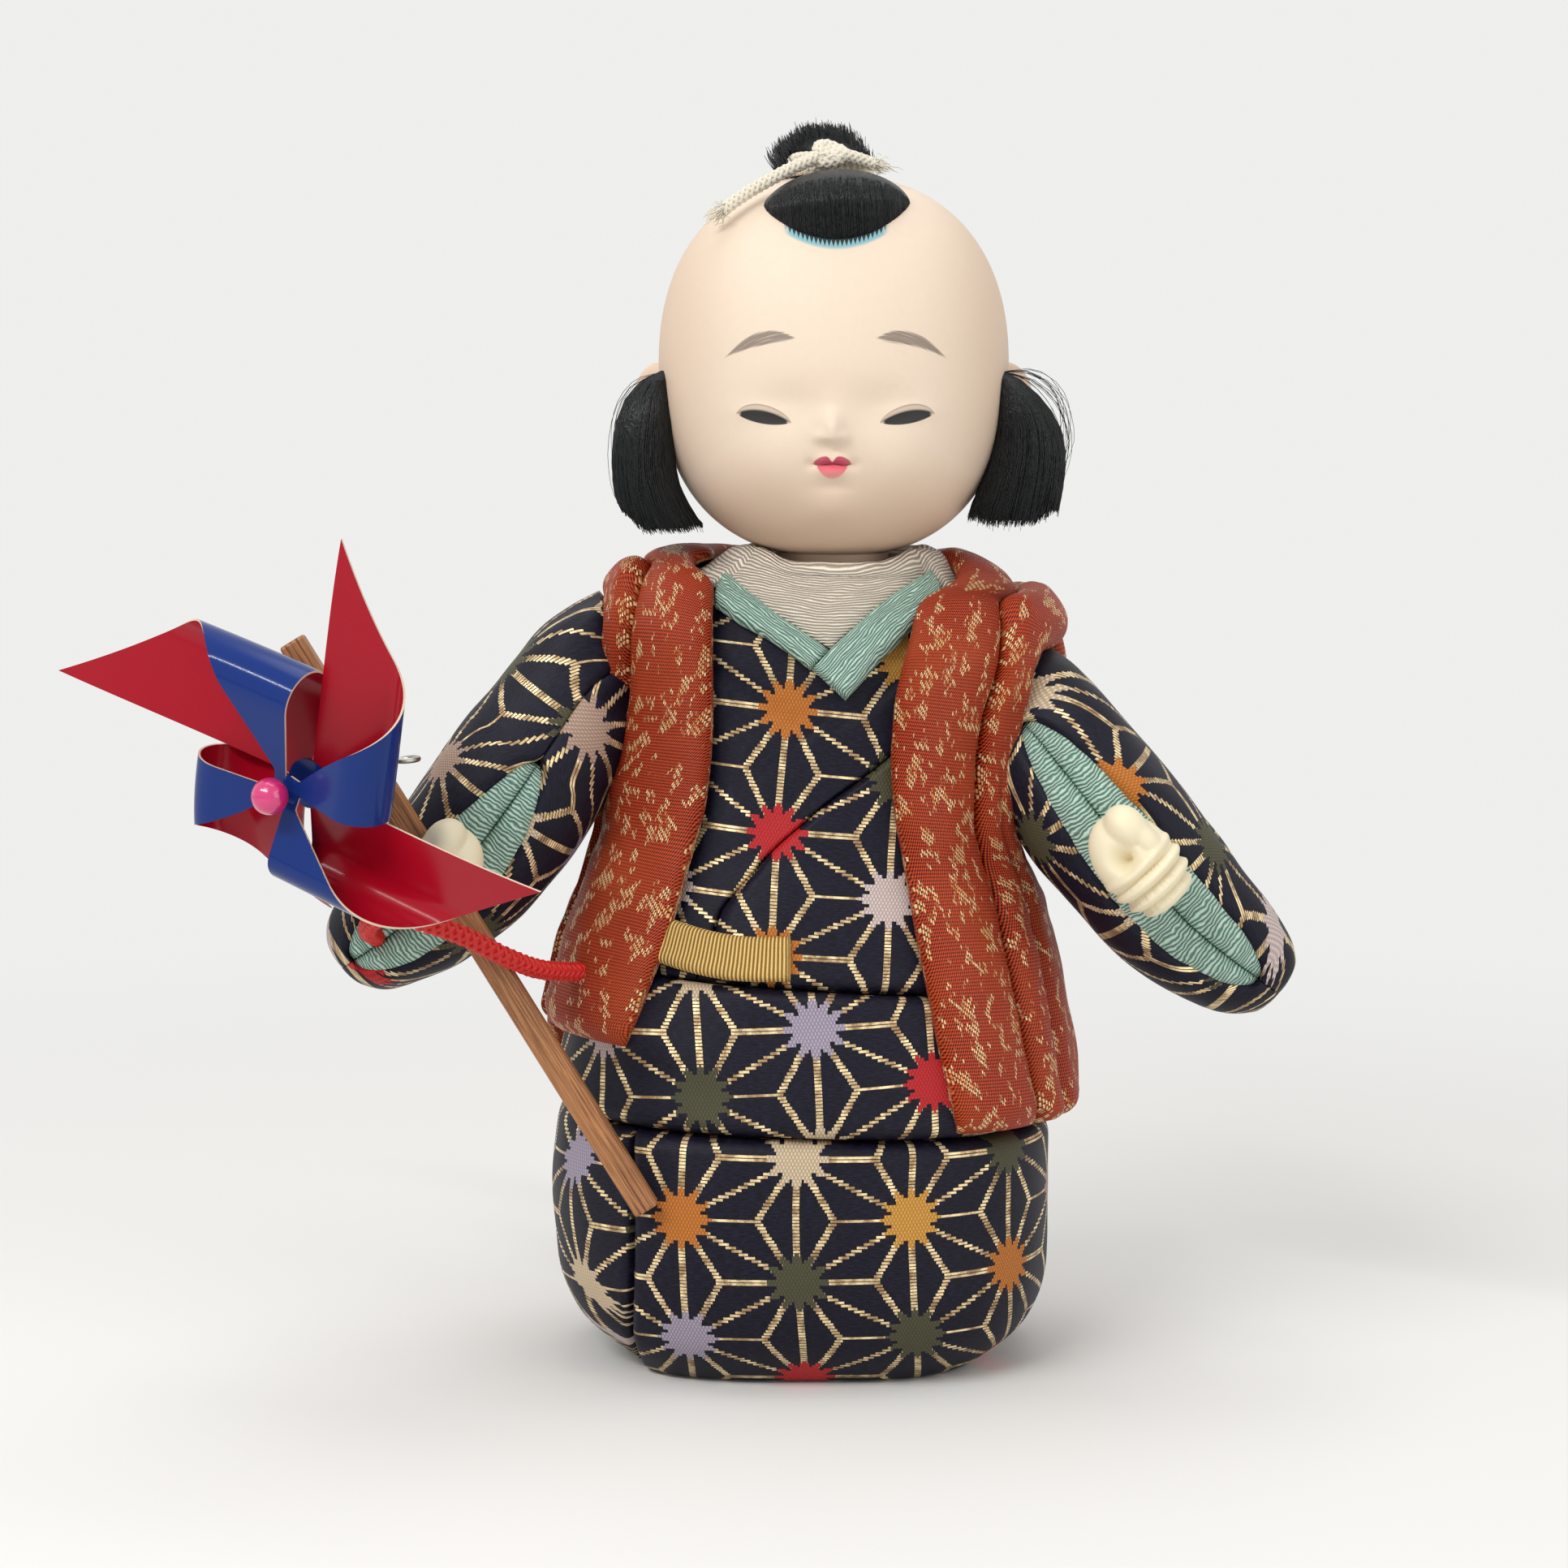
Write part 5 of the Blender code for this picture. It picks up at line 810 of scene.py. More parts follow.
COLLAR_LEFT = (
    ((0.950, 0.430), (0.900, 0.378), (0.845, 0.340), (0.773, 0.328), (0.715, 0.340),
     (0.656, 0.370), (0.600, 0.402), (0.500, 0.462), (0.325, 0.575)),
    ((0.950, 0.720), (0.900, 0.700), (0.845, 0.650), (0.773, 0.622), (0.715, 0.612),
     (0.656, 0.635), (0.600, 0.680), (0.500, 0.745), (0.325, 0.850)))
NECK_CREASE = ((-14.0, 101.4), (-5.4, 96.1), (1.0, 92.0))
SIDE_CREASE = ((12.5, 99.0), (8.6, 95.5), (5.0, 93.8))


def edge_at(table, height):
    """x of an edge drawn on the front, as shares of the body's height and half width."""
    share = height / BODY_HEIGHT
    if share >= table[0][0]:
        return table[0][1] * BODY_HALF_WIDTH
    for i, ((top, _), (low, _)) in enumerate(zip(table, table[1:])):
        if share >= low:
            place = i + (top - share) / (top - low)
            return table_at([(row[1],) for row in table], place)[0] * BODY_HALF_WIDTH
    return table[-1][1] * BODY_HALF_WIDTH


@functools.lru_cache(maxsize=None)
def edge_angle(table, station):
    return front_angle(edge_at(table, body_ring(station)[0]), station)


def seam_angle(station):
    ring = body_ring(station)
    return SEAM / (ring[1] + ring[2])


def crease(x, z, points, width):
    """1 on a line drawn on the front, and 0 beside it."""
    here, nearest = Vector((x, z)), 1.0
    for start, end in zip(points, points[1:]):
        start, way = Vector(start) * MM, (Vector(end) - Vector(start)) * MM
        share = clamp((here - start).dot(way) / way.length_squared)
        nearest = min(nearest, (here - start - way * share).length)
    return bump(nearest, 0.0, width)


def wavy(place, amount, scale, seed):
    """Soft hills and hollows of the cloth."""
    def height(s, t):
        angle, station = place(s, t)
        here = body_point(angle, station)
        return amount * (rough(here, scale, seed) + 0.4 * rough(here, scale * 0.42, seed + 5.0))
    return height


def make_skirt(brocade):
    low, high = 0.0, station_at(SKIRT_TOP)
    side = math.radians(18.0)

    @functools.lru_cache(maxsize=None)
    def front_place(s, t):
        station = between(low, high, t)
        return between(edge_angle(PANEL_EDGE, station) + seam_angle(station), side - seam_angle(station),
                       s), station

    @functools.lru_cache(maxsize=None)
    def back_place(s, t):
        station = between(low, high, t)
        end = edge_angle(PANEL_EDGE, station) + FULL_TURN - seam_angle(station)
        return between(side + seam_angle(station), end, s), station

    def depths(place, out, lip, seed):
        wave = wavy(place, 0.00022, 0.012, seed)

        def outer(s, t):
            station = place(s, t)[1]
            soft = ramp(station, 0.6, 3.0)
            turned = rounded(s, lip) * rounded(max(t, 0.5), 0.035)
            full = between(CLOTH_UNDER * 0.75, out, turned)
            return between(0.0, full + wave(s, t) * turned, soft)
        return outer

    front = on_body(front_place, depths(front_place, 0.0005, 0.022, 3.0), lambda s, t: CLOTH_UNDER)
    back = on_body(back_place, depths(back_place, -0.0002, 0.012, 8.0), lambda s, t: CLOTH_UNDER)
    stars = {(0, 0): "olive", (0, 1): "cream", (1, 0): "yellow", (-1, 0): "orange", (-1, -1): "lilac",
             (1, -1): "olive", (0, -1): "red", (2, 0): "orange", (2, 1): "olive", (1, 1): "orange"}
    made = stuffed("skirt_front", front, on_lattice(front_place, (-0.0010, 0.0167), 1.0), 110, 80, brocade,
                   stars=stars)
    show(made, "figure", "navy_brocade", "skirt_front", fill=0.5)
    stars = {(0, 0): "orange", (0, 1): "olive", (1, 0): "cream", (-1, 0): "lilac", (-1, 1): "red"}
    made = stuffed("skirt_back", back, on_lattice(back_place, (-0.0290, 0.0150), 2.0), 150, 80, brocade,
                   stars=stars)
    show(made, "figure", "navy_brocade", "skirt_back", fill=0.5)


def make_waist_fold(brocade):
    low, high = station_at(SKIRT_TOP + SEAM * 2), station_at(FOLD_TOP)

    @functools.lru_cache(maxsize=None)
    def place(s, t):
        return between(FRONT - HALF_TURN, FRONT + HALF_TURN, s), between(low, high, t)

    wave = wavy(place, 0.00035, 0.011, 12.0)

    def outer(s, t):
        angle = place(s, t)[0]
        pleat = 0.0007 * bump(angle, FRONT - 0.86, 0.07) * ramp(t, 0.55, 1.0)
        lip = rounded(t, 0.10)
        return between(CLOTH_UNDER * 0.6, 0.0010, lip) + (wave(s, t) - pleat) * lip

    laid = on_lattice(place, (0.0012, 0.0518), 6.0)
    stars = {(0, 0): "lilac", (-1, -1): "olive", (1, -1): "red", (1, 0): "orange", (0, -1): "cream"}
    made = stuffed("waist_fold", on_body(place, outer, lambda s, t: CLOTH_UNDER), laid, 240, 44, brocade,
                   ring=True, stars=stars)
    show(made, "figure", "navy_brocade", "waist_fold", fill=0.5)


def make_bodice(brocade):
    low, high = station_at(FOLD_TOP + SEAM * 2), NECK_STATION - 0.05
    corner = station_at(OVERLAP[0][0] * BODY_HEIGHT)

    @functools.lru_cache(maxsize=None)
    def under_place(s, t):
        station = between(low, high, t)
        end = -seam_angle(station)
        if station < corner:
            end = edge_angle(OVERLAP, station) - seam_angle(station)
        return between(-HALF_TURN + seam_angle(station), end, s), station

    @functools.lru_cache(maxsize=None)
    def over_place(s, t):
        station = between(low, corner, t)
        return between(edge_angle(OVERLAP, station) + seam_angle(station), -seam_angle(station), s), station

    @functools.lru_cache(maxsize=None)
    def back_place(s, t):
        station = between(low, high, t)
        return between(seam_angle(station), HALF_TURN - seam_angle(station), s), station

    def depths(place, out, lip, seed):
        wave = wavy(place, 0.00040, 0.010, seed)

        def outer(s, t):
            turned = rounded(s, lip) * rounded(t, 0.04)
            here = body_point(*place(s, t))
            fold = 0.0 if here.y > 0 else 0.0008 * crease(here.x, here.z, NECK_CREASE, 0.0007)
            tuck = 0.0 if here.y > 0 else 0.0005 * crease(here.x, here.z, SIDE_CREASE, 0.0009)
            return between(CLOTH_UNDER * 0.5, out, turned) + wave(s, t) * turned - fold - tuck
        return outer

    pieces = (
        ("kimono_under_front", "kimono_front_right", under_place, -0.0009, 0.03, (-0.0025, 0.0954), 0.0,
         {(0, 0): "orange", (0, -1): "red", (1, -1): "olive", (-1, -1): "pink"}),
        ("kimono_over_front", "kimono_front_left", over_place, 0.0004, 0.05, (-0.0038, 0.0785), 1.0,
         {(0, 0): "red", (1, -1): "white", (0, -1): "orange", (1, 0): "olive", (0, 1): "orange", (2, 0): "lilac"}),
        ("kimono_back", "kimono_back", back_place, -0.0002, 0.03, (0.0012, 0.0800), 0.0, {}),
    )
    for name, node, place, out, lip, star, turn, stars in pieces:
        point = on_body(place, depths(place, out, lip, len(name) * 1.7), lambda s, t: CLOTH_UNDER)
        made = stuffed(name, point, on_lattice(place, star, turn), 90, 90, brocade, stars=stars)
        show(made, "figure", "navy_brocade", node, fill=0.5)


# Front places of the crepe bands, in millimetres: inner and outer edge, a row at a time up from the V
BAND_OVER = (((0.8, 101.0), (5.6, 96.6)), ((3.6, 103.7), (8.0, 99.2)), ((7.0, 106.6), (10.4, 101.9)),
             ((10.4, 109.2), (12.9, 104.2)), ((14.0, 111.4), (15.6, 106.7)), ((17.0, 113.0), (18.8, 110.0)))
BAND_UNDER = (((3.4, 103.4), (0.7, 100.8)), ((0.1, 105.7), (-2.3, 103.1)), ((-3.8, 108.1), (-5.5, 105.2)),
              ((-7.4, 110.7), (-9.0, 107.0)), ((-10.4, 113.0), (-12.6, 109.3)))


def on_front(point):
    return front_place_of(point[0] * MM, point[1] * MM)


def make_collar(cream, mint):
    over = [[on_front(point) for point in row] for row in BAND_OVER]
    under = [[on_front(point) for point in row] for row in BAND_UNDER]
    line = sorted([row[0] for row in under[1:]] + [row[0] for row in over[1:]])

    @functools.lru_cache(maxsize=None)
    def bib_place(s, t):
        angle = between(FRONT - HALF_TURN, FRONT + HALF_TURN, s)
        hem = 16.6
        for (low, first), (high, second) in zip(line, line[1:]):
            if low <= angle <= high:
                hem = between(first, second, (angle - low) / (high - low))
        return angle, between(hem, NECK_STATION, t)

    wave = wavy(bib_place, 0.0004, 0.005, 21.0)

    def bib_outer(s, t):
        aside = ramp(abs(bib_place(s, t)[0] - FRONT), 0.5, 1.25)
        cushion = between(0.0001, 0.0025, aside) * math.sin(HALF_TURN * ramp(t, 0.0, 1.25))
        return between(0.0003, 0.0009, rounded(t, 0.25)) + cushion + wave(s, t) * rounded(t, 0.3)

    bib = on_body(bib_place, bib_outer, lambda s, t: -0.0002)

    def laid(s, t):
        at = skin(*bib_place(s, t), 0.0)
        return flat_place(*bib_place(s, t))[0], at.z - math.hypot(at.x - HEAD_MIDDLE.x, at.y) * 0.6

    made = stuffed("under_collar", bib, laid, 200, 40, cream, ring=True)
    show(made, "figure", "cream_crepe", "under_collar", fill=0.6)
    for word, rows, out in (("left", over, 0.0027), ("right", under, 0.0021)):
        place = rows_place(rows)
        wave = wavy(place, 0.00025, 0.005, 30.0 + len(rows))

        def outer(s, t, wave=wave, out=out):
            return between(0.0002, out, rounded(s, 0.22) * rounded(t, 0.05)) + wave(s, t)
        point = on_body(place, outer, lambda s, t: -0.0002)
        made = stuffed(f"collar_band_{word}", point, crosswise(point), 34, 90, mint)
        show(made, "figure", "mint_crepe", f"collar_band_{word}", fill=0.6)


def make_obi(gold):
    @functools.lru_cache(maxsize=None)
    def place(s, t):
        across = 0.0060 * (s - 0.5)
        height = between(0.0630, 0.0612, t) - 0.0008 * math.sin(HALF_TURN * t) + across
        start = edge_at(COLLAR_RIGHT[0], 0.0630 + across) - 0.0012
        return front_place_of(between(start, -0.0020, t), height)

    def outer(s, t):
        return between(0.0004, 0.0018, rounded(s, 0.2) * rounded(t, 0.03))

    point = on_body(place, outer, lambda s, t: 0.0002)
    made = stuffed("obi", point, measured(point), 16, 60, gold)
    show(made, "figure", "gold_ribbon", "obi", fill=0.3)


# The padded vest
SHOULDER_IN, SHOULDER_OUT = {-1: 0.0172, 1: 0.0136}, {-1: 0.0262, 1: 0.0236}
SHOULDER_END = 0.0282


@functools.lru_cache(maxsize=None)
def shoulder_station(half_width):
    return solve(lambda s: half_width - body_ring(s)[1], station_at(ARMHOLE_HIGH), NECK_STATION)


def collar_rows(edges, side, hem):
    rows = []
    top = edges[0][0][0] * BODY_HEIGHT
    for share in (0.0, 0.06, 0.12, 0.19, 0.26, 0.33, 0.40, 0.47, 0.54, 0.61, 0.68, 0.75, 0.82, 0.89, 0.95,
                  1.0):
        station = station_at(between(hem, top, share))
        rows.append(((edge_angle(edges[0], station), station), (edge_angle(edges[1], station), station)))
    ridge = -HALF_TURN if side < 0 else 0.0
    tops = shoulder_station(SHOULDER_IN[side]), shoulder_station(SHOULDER_OUT[side])
    last_in, last_out = rows[-1]
    for share in (0.33, 0.67, 1.0):
        rows.append(((between(last_in[0], ridge, share), between(last_in[1], tops[0], share)),
                     (between(last_out[0], ridge, share), between(last_out[1], tops[1], share))))
    return rows


def nape_rows(side):
    ridge = -HALF_TURN if side < 0 else 0.0
    middle = ridge + side * QUARTER_TURN
    rows = []
    for share in (0.2, 0.4, 0.6, 0.8, 1.0):
        angle = between(ridge, middle, share)
        ease = 0.5 - 0.5 * math.cos(HALF_TURN * share)
        rows.append(((angle, between(shoulder_station(SHOULDER_IN[side]), station_at(0.1128), ease)),
                     (angle, between(shoulder_station(SHOULDER_OUT[side]), station_at(0.1045), ease))))
    return rows


def rows_place(rows):
    flat = [(a[0], a[1], b[0], b[1]) for a, b in rows]

    @functools.lru_cache(maxsize=None)
    def place(s, t):
        first_angle, first_station, second_angle, second_station = table_at(flat, t * (len(flat) - 1))
        return between(first_angle, second_angle, s), between(first_station, second_station, s)
    return place


def vest_base(height):
    return between(0.0012, 0.0026, clamp((height - 0.0908) / 0.0128))


def make_vest(rust):
    right = collar_rows(COLLAR_RIGHT, -1, 0.0470)
    left = collar_rows(COLLAR_LEFT, 1, 0.0376)
    turned = [((a[0] + FULL_TURN, a[1]), (b[0] + FULL_TURN, b[1])) for a, b in right + nape_rows(-1)]
    place = rows_place(left + nape_rows(1) + turned[:-1][::-1])
    wave = wavy(place, 0.00045, 0.008, 40.0)

    def outer(s, t):
        height = body_ring(place(s, t)[1])[0]
        pad = between(0.0048, 0.0026, clamp((height - 0.1030) / 0.0075))
        plump = (0.10 + 0.90 * rounded(s, 0.5)) * (0.35 + 0.65 * rounded(t, 0.02))
        return vest_base(height) + pad * plump + wave(s, t) * rounded(s, 0.4)

    def inner(s, t):
        return vest_base(body_ring(place(s, t)[1])[0]) - 0.0004

    point = on_body(place, outer, inner)
    made = stuffed("vest_collar", point, measured(point, 12, 120), 34, 380, rust)
    show(made, "figure", "rust_brocade", "vest_collar", fill=0.7)
    make_vest_front(rust, -1, right)
    make_vest_front(rust, 1, left)
    make_vest_back(rust)


def make_vest_front(rust, side, collar):
    seam = -HALF_TURN if side < 0 else 0.0
    armhole = seam - side * math.radians(25.0 if side > 0 else 15.0)
    low, high = station_at(ARMHOLE_LOW), station_at(ARMHOLE_HIGH + 0.0010)
    shoulder = [second for first, second in collar if second[1] > high]
    rows = []
    for first, second in collar:
        if second[1] <= high:
            edge = between(seam, armhole, ramp(second[1], low - 0.3, low + (1.5 if side > 0 else 3.0)))
            rows.append((second, (edge, second[1])))
    for i, second in enumerate(shoulder):
        share = (i + 1) / len(shoulder)
        rows.append((second,
                     (between(armhole, seam, share), between(high, shoulder_station(SHOULDER_END), share))))
    place = rows_place(rows)
    wave = wavy(place, 0.0005, 0.009, 50.0 + side)

    def outer(s, t):
        height = body_ring(place(s, t)[1])[0]
        above = ramp(height, ARMHOLE_LOW - 0.006, ARMHOLE_LOW + 0.006)
        soft = rounded(s, between(0.14, 0.36, above))
        fold = 0.0014 * bump(s, between(0.30, 0.46, t * 1.5), 0.07) * ramp(0.62 - t, 0.0, 0.3) * (side > 0)
        pad = 0.0042 * (0.22 + 0.78 * soft) * (0.35 + 0.65 * rounded(t, 0.03))
        return vest_base(height) + pad + wave(s, t) * soft - fold

    def inner(s, t):
        return vest_base(body_ring(place(s, t)[1])[0]) - 0.0004

    word = "right" if side < 0 else "left"
    point = on_body(place, outer, inner)
    made = stuffed(f"vest_front_{word}", point, measured(point), 60, 150, rust)
    show(made, "figure", "rust_brocade", f"vest_front_{word}", fill=0.7)


def make_vest_back(rust):
    hem = station_at(0.0430)
    low, high = station_at(ARMHOLE_LOW), station_at(ARMHOLE_HIGH)

    @functools.lru_cache(maxsize=None)
    def place(s, t):
        straight = HALF_TURN * s
        ease = 0.5 + 0.5 * math.cos(HALF_TURN * abs(straight - QUARTER_TURN) / QUARTER_TURN)
        shoulder = between(shoulder_station(SHOULDER_OUT[1]), shoulder_station(SHOULDER_OUT[-1]),
                           ramp(s, 0.0, 1.0))
        station = between(hem, between(shoulder, station_at(0.1045), ease), t)
        edge = math.radians(26.0) * rounded(clamp((station - low) / (high - low)), 0.25) + seam_angle(station)
        return between(edge, HALF_TURN - edge, s), station - 0.02 * t

    wave = wavy(place, 0.0006, 0.013, 60.0)

    def outer(s, t):
        turned = rounded(s, 0.08) * rounded(t, 0.05)
        return vest_base(body_ring(place(s, t)[1])[0]) + 0.0036 * (0.3 + 0.7 * turned) + wave(s, t) * turned

    point = on_body(place, outer, lambda s, t: vest_base(body_ring(place(s, t)[1])[0]) - 0.0004)
    made = stuffed("vest_back", point, measured(point), 130, 110, rust)
    show(made, "figure", "rust_brocade", "vest_back", fill=0.7)


# Sleeves: station in rows of the table, and an offset across the arm in its own plane
SLEEVE_MIRROR, SLEEVE_REACH, SLEEVE_TOP = 0.0003, 0.0660, 0.0980
SLEEVE_HALF_WIDTH, SLEEVE_HALF_DEPTH, SLEEVE_FORWARD, SLEEVE_SQUARENESS = 0.0116, 0.0135, 0.0120, 2.3
SLEEVE_LAST = 8
# One row a station: reach, height, half width, half depth and forward place
SLEEVE_ROWS = {
    1: ((0.375, 0.990, 0.84, 0.68, 0.17), (0.462, 0.962, 0.92, 0.84, 0.42), (0.553, 0.895, 0.96, 0.95, 0.67),
        (0.644, 0.818, 1.00, 1.00, 0.83), (0.735, 0.742, 0.99, 0.96, 0.92), (0.826, 0.680, 0.90, 0.85, 0.96),
        (0.912, 0.634, 0.78, 0.72, 1.00), (0.982, 0.600, 0.60, 0.56, 1.00), (1.020, 0.580, 0.34, 0.34, 1.00)),
    -1: ((0.372, 1.036, 0.86, 0.60, 0.10), (0.455, 1.000, 0.90, 0.78, 0.36), (0.553, 0.908, 0.95, 0.94, 0.66),
         (0.644, 0.818, 1.00, 1.00, 0.83), (0.735, 0.738, 0.98, 0.96, 0.92), (0.826, 0.672, 0.88, 0.85, 0.96),
         (0.912, 0.624, 0.74, 0.72, 1.00), (0.976, 0.592, 0.52, 0.54, 1.00), (1.004, 0.577, 0.26, 0.30, 1.00)),
}
SLOT_ENDS = {1: (1.0, 6.75), -1: (2.2, 6.9)}
SLOT_HALF_WIDTH, SLOT_OFFSET, SLOT_FLOOR = 0.0054, -0.0004, -0.0130


@functools.lru_cache(maxsize=None)
def sleeve_row(side, station):
    reach, height, width, depth, forward = table_at(SLEEVE_ROWS[side], station)
    return (reach * SLEEVE_REACH, height * SLEEVE_TOP, width * SLEEVE_HALF_WIDTH,
            depth * SLEEVE_HALF_DEPTH, -forward * SLEEVE_FORWARD)


@functools.lru_cache(maxsize=None)
def sleeve_across(side, station):
    start, end = sleeve_row(side, max(0.0, station - 0.1)), sleeve_row(side, min(SLEEVE_LAST, station + 0.1))
    along = Vector((end[0] - start[0], end[1] - start[1])).normalized()
    return Vector((-along.y, along.x))


def in_sleeve(side, station, offset, y):
    row, across = sleeve_row(side, station), sleeve_across(side, station)
    x = SLEEVE_MIRROR + side * (row[0] + across.x * offset)
    return Vector((x, y, row[1] + across.y * offset - x * 0.030))


def sleeve_front(side, station, offset):
    row = sleeve_row(side, station)
    share = min(0.96, abs(offset) / row[2])
    return row[4] - row[3] * (1 - share ** SLEEVE_SQUARENESS) ** (1 / SLEEVE_SQUARENESS)


def slot_half_width(side, station):
    start, end = SLOT_ENDS[side]
    return SLOT_HALF_WIDTH * max(0.0, math.sin(HALF_TURN * clamp((station - start) / (end - start)))) ** 0.55


def make_sleeve(side, word, brocade, mint, stars, shift):
    def point(s, t, inner):
        station = SLEEVE_LAST * t
        row = sleeve_row(side, station)
        wide = slot_half_width(side, station)
        edges = []
        for offset in (SLOT_OFFSET + wide, SLOT_OFFSET - wide):
            share = min(0.99, abs(offset) / row[2])
            front = row[3] * (1 - share ** SLEEVE_SQUARENESS) ** (1 / SLEEVE_SQUARENESS)
            edges.append(math.atan2(-front, offset))
        angle = between(edges[0], edges[1] + FULL_TURN, s)
        across, along = math.cos(angle), math.sin(angle)
        radius = (abs(across / row[2]) ** SLEEVE_SQUARENESS
                  + abs(along / row[3]) ** SLEEVE_SQUARENESS) ** (-1 / SLEEVE_SQUARENESS)
        end = math.sqrt(max(0.0, 1 - clamp((station - 7.55) / 0.45) ** 2))
        here = in_sleeve(side, station, radius * across, row[4] + radius * along)
        gather = math.sin(angle * 7 + 0.8) * 0.35 * ramp(1.6 - station, 0.0, 1.4)
        lump = rough(here, 0.0085, 70.0 + side) * 0.00055 + gather * MM
        lip = min(s, 1 - s) * (row[2] + row[3]) * 3.1
        turned = math.sqrt(max(0.0, 1 - (1 - clamp(lip / 0.0021)) ** 2))
        drop = between(0.0021, -lump, turned) if wide > 0.0003 else between(0.0006, -lump, turned)
        radius = max(0.0, radius - drop) * end if not inner else max(0.0, radius - 0.0030) * end
        return in_sleeve(side, station, radius * across, row[4] + radius * along)

    steps = 48
    lengths = [0.0]
    for i in range(steps):
        low, high = sleeve_row(side, SLEEVE_LAST * i / steps), sleeve_row(side, SLEEVE_LAST * (i + 1) / steps)
        lengths.append(lengths[-1] + math.hypot(high[0] - low[0], high[1] - low[1]))

    def laid(s, t):
        row = sleeve_row(side, SLEEVE_LAST * t)
        around = (s - 0.5) * (row[2] + row[3]) * 3.1
        return picked(lengths, t * steps) - shift[0], around * side - shift[1]

    made = stuffed(f"sleeve_{word}", point, laid, 150, 110, brocade, stars=stars)
    show(made, "figure", "navy_brocade", f"sleeve_{word}", fill=0.6)
    for name, low, high in (("upper", 0.0, 1.0), ("lower", -1.0, 0.0)):
        make_lip(side, word, name, low, high, mint)


def make_lip(side, word, name, low, high, mint):
    """One stuffed lip of the lining in the opening of a sleeve."""
    def point(s, t, inner):
        station = between(*SLOT_ENDS[side], between(0.010, 0.990, t))
        wide = slot_half_width(side, station) + 0.0006
        offset = SLOT_OFFSET + wide * between(low, high, s)
        here = in_sleeve(side, station, offset, 0.0)
        crown = 0.0023 * rounded(s, 0.5) * rounded(t, 0.2)
        fold = 0.0006 * rough(here, 0.0052, 80.0 + low) + 0.0003 * rough(here, 0.0022, 90.0)
        y = sleeve_front(side, station, offset) + 0.0022 - crown + fold * rounded(t, 0.2)
        return in_sleeve(side, station, offset, SLOT_FLOOR + 0.0005 if inner else min(y, SLOT_FLOOR - 0.0002))

    made = stuffed(f"sleeve_lining_{name}_{word}", point, measured(point), 40, 100, mint)
    show(made, "figure", "mint_crepe", f"sleeve_lining_{name}_{word}", fill=0.7)


# Fists
STICK_FOOT, STICK_TOP = Vector((-0.0219, -0.0290, 0.0268)), Vector((-0.0699, -0.0299, 0.1057))


def reach_of(way, center, axes):
    """How far along a way from the origin an ellipsoid reaches, or 0 where it is missed."""
    a = sum((way.dot(axis) / axis.length_squared) ** 2 for axis in axes)
    b = -2 * sum(way.dot(axis) * center.dot(axis) / axis.length_squared ** 2 for axis in axes)
    c = sum((center.dot(axis) / axis.length_squared) ** 2 for axis in axes) - 1
    inside = b * b - 4 * a * c
    return 0.0 if inside < 0 else max(0.0, (-b + math.sqrt(inside)) / (2 * a))


def make_fist(side, word, center, ivory):
    start, end = sleeve_row(side, 1.0), sleeve_row(side, 6.6)
    along = Vector((side * (end[0] - start[0]), 0.0, end[1] - start[1])).normalized()
    across = Vector((-along.z * side, 0.0, along.x * side))
    forward = Vector((0.0, -1.0, 0.0))
    blobs = [(Vector(), (along * 0.0074, across * 0.0054, forward * 0.0050))]
    for place, wide, deep in ((0.06, 1.00, 1.12), (0.34, 1.02, 1.15), (0.62, 0.94, 1.04), (0.86, 0.76, 0.84)):
        blobs.append((along * (0.0076 * place),
                      (along * 0.00150, across * (0.0056 * wide), forward * (0.0055 * deep))))
    blobs.append((along * -0.0044 + across * 0.0022 + forward * 0.0018,
                  (along * 0.0034, across * 0.0027, forward * 0.0038)))
    blobs.append((along * -0.0016 + across * 0.0030 + forward * 0.0030,
                  (along * 0.0032, across * 0.0016, forward * 0.0022)))
    hollow = (forward * 0.9 - along * 0.36 - across * 0.20).normalized()
    bm = bmesh.new()
    bmesh.ops.create_icosphere(bm, subdivisions=6, radius=1.0)
    for vert in bm.verts:
        way = vert.co.normalized()
        reaches = [reach_of(way, *blob) * 1000 for blob in blobs]
        top = max(reaches)
        merged = top + math.log(sum(math.exp((r - top) * 3.6) for r in reaches)) / 3.6
        dip = 3.4 * math.exp(-((1 - way.dot(hollow)) / 0.050) ** 1.4)
        vert.co = center + way * (merged - dip) * MM
    wrist = Matrix.Translation(center + Vector((0.0, 0.0070, 0.0))) @ Matrix.Rotation(QUARTER_TURN, 4, "X")
    bmesh.ops.create_cone(bm, cap_ends=True, segments=32, radius1=0.0036, radius2=0.0042, depth=0.0110,
                          matrix=wrist)
    made = finished(f"fist_{word}", bm, ivory)
    show(made, "figure", "shell_white", f"hand_{word}")


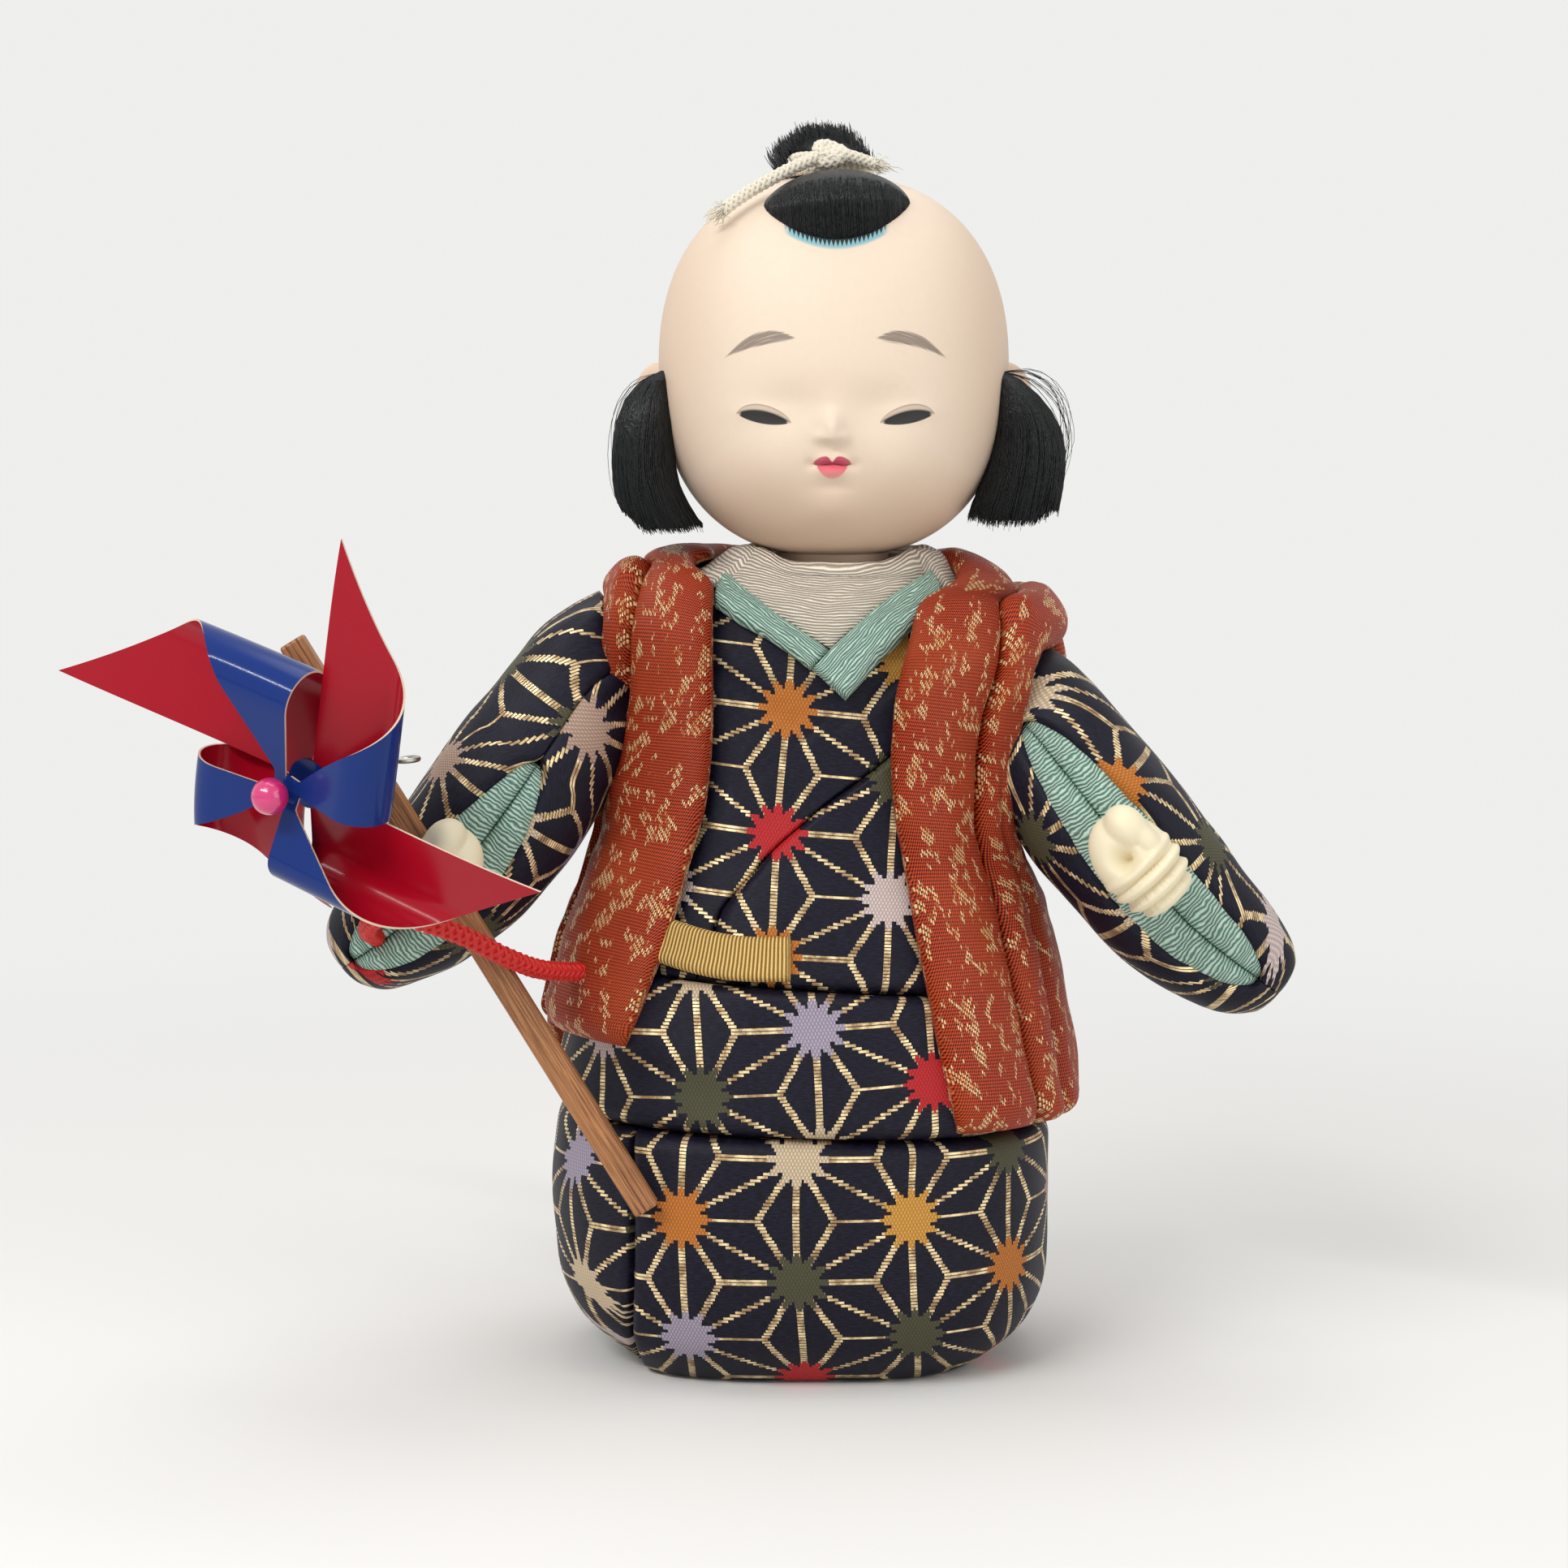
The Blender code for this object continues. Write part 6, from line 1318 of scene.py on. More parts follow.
# Head
def make_head(white):
    """Dome above, jaw below, and the low relief of the face. Relief is in millimetres from its middle."""
    bm = bmesh.new()
    bmesh.ops.create_uvsphere(bm, u_segments=288, v_segments=200, radius=1.0)
    nose = -0.55
    for vert in bm.verts:
        level = max(-1.0, min(1.0, vert.co.z))
        turn = math.atan2(vert.co.x, -vert.co.y)
        turn -= 0.42 * math.sin(turn)
        square = 2.3 if level > 0 else 2.35
        flat = math.sqrt(max(0.0, 1 - level * level)) ** (2 / square)
        tall = math.copysign(abs(level) ** (2 / square), level) * (27.2 if level > 0 else 27.0)
        x = math.sin(turn) * flat * 25.0
        y = -math.cos(turn) * flat * (22.5 if abs(turn) < QUARTER_TURN else 24.5)
        z = tall + 1.0
        if y < 0:
            face = ramp(-y, 4.0, 14.0)
            side = abs(x)
            tip = 0.45 * min(1.0, ((x - nose) / 1.7) ** 2)
            relief = 1.75 * math.exp(-((x - nose) / 1.5) ** 2) * ramp(-z, 3.9,
                                                                      7.7) * ramp(z - tip, -10.1, -8.7)
            relief += 0.30 * math.exp(-((x - nose) / 3.2) ** 2 - ((z + 6.2) / 2.6) ** 2)
            for ala in (-1.75, 1.75):
                relief += 0.75 * math.exp(-((x - nose - ala) / 0.85) ** 2 - ((z + 8.75) / 0.80) ** 2)
            relief -= 0.25 * math.exp(-((x - nose) / 0.9) ** 2 - ((z + 10.3) / 0.6) ** 2)
            relief -= 1.05 * math.exp(-((side - 6.5) / 4.6) ** 2 - ((z + 4.6) / 2.9) ** 2)
            relief += 0.55 * math.exp(-((side - 10.0) / 3.9) ** 2 - ((z + 5.3) / 1.25) ** 2)
            relief += 0.75 * math.exp(-((side - 9.5) / 5.0) ** 2 - ((z + 13.0) / 4.6) ** 2)
            m = abs(x + 0.45)
            relief += 0.62 * math.exp(-((m - 0.9) / 1.15) ** 2 - ((z + 11.75) / 0.62) ** 2)
            relief += 0.80 * math.exp(-(m / 1.6) ** 2 - ((z + 13.45) / 0.72) ** 2)
            relief -= 0.42 * math.exp(-((z + 12.45) / 0.26) ** 2) * ramp(3.4 - m, 0.0, 1.2)
            relief -= 0.45 * math.exp(-((m - 3.1) / 0.7) ** 2 - ((z + 12.4) / 0.7) ** 2)
            relief -= 0.30 * math.exp(-(m / 2.6) ** 2 - ((z + 15.6) / 0.8) ** 2)
            relief += 0.70 * math.exp(-(m / 3.6) ** 2 - ((z + 19.0) / 2.6) ** 2)
            y -= relief * face
        vert.co = HEAD_MIDDLE + Vector((x, y, z)) * MM
    for side in (-1, 1):
        ear = bmesh.ops.create_uvsphere(bm, u_segments=40, v_segments=30, radius=1.0)["verts"]
        for vert in ear:
            x, y, z = vert.co
            dish = 0.55 * math.exp(-((y + 0.75) / 0.5) ** 2 - (z / 0.55) ** 2 - ((x * side - 0.5) / 0.5) ** 2)
            vert.co = Vector((HEAD_MIDDLE.x + side * 0.0236 + x * 0.0052, 0.0042 + (y + dish) * 0.0026,
                              0.1376 + z * 0.0062 + x * side * 0.0010))
    bmesh.ops.create_cone(bm, cap_ends=True, segments=96, radius1=0.0080, radius2=0.0080, depth=0.0120,
                          matrix=Matrix.Translation((0.00405, 0.0008, 0.1203)))
    made = finished("head", bm, white)
    show(made, "head", "shell_white", "head")


# Hair
def wires(name, paths, radius, look, sides, tip=1.0, caps=True):
    """Round lines in one piece, each thinner towards its end by the factor tip."""
    curve = bpy.data.curves.new(name, "CURVE")
    curve.dimensions = "3D"
    curve.bevel_depth = radius
    curve.bevel_resolution = sides
    curve.use_fill_caps = caps
    for path in paths:
        spline = curve.splines.new("POLY")
        spline.points.add(len(path) - 1)
        for i, (target, point) in enumerate(zip(spline.points, path)):
            target.co = (*point, 1.0)
            target.radius = between(1.0, tip, (i / (len(path) - 1)) ** 3)
    curve.materials.append(look)
    made = bpy.data.objects.new(name, curve)
    bpy.context.scene.collection.objects.link(made)
    return made


def strands(name, paths, radius, look):
    """Many fine hairs in one piece."""
    return wires(name, paths, radius, look, 0, tip=0.45, caps=False)


# One row a station of a side lock: height, middle, half width and half depth, in millimetres
SIDE_ROWS = {
    -1: ((142.4, -19.6, 0.7, 1.2), (140.8, -21.1, 2.4, 3.0), (137.5, -22.2, 3.8, 4.4),
         (134.1, -22.6, 4.4, 5.0),
         (130.7, -22.9, 4.5, 5.3), (127.3, -22.7, 4.6, 5.5), (123.9, -21.9, 5.1,
                                                              5.6), (121.3, -21.0, 5.5, 5.6),
         (119.9, -20.2, 5.7, 5.5)),
    1: ((142.6, 27.0, 0.7, 1.2), (140.9, 28.7, 2.3, 3.0), (138.3, 30.2, 3.6, 4.4), (135.8, 31.1, 4.5, 5.0),
        (132.4, 31.7, 5.2, 5.3), (129.0, 31.4, 5.6, 5.5), (125.6, 30.7, 6.0, 5.6), (123.0, 30.1, 6.3, 5.6),
        (120.9, 29.6, 6.4, 5.5)),
}


def make_side_locks(hair):
    for side, word in ((-1, "right"), (1, "left")):
        chance = random.Random(7 + side)

        def place(angle, share, t, side=side):
            height, across, wide, deep = table_at(SIDE_ROWS[side], t * (len(SIDE_ROWS[side]) - 1))
            outwards = side * math.cos(angle) * share
            trim = (2.9 if side < 0 else 2.0) * ramp(outwards, 0.1,
                                                     1.0) ** 2 + 0.8 * ramp(-outwards, 0.3, 1.0) ** 2
            middle = Vector((across, -5.8, height + trim * ramp(t, 0.55, 1.0)))
            return (middle + Vector((math.cos(angle) * wide, math.sin(angle) * deep, 0.0)) * share) * MM

        bm = bmesh.new()
        bmesh.ops.create_cone(bm, cap_ends=True, segments=72, radius1=1.0, radius2=1.0, depth=1.0)
        tall = [edge for edge in bm.edges if abs(edge.verts[0].co.z - edge.verts[1].co.z) > 0.5]
        bmesh.ops.subdivide_edges(bm, edges=tall, cuts=24, use_grid_fill=True)
        for vert in bm.verts:
            t = 0.5 - vert.co.z
            angle = math.atan2(vert.co.y, vert.co.x)
            ridge = 1 + 0.035 * math.sin(angle * 23) + 0.03 * math.sin(angle * 41 + 1)
            vert.co = place(angle, 0.93 * ridge * min(1.0, math.hypot(vert.co.x, vert.co.y)), t * 0.965)
        made = finished(f"side_lock_{word}", bm, hair)
        show(made, "head", "hair", f"side_lock_{word}")
        paths = []
        for i in range(1050):
            angle = chance.uniform(0.0, FULL_TURN)
            depth = 1.0 if i % 3 else math.sqrt(chance.random())
            over = chance.uniform(-0.045, 0.022) + (0.03 if i % 31 == 0 else 0.0)
            swing = chance.gauss(0.0, 0.05)
            path = []
            for k in range(10):
                t = k / 9 * (1.0 + over)
                here = place(angle + swing * t, depth * (0.965 + 0.06 * chance.random() * t), min(t, 1.0))
                if t > 1.0:
                    here.z -= (t - 1.0) * 0.022
                path.append(here)
            paths.append(path)
        made = strands(f"side_lock_hairs_{word}", paths, 0.00008, hair)
        show(made, "head", "hair")
        make_strays(side, word, place, chance, hair)


def make_strays(side, word, place, chance, hair):
    """A few loose hairs that stand off the lock."""
    paths = []
    for i in range(16 if side > 0 else 8):
        angle = chance.uniform(-1.2, 1.2) if side > 0 else chance.uniform(2.0, 4.2)
        root = place(angle, 0.9, 0.03)
        bow = chance.uniform(0.5, 3.0) if side > 0 else chance.uniform(0.2, 1.0)
        length = chance.uniform(0.4, 0.95)
        path = []
        for k in range(12):
            t = k / 11
            here = place(angle, 1.0, t * length)
            here += Vector((side * bow * math.sin(HALF_TURN * min(1.0, t * 1.1)) * MM, 0.0,
                            1.8 * MM * math.sin(HALF_TURN * min(1.0, t * 1.6)) * (bow / 3)))
            path.append(root.lerp(here, ramp(t, 0.0, 0.2)))
        paths.append(path)
    made = strands(f"loose_hairs_{word}", paths, 0.00004, hair)
    show(made, "head", "hair")


def make_front_lock(hair):
    """Hair combed from the knot down over the brow and turned under."""
    middle = Vector((0.00420, -0.0134, 0.1647))
    half = Vector((0.0106, 0.0074, 0.0066))
    lean = math.radians(-4.0)

    def place(x, y, z):
        """A unit ball pulled to two points at its sides."""
        pinch = max(0.0, 1 - abs(x) ** 2.0) ** 0.58
        at = Vector((x * half.x, y * half.y * pinch, z * half.z * pinch * (1.19 if z < 0 else 0.82)))
        at.y += 0.0030 * x * x
        return middle + Matrix.Rotation(lean, 3, "Y") @ at

    bm = bmesh.new()
    bmesh.ops.create_uvsphere(bm, u_segments=120, v_segments=80, radius=1.0,
                              matrix=Matrix.Rotation(QUARTER_TURN, 4, "Y"))
    for vert in bm.verts:
        x, y, z = vert.co
        r = max(1e-6, math.hypot(y, z))
        vert.co = place(x, y / r * min(1.0, r / max(1e-6, math.sqrt(max(1e-9, 1 - x * x)))),
                        z / r * min(1.0, r / max(1e-6, math.sqrt(max(1e-9, 1 - x * x)))))
    made = finished("front_lock", bm, hair)
    show(made, "head", "hair", "front_lock")
    chance = random.Random(3)
    paths = []
    for i in range(800):
        x = chance.uniform(-0.985, 0.985)
        start, end = chance.uniform(0.25, 0.9), chance.uniform(-2.5, -1.9)
        wander = chance.gauss(0.0, 0.02)
        lift = chance.uniform(0.985, 1.018)
        path = []
        for k in range(12):
            turn = between(start, end, k / 11)
            path.append(place(x * (0.86 + 0.14 * abs(math.cos(turn)) ** 0.5) + wander * k / 11,
                              -math.cos(turn) * lift, math.sin(turn) * lift))
        paths.append(path)
    made = strands("front_lock_hairs", paths, 0.00007, hair)
    show(made, "head", "hair")


def make_topknot(hair):
    """Brush-cut tuft that stands up out of its cord."""
    root, waist, top = Vector((0.0037, -0.0040, 0.1650)), Vector((0.0036, -0.0035,
                                                                  0.1702)), Vector((0.0022, 0.0004, 0.1757))
    chance = random.Random(11)
    bm = bmesh.new()
    bmesh.ops.create_uvsphere(bm, u_segments=64, v_segments=48, radius=1.0)
    for vert in bm.verts:
        t = (vert.co.z + 1) / 2
        middle = root.lerp(waist, t * 2) if t < 0.5 else waist.lerp(top, t * 2 - 1)
        wide = between(3.9, 6.4, ramp(t, 0.45, 1.0)) * MM
        flat = min(1.0, math.hypot(vert.co.x, vert.co.y) * 1.25)
        angle = math.atan2(vert.co.y, vert.co.x)
        vert.co = middle + Vector((math.cos(angle) * wide * flat, math.sin(angle) * wide * flat * 0.85, 0.0))
    made = finished("topknot", bm, hair)
    show(made, "head", "hair", "topknot")
    paths = []
    for i in range(2300):
        angle = chance.uniform(0.0, FULL_TURN)
        share = math.sqrt(chance.random())
        way = Vector((math.cos(angle), math.sin(angle) * 0.86, 0.0))
        start = waist + way * share * 0.0038 - Vector((0.0, 0.0, 0.0022))
        end = top + way * share * 0.0074 * chance.uniform(0.86, 1.06)
        tuft = noise.noise(Vector((math.cos(angle) * share * 2.6, math.sin(angle) * share * 2.6, 4.0)))
        end.z += 0.0014 * (1 - share * share) - 0.0026 * share ** 3 + chance.gauss(0.0, 0.0003) + 0.0011 * tuft
        end += way * 0.0010 * noise.noise(Vector((math.cos(angle) * 2.2, math.sin(angle) * 2.2, 9.0)))
        kink = Vector((chance.gauss(0.0, 0.0004), chance.gauss(0.0, 0.0004), chance.gauss(0.0, 0.0002)))
        path = []
        for k in range(6):
            t = k / 5
            path.append(start.lerp(end, t) + way * 0.0012 * share * math.sin(HALF_TURN * t) + kink * t * t)
        paths.append(path)
    made = strands("topknot_hairs", paths, 0.00008, hair)
    show(made, "head", "hair")


# Cords
def tube(name, points, radius, look, sides=4):
    return wires(name, [points], radius, look, sides)


def winding(points, radius, pitch, phase, hand, wave):
    """A line that winds round a path and dips over and under the lines that wind the other way."""
    path, run = [], 0.0
    normal = (points[1] - points[0]).orthogonal().normalized()
    for i, point in enumerate(points):
        ahead = points[min(i + 1, len(points) - 1)] - points[max(i - 1, 0)]
        tangent = ahead.normalized()
        normal = (normal - tangent * normal.dot(tangent)).normalized()
        side = tangent.cross(normal)
        if i:
            run += (point - points[i - 1]).length
        turn = hand * run / pitch * FULL_TURN + phase
        weave = radius * (1 + wave * math.cos(turn * 4 + (0.0 if hand > 0 else HALF_TURN)))
        path.append(point + normal * math.cos(turn) * weave + side * math.sin(turn) * weave)
    return path


def braid(name, points, radius, look, pitch, strand):
    """The plaited cover of a cord: four lines wind each way."""
    fine = []
    for a, b in zip(points, points[1:]):
        steps = max(1, round((b - a).length / 0.00022))
        fine += [a.lerp(b, k / steps) for k in range(steps)]
    fine.append(points[-1])
    across = radius * (1 - strand * 0.55)
    paths = [winding(fine, across, pitch, k / 4 * FULL_TURN, hand, 0.10) for hand in (1, -1) for k in range(4)]
    return wires(name, paths, radius * strand, look, 1)


CORD_ROUTE = (
    Vector((-0.0595, -0.0160, 0.0625)),
    Vector((-0.0603, -0.0270, 0.0655)),
    Vector((-0.0585, -0.0348, 0.0682)),
    Vector((-0.0550, -0.0378, 0.0690)),
    Vector((-0.0509, -0.0376, 0.0680)),
    Vector((-0.0460, -0.0354, 0.0658)),
    Vector((-0.0410, -0.0330, 0.0628)),
    Vector((-0.0368, -0.0280, 0.0603)),
    Vector((-0.0330, -0.0215, 0.0589)),
    Vector((-0.0300, -0.0165, 0.0583)),
)


def make_vest_cord():
    red = Look("red cord", (0.56, 0.008, 0.005), 0.50).made
    path = smooth_path(list(CORD_ROUTE), 4)
    core = tube("vest_cord", path, 0.00100, red)
    plait = braid("vest_cord_plait", path, 0.00118, red, pitch=0.0052, strand=0.34)
    show(core, "figure", "red_cord", "vest_cord")
    show(plait, "figure", "red_cord")


def make_topknot_cord():
    cream = Look("cream cord", (0.72, 0.66, 0.54), 0.66, sheen=0.3).made
    waist = Vector((0.0036, -0.0037, 0.1706))
    pieces = []
    for level in (-0.0003, 0.0011):
        ring = [waist + Vector((math.cos(k / 40 * FULL_TURN) * 0.0053, math.sin(k / 40 * FULL_TURN) * 0.0048,
                                level + 0.0004 * math.sin(k / 40 * FULL_TURN * 2))) for k in range(41)]
        pieces.append(ring)
    knot = Vector((0.0034, -0.0097, 0.1722))
    for size, lift, lean in ((0.0019, 0.0, 0.4), (0.0015, 0.0006, -0.5)):
        pieces.append([knot + Vector((math.cos(k / 24 * FULL_TURN) * size,
                                      math.sin(k / 24 * FULL_TURN) * 0.0010 - 0.0003,
                                      lift + math.sin(k / 24 * FULL_TURN + lean) * 0.0009)) for k in range(25)])
    left = smooth_path([Vector((-0.0114, -0.0132, 0.1646)), Vector((-0.0084, -0.0130, 0.1667)),
                        Vector((-0.0052, -0.0128, 0.1686)), Vector((-0.0020, -0.0122, 0.1703)),
                        Vector((0.0008, -0.0112, 0.1716)), Vector((0.0034, -0.0100, 0.1728)),
                        Vector((0.0056, -0.0096, 0.1722))], 6)
    right = smooth_path([Vector((0.0022, -0.0104, 0.1716)), Vector((0.0046, -0.0106, 0.1724)),
                         Vector((0.0072, -0.0098, 0.1719)), Vector((0.0096, -0.0090, 0.1711))], 6)
    pieces += [left, right]
    for i, path in enumerate(pieces):
        core = tube(f"topknot_cord_{i + 1}", path, 0.00060, cream)
        show(core, "head", "cream_cord", *(("topknot_cord",) if i == 0 else ()))
        made = braid(f"topknot_cord_plait_{i + 1}", path, 0.00080, cream, pitch=0.0036,
                     strand=0.36)
        show(made, "head", "cream_cord")
    chance = random.Random(5)
    paths = []
    for end, way, count in ((left[0], (left[0] - left[3]).normalized(), 60),
                            (right[-1], (right[-1] - right[-4]).normalized(), 60)):
        for _ in range(count):
            off = Vector((chance.gauss(0, 1), chance.gauss(0, 1), chance.gauss(0, 1))) * 0.00032
            tip = end + way * chance.uniform(0.0010, 0.0022) + off * 2.0
            path = [end - way * 0.0006 + off, end + way * 0.0006 + off * 1.2, end.lerp(tip, 0.6) + off, tip]
            paths.append(path)
    show(strands("topknot_cord_fray", paths, 0.00009, cream), "head", "cream_cord")


# Pinwheel
WHEEL_FACING = Vector((-0.560, -0.815, -0.140)).normalized()
WHEEL_REACH, ROLL_RADIUS, ROLL_SLOPE, CARD = 0.0370, 0.0044, math.radians(12.0), 0.0003
# One row a blade: length of its tip, reach of its roll, and how far the tip bends right and up
BLADES = ((1.08, 0.81, 0.0002, 0.0006, 0.0), (0.95, 0.91, -0.0006, 0.0, 0.20),
          (1.30, 1.03, 0.0010, -0.0016, 0.05),
          (0.66, 1.02, 0.0095, 0.0060, 0.10))


def wheel_frame():
    hub = STICK_FOOT.lerp(STICK_TOP, 0.788) + WHEEL_FACING * 0.0122
    right = Vector((0.0, 0.0, 1.0)).cross(WHEEL_FACING).normalized()
    return hub, WHEEL_FACING, right, WHEEL_FACING.cross(right)


def roll_at(share):
    """Length, place and heading along the rolled strip of a blade."""
    arc = ROLL_RADIUS * (HALF_TURN + 2 * ROLL_SLOPE)
    straight = (WHEEL_REACH - arc) / 2
    length = WHEEL_REACH * share
    slope = Vector((math.cos(ROLL_SLOPE), -math.sin(ROLL_SLOPE)))
    bend = slope * straight + Vector((math.sin(ROLL_SLOPE), math.cos(ROLL_SLOPE))) * ROLL_RADIUS
    if length <= straight:
        return length, slope * length, slope
    if length <= straight + arc:
        facing = -ROLL_SLOPE + (length - straight) / arc * (HALF_TURN + 2 * ROLL_SLOPE)
        heading = Vector((math.cos(facing), math.sin(facing)))
        return length, bend + Vector((heading.y, -heading.x)) * ROLL_RADIUS, heading
    back = Vector((-math.cos(ROLL_SLOPE), -math.sin(ROLL_SLOPE)))
    top = bend + Vector((back.y, -back.x)) * ROLL_RADIUS
    return length, top + back * (length - straight - arc), back


def make_wheel():
    red, blue = Look("card front", (0.34, 0.003, 0.014), 0.20), Look("card back", (0.005, 0.026, 0.165), 0.13)
    for look in (red, blue):
        look.shader.inputs["Specular IOR Level"].default_value = 0.22
    red, blue = red.made, blue.made
    rim = Look("card edge", (0.62, 0.47, 0.36), 0.70).made
    hub, facing, right, up = wheel_frame()
    bm = bmesh.new()
    for i, (tip, roll, bend_right, bend_up, hollow) in enumerate(BLADES):
        turn = math.radians(-18.0) + QUARTER_TURN * i
        stay = right * math.cos(turn) + up * math.sin(turn)
        fold = right * math.sin(turn) - up * math.cos(turn)
        sides = []
        for half, slot in ((0.5, 0), (-0.5, 1)):
            grid = bmesh.ops.create_grid(bm, x_segments=24, y_segments=72, size=1.0)["verts"]
            for vert in grid:
                s, t = (vert.co.x + 1) / 2, (vert.co.y + 1) / 2
                length, place, heading = roll_at(t)
                rest = 1 - length / WHEEL_REACH
                concave = 1 - hollow * math.sin(HALF_TURN * rest)
                out = max(WHEEL_REACH * rest * between(1.0, tip, rest) * concave, 0.0022)
                normal = facing * heading.x - fold * heading.y
                free = (s * rest) ** 2
                vert.co = (hub + fold * (place.x * roll + 0.0003) + facing * place.y + normal * (CARD * half)
                           + stay * between(0.0003, out, s) + (right * bend_right + up * bend_up) * free
                           + facing * (0.0030 * free * (1 - rest * s)))
            faces = {face for vert in grid for face in vert.link_faces}
            for face in faces:
                face.material_index = slot
            if half < 0:
                bmesh.ops.reverse_faces(bm, faces=list(faces))
            sides.append([edge for edge in {edge for vert in grid for edge in vert.link_edges} if edge.is_boundary])
        bridge = bmesh.ops.bridge_loops(bm, edges=sides[0] + sides[1])
        for face in bridge["faces"]:
            face.material_index = 2
    front = roll_at(1.0)[1].y
    for low, high, radius, slot in ((-CARD * 0.6, CARD * 0.7, 0.0034, 1),
                                    (front - CARD * 0.8, front + CARD * 1.4, 0.0021, 1)):
        middle = hub + facing * (low + high) / 2
        seat = Matrix.Translation(middle) @ facing.to_track_quat("Z", "Y").to_matrix().to_4x4()
        disc = bmesh.ops.create_cone(bm, cap_ends=True, segments=40, radius1=radius, radius2=radius,
                                     depth=high - low, matrix=seat)
        for face in {face for vert in disc["verts"] for face in vert.link_faces}:
            face.material_index = slot
    mesh = bpy.data.meshes.new("pinwheel_card")
    bm.to_mesh(mesh)
    bm.free()
    for look in (red, blue, rim):
        mesh.materials.append(look)
    mesh.shade_smooth()
    mesh.set_sharp_from_angle(angle=math.radians(50.0))
    made = bpy.data.objects.new("pinwheel_card", mesh)
    bpy.context.scene.collection.objects.link(made)
    show(made, "wheel", "gloss_card", "pinwheel")
    make_axle(front)


def make_axle(front):
    hub, facing, right, up = wheel_frame()
    steel = Look("steel wire", (0.42, 0.40, 0.36), 0.30, metallic=1.0).made
    bead_at = hub + facing * (front + CARD * 1.4 + 0.0006 + 0.0025)
    pin_at = hub - facing * 0.0122
    behind = pin_at - facing * (0.0018 + 0.0030) - up * 0.0010
    kink = right * -0.0012
    path = [bead_at + facing * 0.0005, hub, hub - facing * 0.0018, hub - facing * 0.0030 + kink,
            hub - facing * 0.0048 + kink, hub - facing * 0.0060, pin_at, pin_at - facing * 0.0030, behind]
    center = behind + right * 0.0021
    for k in range(1, 25):
        turn = k / 24 * FULL_TURN * 0.80
        path.append(center - right * (0.0021 * math.cos(turn)) - facing * (0.0021 * math.sin(turn))
                    + up * (0.0010 * k / 24))
    show(tube("pinwheel_pin", path, 0.0004, steel, sides=3), "stick", "steel_wire", "pinwheel_pin")
    pearl = Look("pink pearl", (0.60, 0.016, 0.150), 0.22, coat=1.0).made
    bm = bmesh.new()
    bmesh.ops.create_uvsphere(bm, u_segments=64, v_segments=40, radius=0.0025,
                              matrix=Matrix.Translation(bead_at))
    show(finished("pinwheel_bead", bm, pearl), "stick", "pearl", "pinwheel_bead")


# Pieces that keep their solids
def dress_solids():
    plain = {
        "body_core": Look("pressed composite", (0.05, 0.035, 0.025), 0.90).made,
        "base_plate": Look("base wood", (0.40, 0.25, 0.13), 0.70).made,
        "head_peg": Look("peg wood", (0.45, 0.30, 0.16), 0.70).made,
        "stick": make_bamboo(),
        "arm_wire_left": Look("arm wire", (0.42, 0.40, 0.36), 0.35, metallic=1.0).made,
    }
    plain["arm_wire_right"] = plain["arm_wire_left"]
    for node, look in plain.items():
        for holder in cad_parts[node].material_slots:
            holder.material = look


def make_lamp(name, place, power, width, height=None):
    lamp = bpy.data.lights.new(name, "AREA")
    if height:
        lamp.shape = "RECTANGLE"
        lamp.size_y = height
    lamp.size = width
    lamp.energy = power
    made = bpy.data.objects.new(name, lamp)
    made.location = place
    made.rotation_euler = (Vector((0.0, 0.0, 0.08)) - Vector(place)).to_track_quat("-Z", "Y").to_euler()
    bpy.context.scene.collection.objects.link(made)


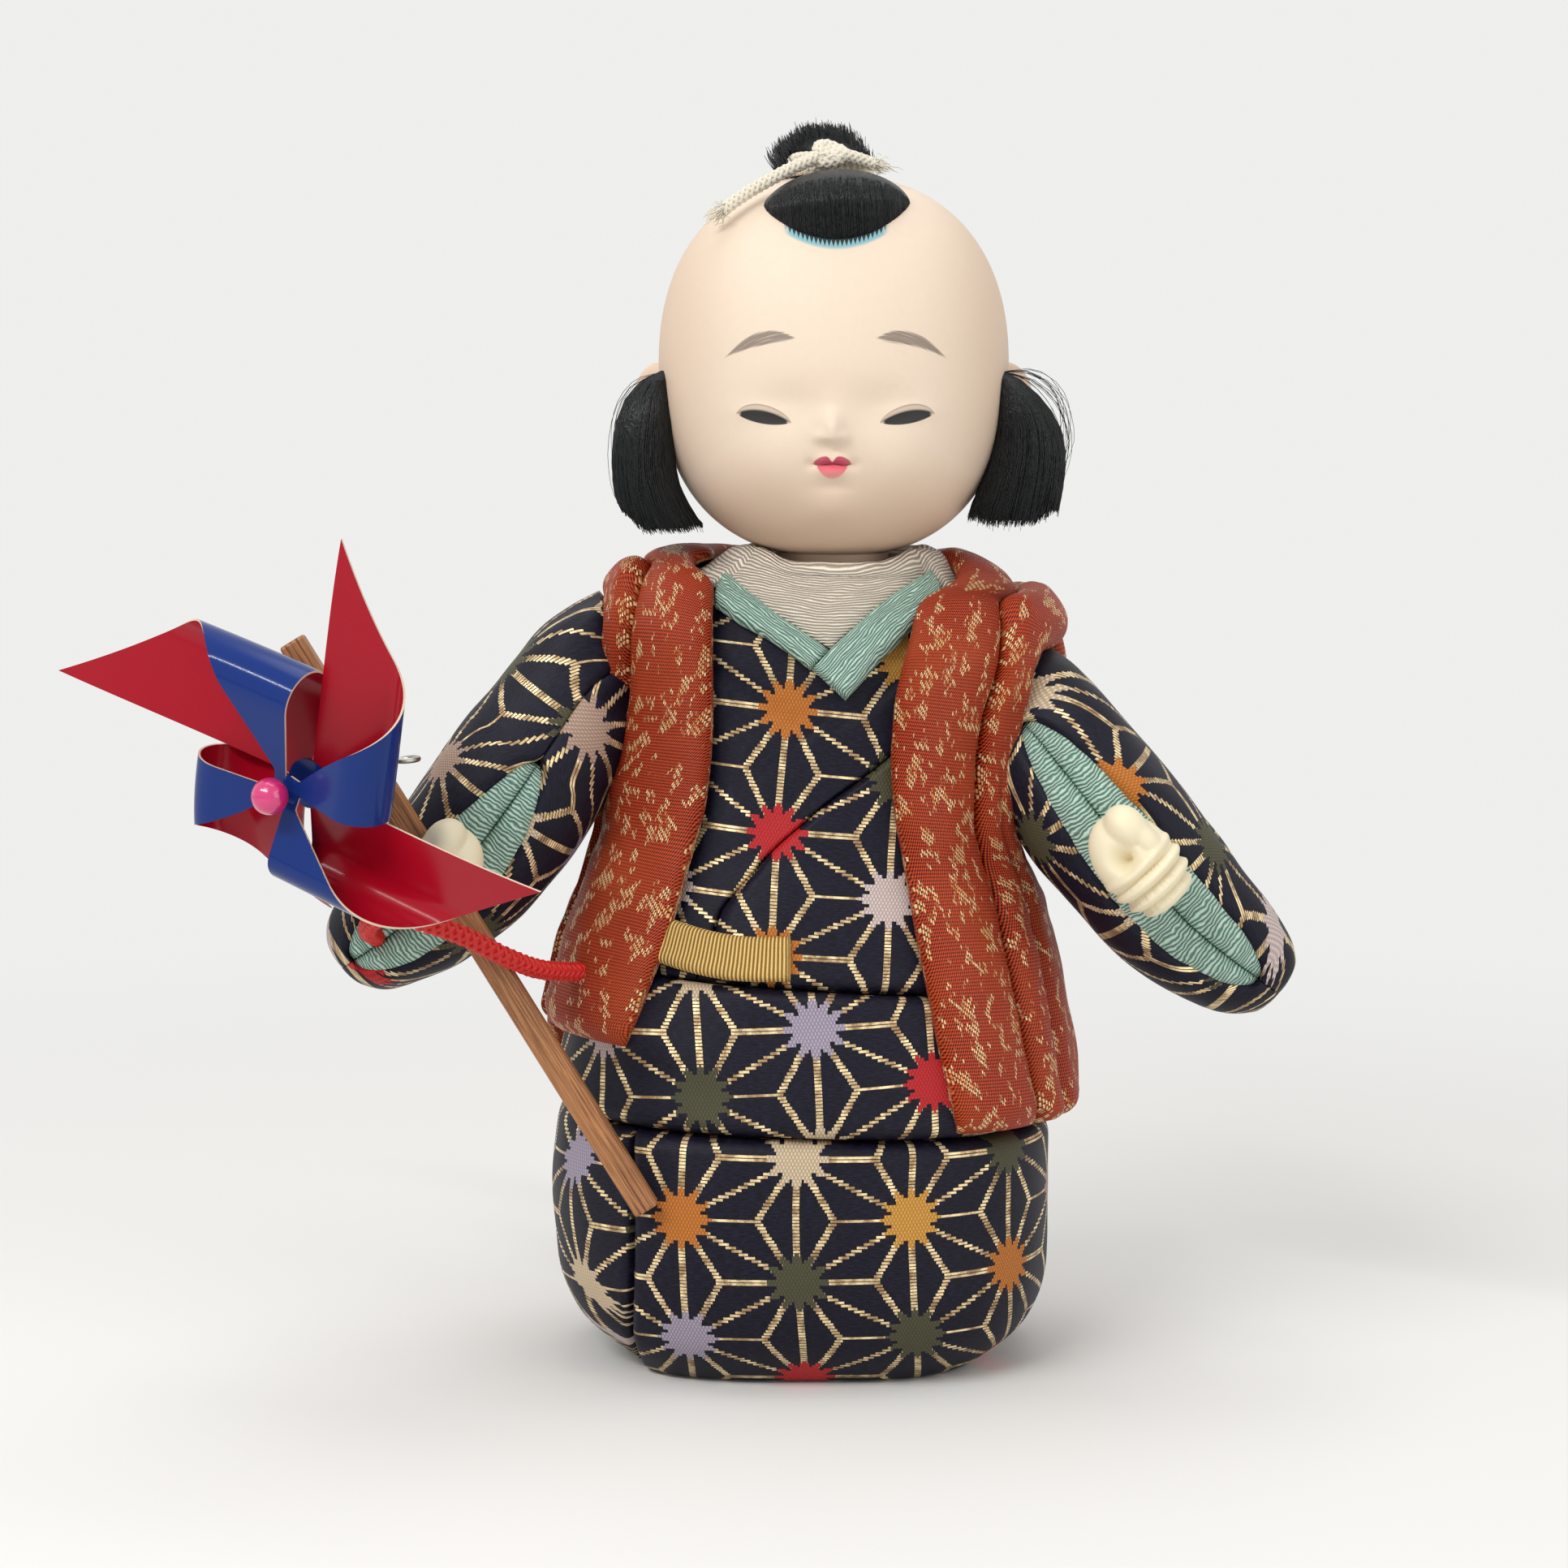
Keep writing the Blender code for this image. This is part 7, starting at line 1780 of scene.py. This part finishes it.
def make_stage():
    bm = bmesh.new()
    bmesh.ops.create_grid(bm, x_segments=1, y_segments=1, size=3.0)
    paper = Look("floor paper", (0.80, 0.79, 0.77), 0.90)
    x, y, z = paper.parts(paper.place())
    far = paper.step(paper.sum("SQRT", paper.add(paper.times(x, x), paper.times(y, y))), 0.11, 0.42)
    glow = paper.node("ShaderNodeEmission")
    glow.inputs["Color"].default_value = (0.86, 0.86, 0.85, 1.0)
    seen = paper.node("ShaderNodeMixShader")
    paper.feed(seen.inputs[0], paper.times(far, paper.node("ShaderNodeLightPath").outputs["Is Camera Ray"]))
    paper.tree.links.new(paper.shader.outputs[0], seen.inputs[1])
    paper.tree.links.new(glow.outputs[0], seen.inputs[2])
    paper.tree.links.new(seen.outputs[0], paper.tree.nodes["Material Output"].inputs[0])
    floor = finished("floor", bm, paper.made)
    make_lamp("key_light", (-0.35, -0.60, 0.70), 1.3, 0.36)
    make_lamp("fill_light", (0.60, -0.50, 0.30), 1.5, 0.60)
    make_lamp("top_light", (0.05, 0.10, 0.85), 2.2, 0.60)
    make_lamp("strip_light", (-0.45, -0.55, 0.60), 3.4, 0.70, 0.035)
    world = bpy.data.worlds.new("studio")
    bpy.context.scene.world = world
    world.use_nodes = True
    tree = world.node_tree
    room = tree.nodes["Background"]
    room.inputs["Color"].default_value = (0.86, 0.86, 0.85, 1.0)
    room.inputs["Strength"].default_value = 0.62
    backdrop = tree.nodes.new("ShaderNodeBackground")
    backdrop.inputs["Color"].default_value = (0.86, 0.86, 0.85, 1.0)
    backdrop.inputs["Strength"].default_value = 1.0
    rays = tree.nodes.new("ShaderNodeLightPath")
    both = tree.nodes.new("ShaderNodeMixShader")
    last = rays.outputs["Is Camera Ray"]
    for kind in ("Is Glossy Ray", "Is Transmission Ray"):
        either = tree.nodes.new("ShaderNodeMath")
        either.operation = "MAXIMUM"
        tree.links.new(last, either.inputs[0])
        tree.links.new(rays.outputs[kind], either.inputs[1])
        last = either.outputs[0]
    tree.links.new(last, both.inputs[0])
    tree.links.new(room.outputs[0], both.inputs[1])
    tree.links.new(backdrop.outputs[0], both.inputs[2])
    tree.links.new(both.outputs[0], tree.nodes["World Output"].inputs[0])
    bpy.context.scene.view_settings.view_transform = "Standard"


def main():
    make_vest_cord()
    make_topknot_cord()
    dress_solids()
    brocade, rust = make_brocade(), make_rust()
    # The first colour given to each crepe is the painted shade in the troughs of its ribs.
    mint = make_crepe("mint crepe", (0.085, 0.195, 0.150), (0.580, 0.790, 0.670), 0.00058, 0.0017)
    cream = make_crepe("cream crepe", (0.38, 0.29, 0.20), (0.98, 0.92, 0.82), 0.00048, 0.0009)
    gold = make_crepe("gold ribbon", (0.22, 0.095, 0.006), (0.95, 0.66, 0.22), 0.00056, 0.00008)
    make_skirt(brocade)
    make_waist_fold(brocade)
    make_bodice(brocade)
    make_collar(cream, mint)
    make_obi(gold)
    make_vest(rust)
    make_sleeve(-1, "right", brocade, mint, {(0, 0): "olive", (1, 0): "pink"}, (0.012, 0.020))
    stars = {(1, -2): "orange", (1, 2): "olive", (0, -1): "cream", (2, -1): "olive", (3, -2): "olive",
             (3, 2): "olive"}
    make_sleeve(1, "left", brocade, mint, stars, (0.0041, -0.0122))
    ivory = Look("ivory shell white", (0.80, 0.71, 0.50), 0.50).made
    make_fist(-1, "right", STICK_FOOT.lerp(STICK_TOP, 0.594), ivory)
    make_fist(1, "left", Vector((0.0452, -0.0290, 0.0756)), ivory)
    make_head(make_face())
    upright = make_hair_look("black hair", 2, 0.32)
    make_side_locks(upright)
    make_front_lock(upright)
    make_topknot(upright)
    make_wheel()
    make_stage()


main()
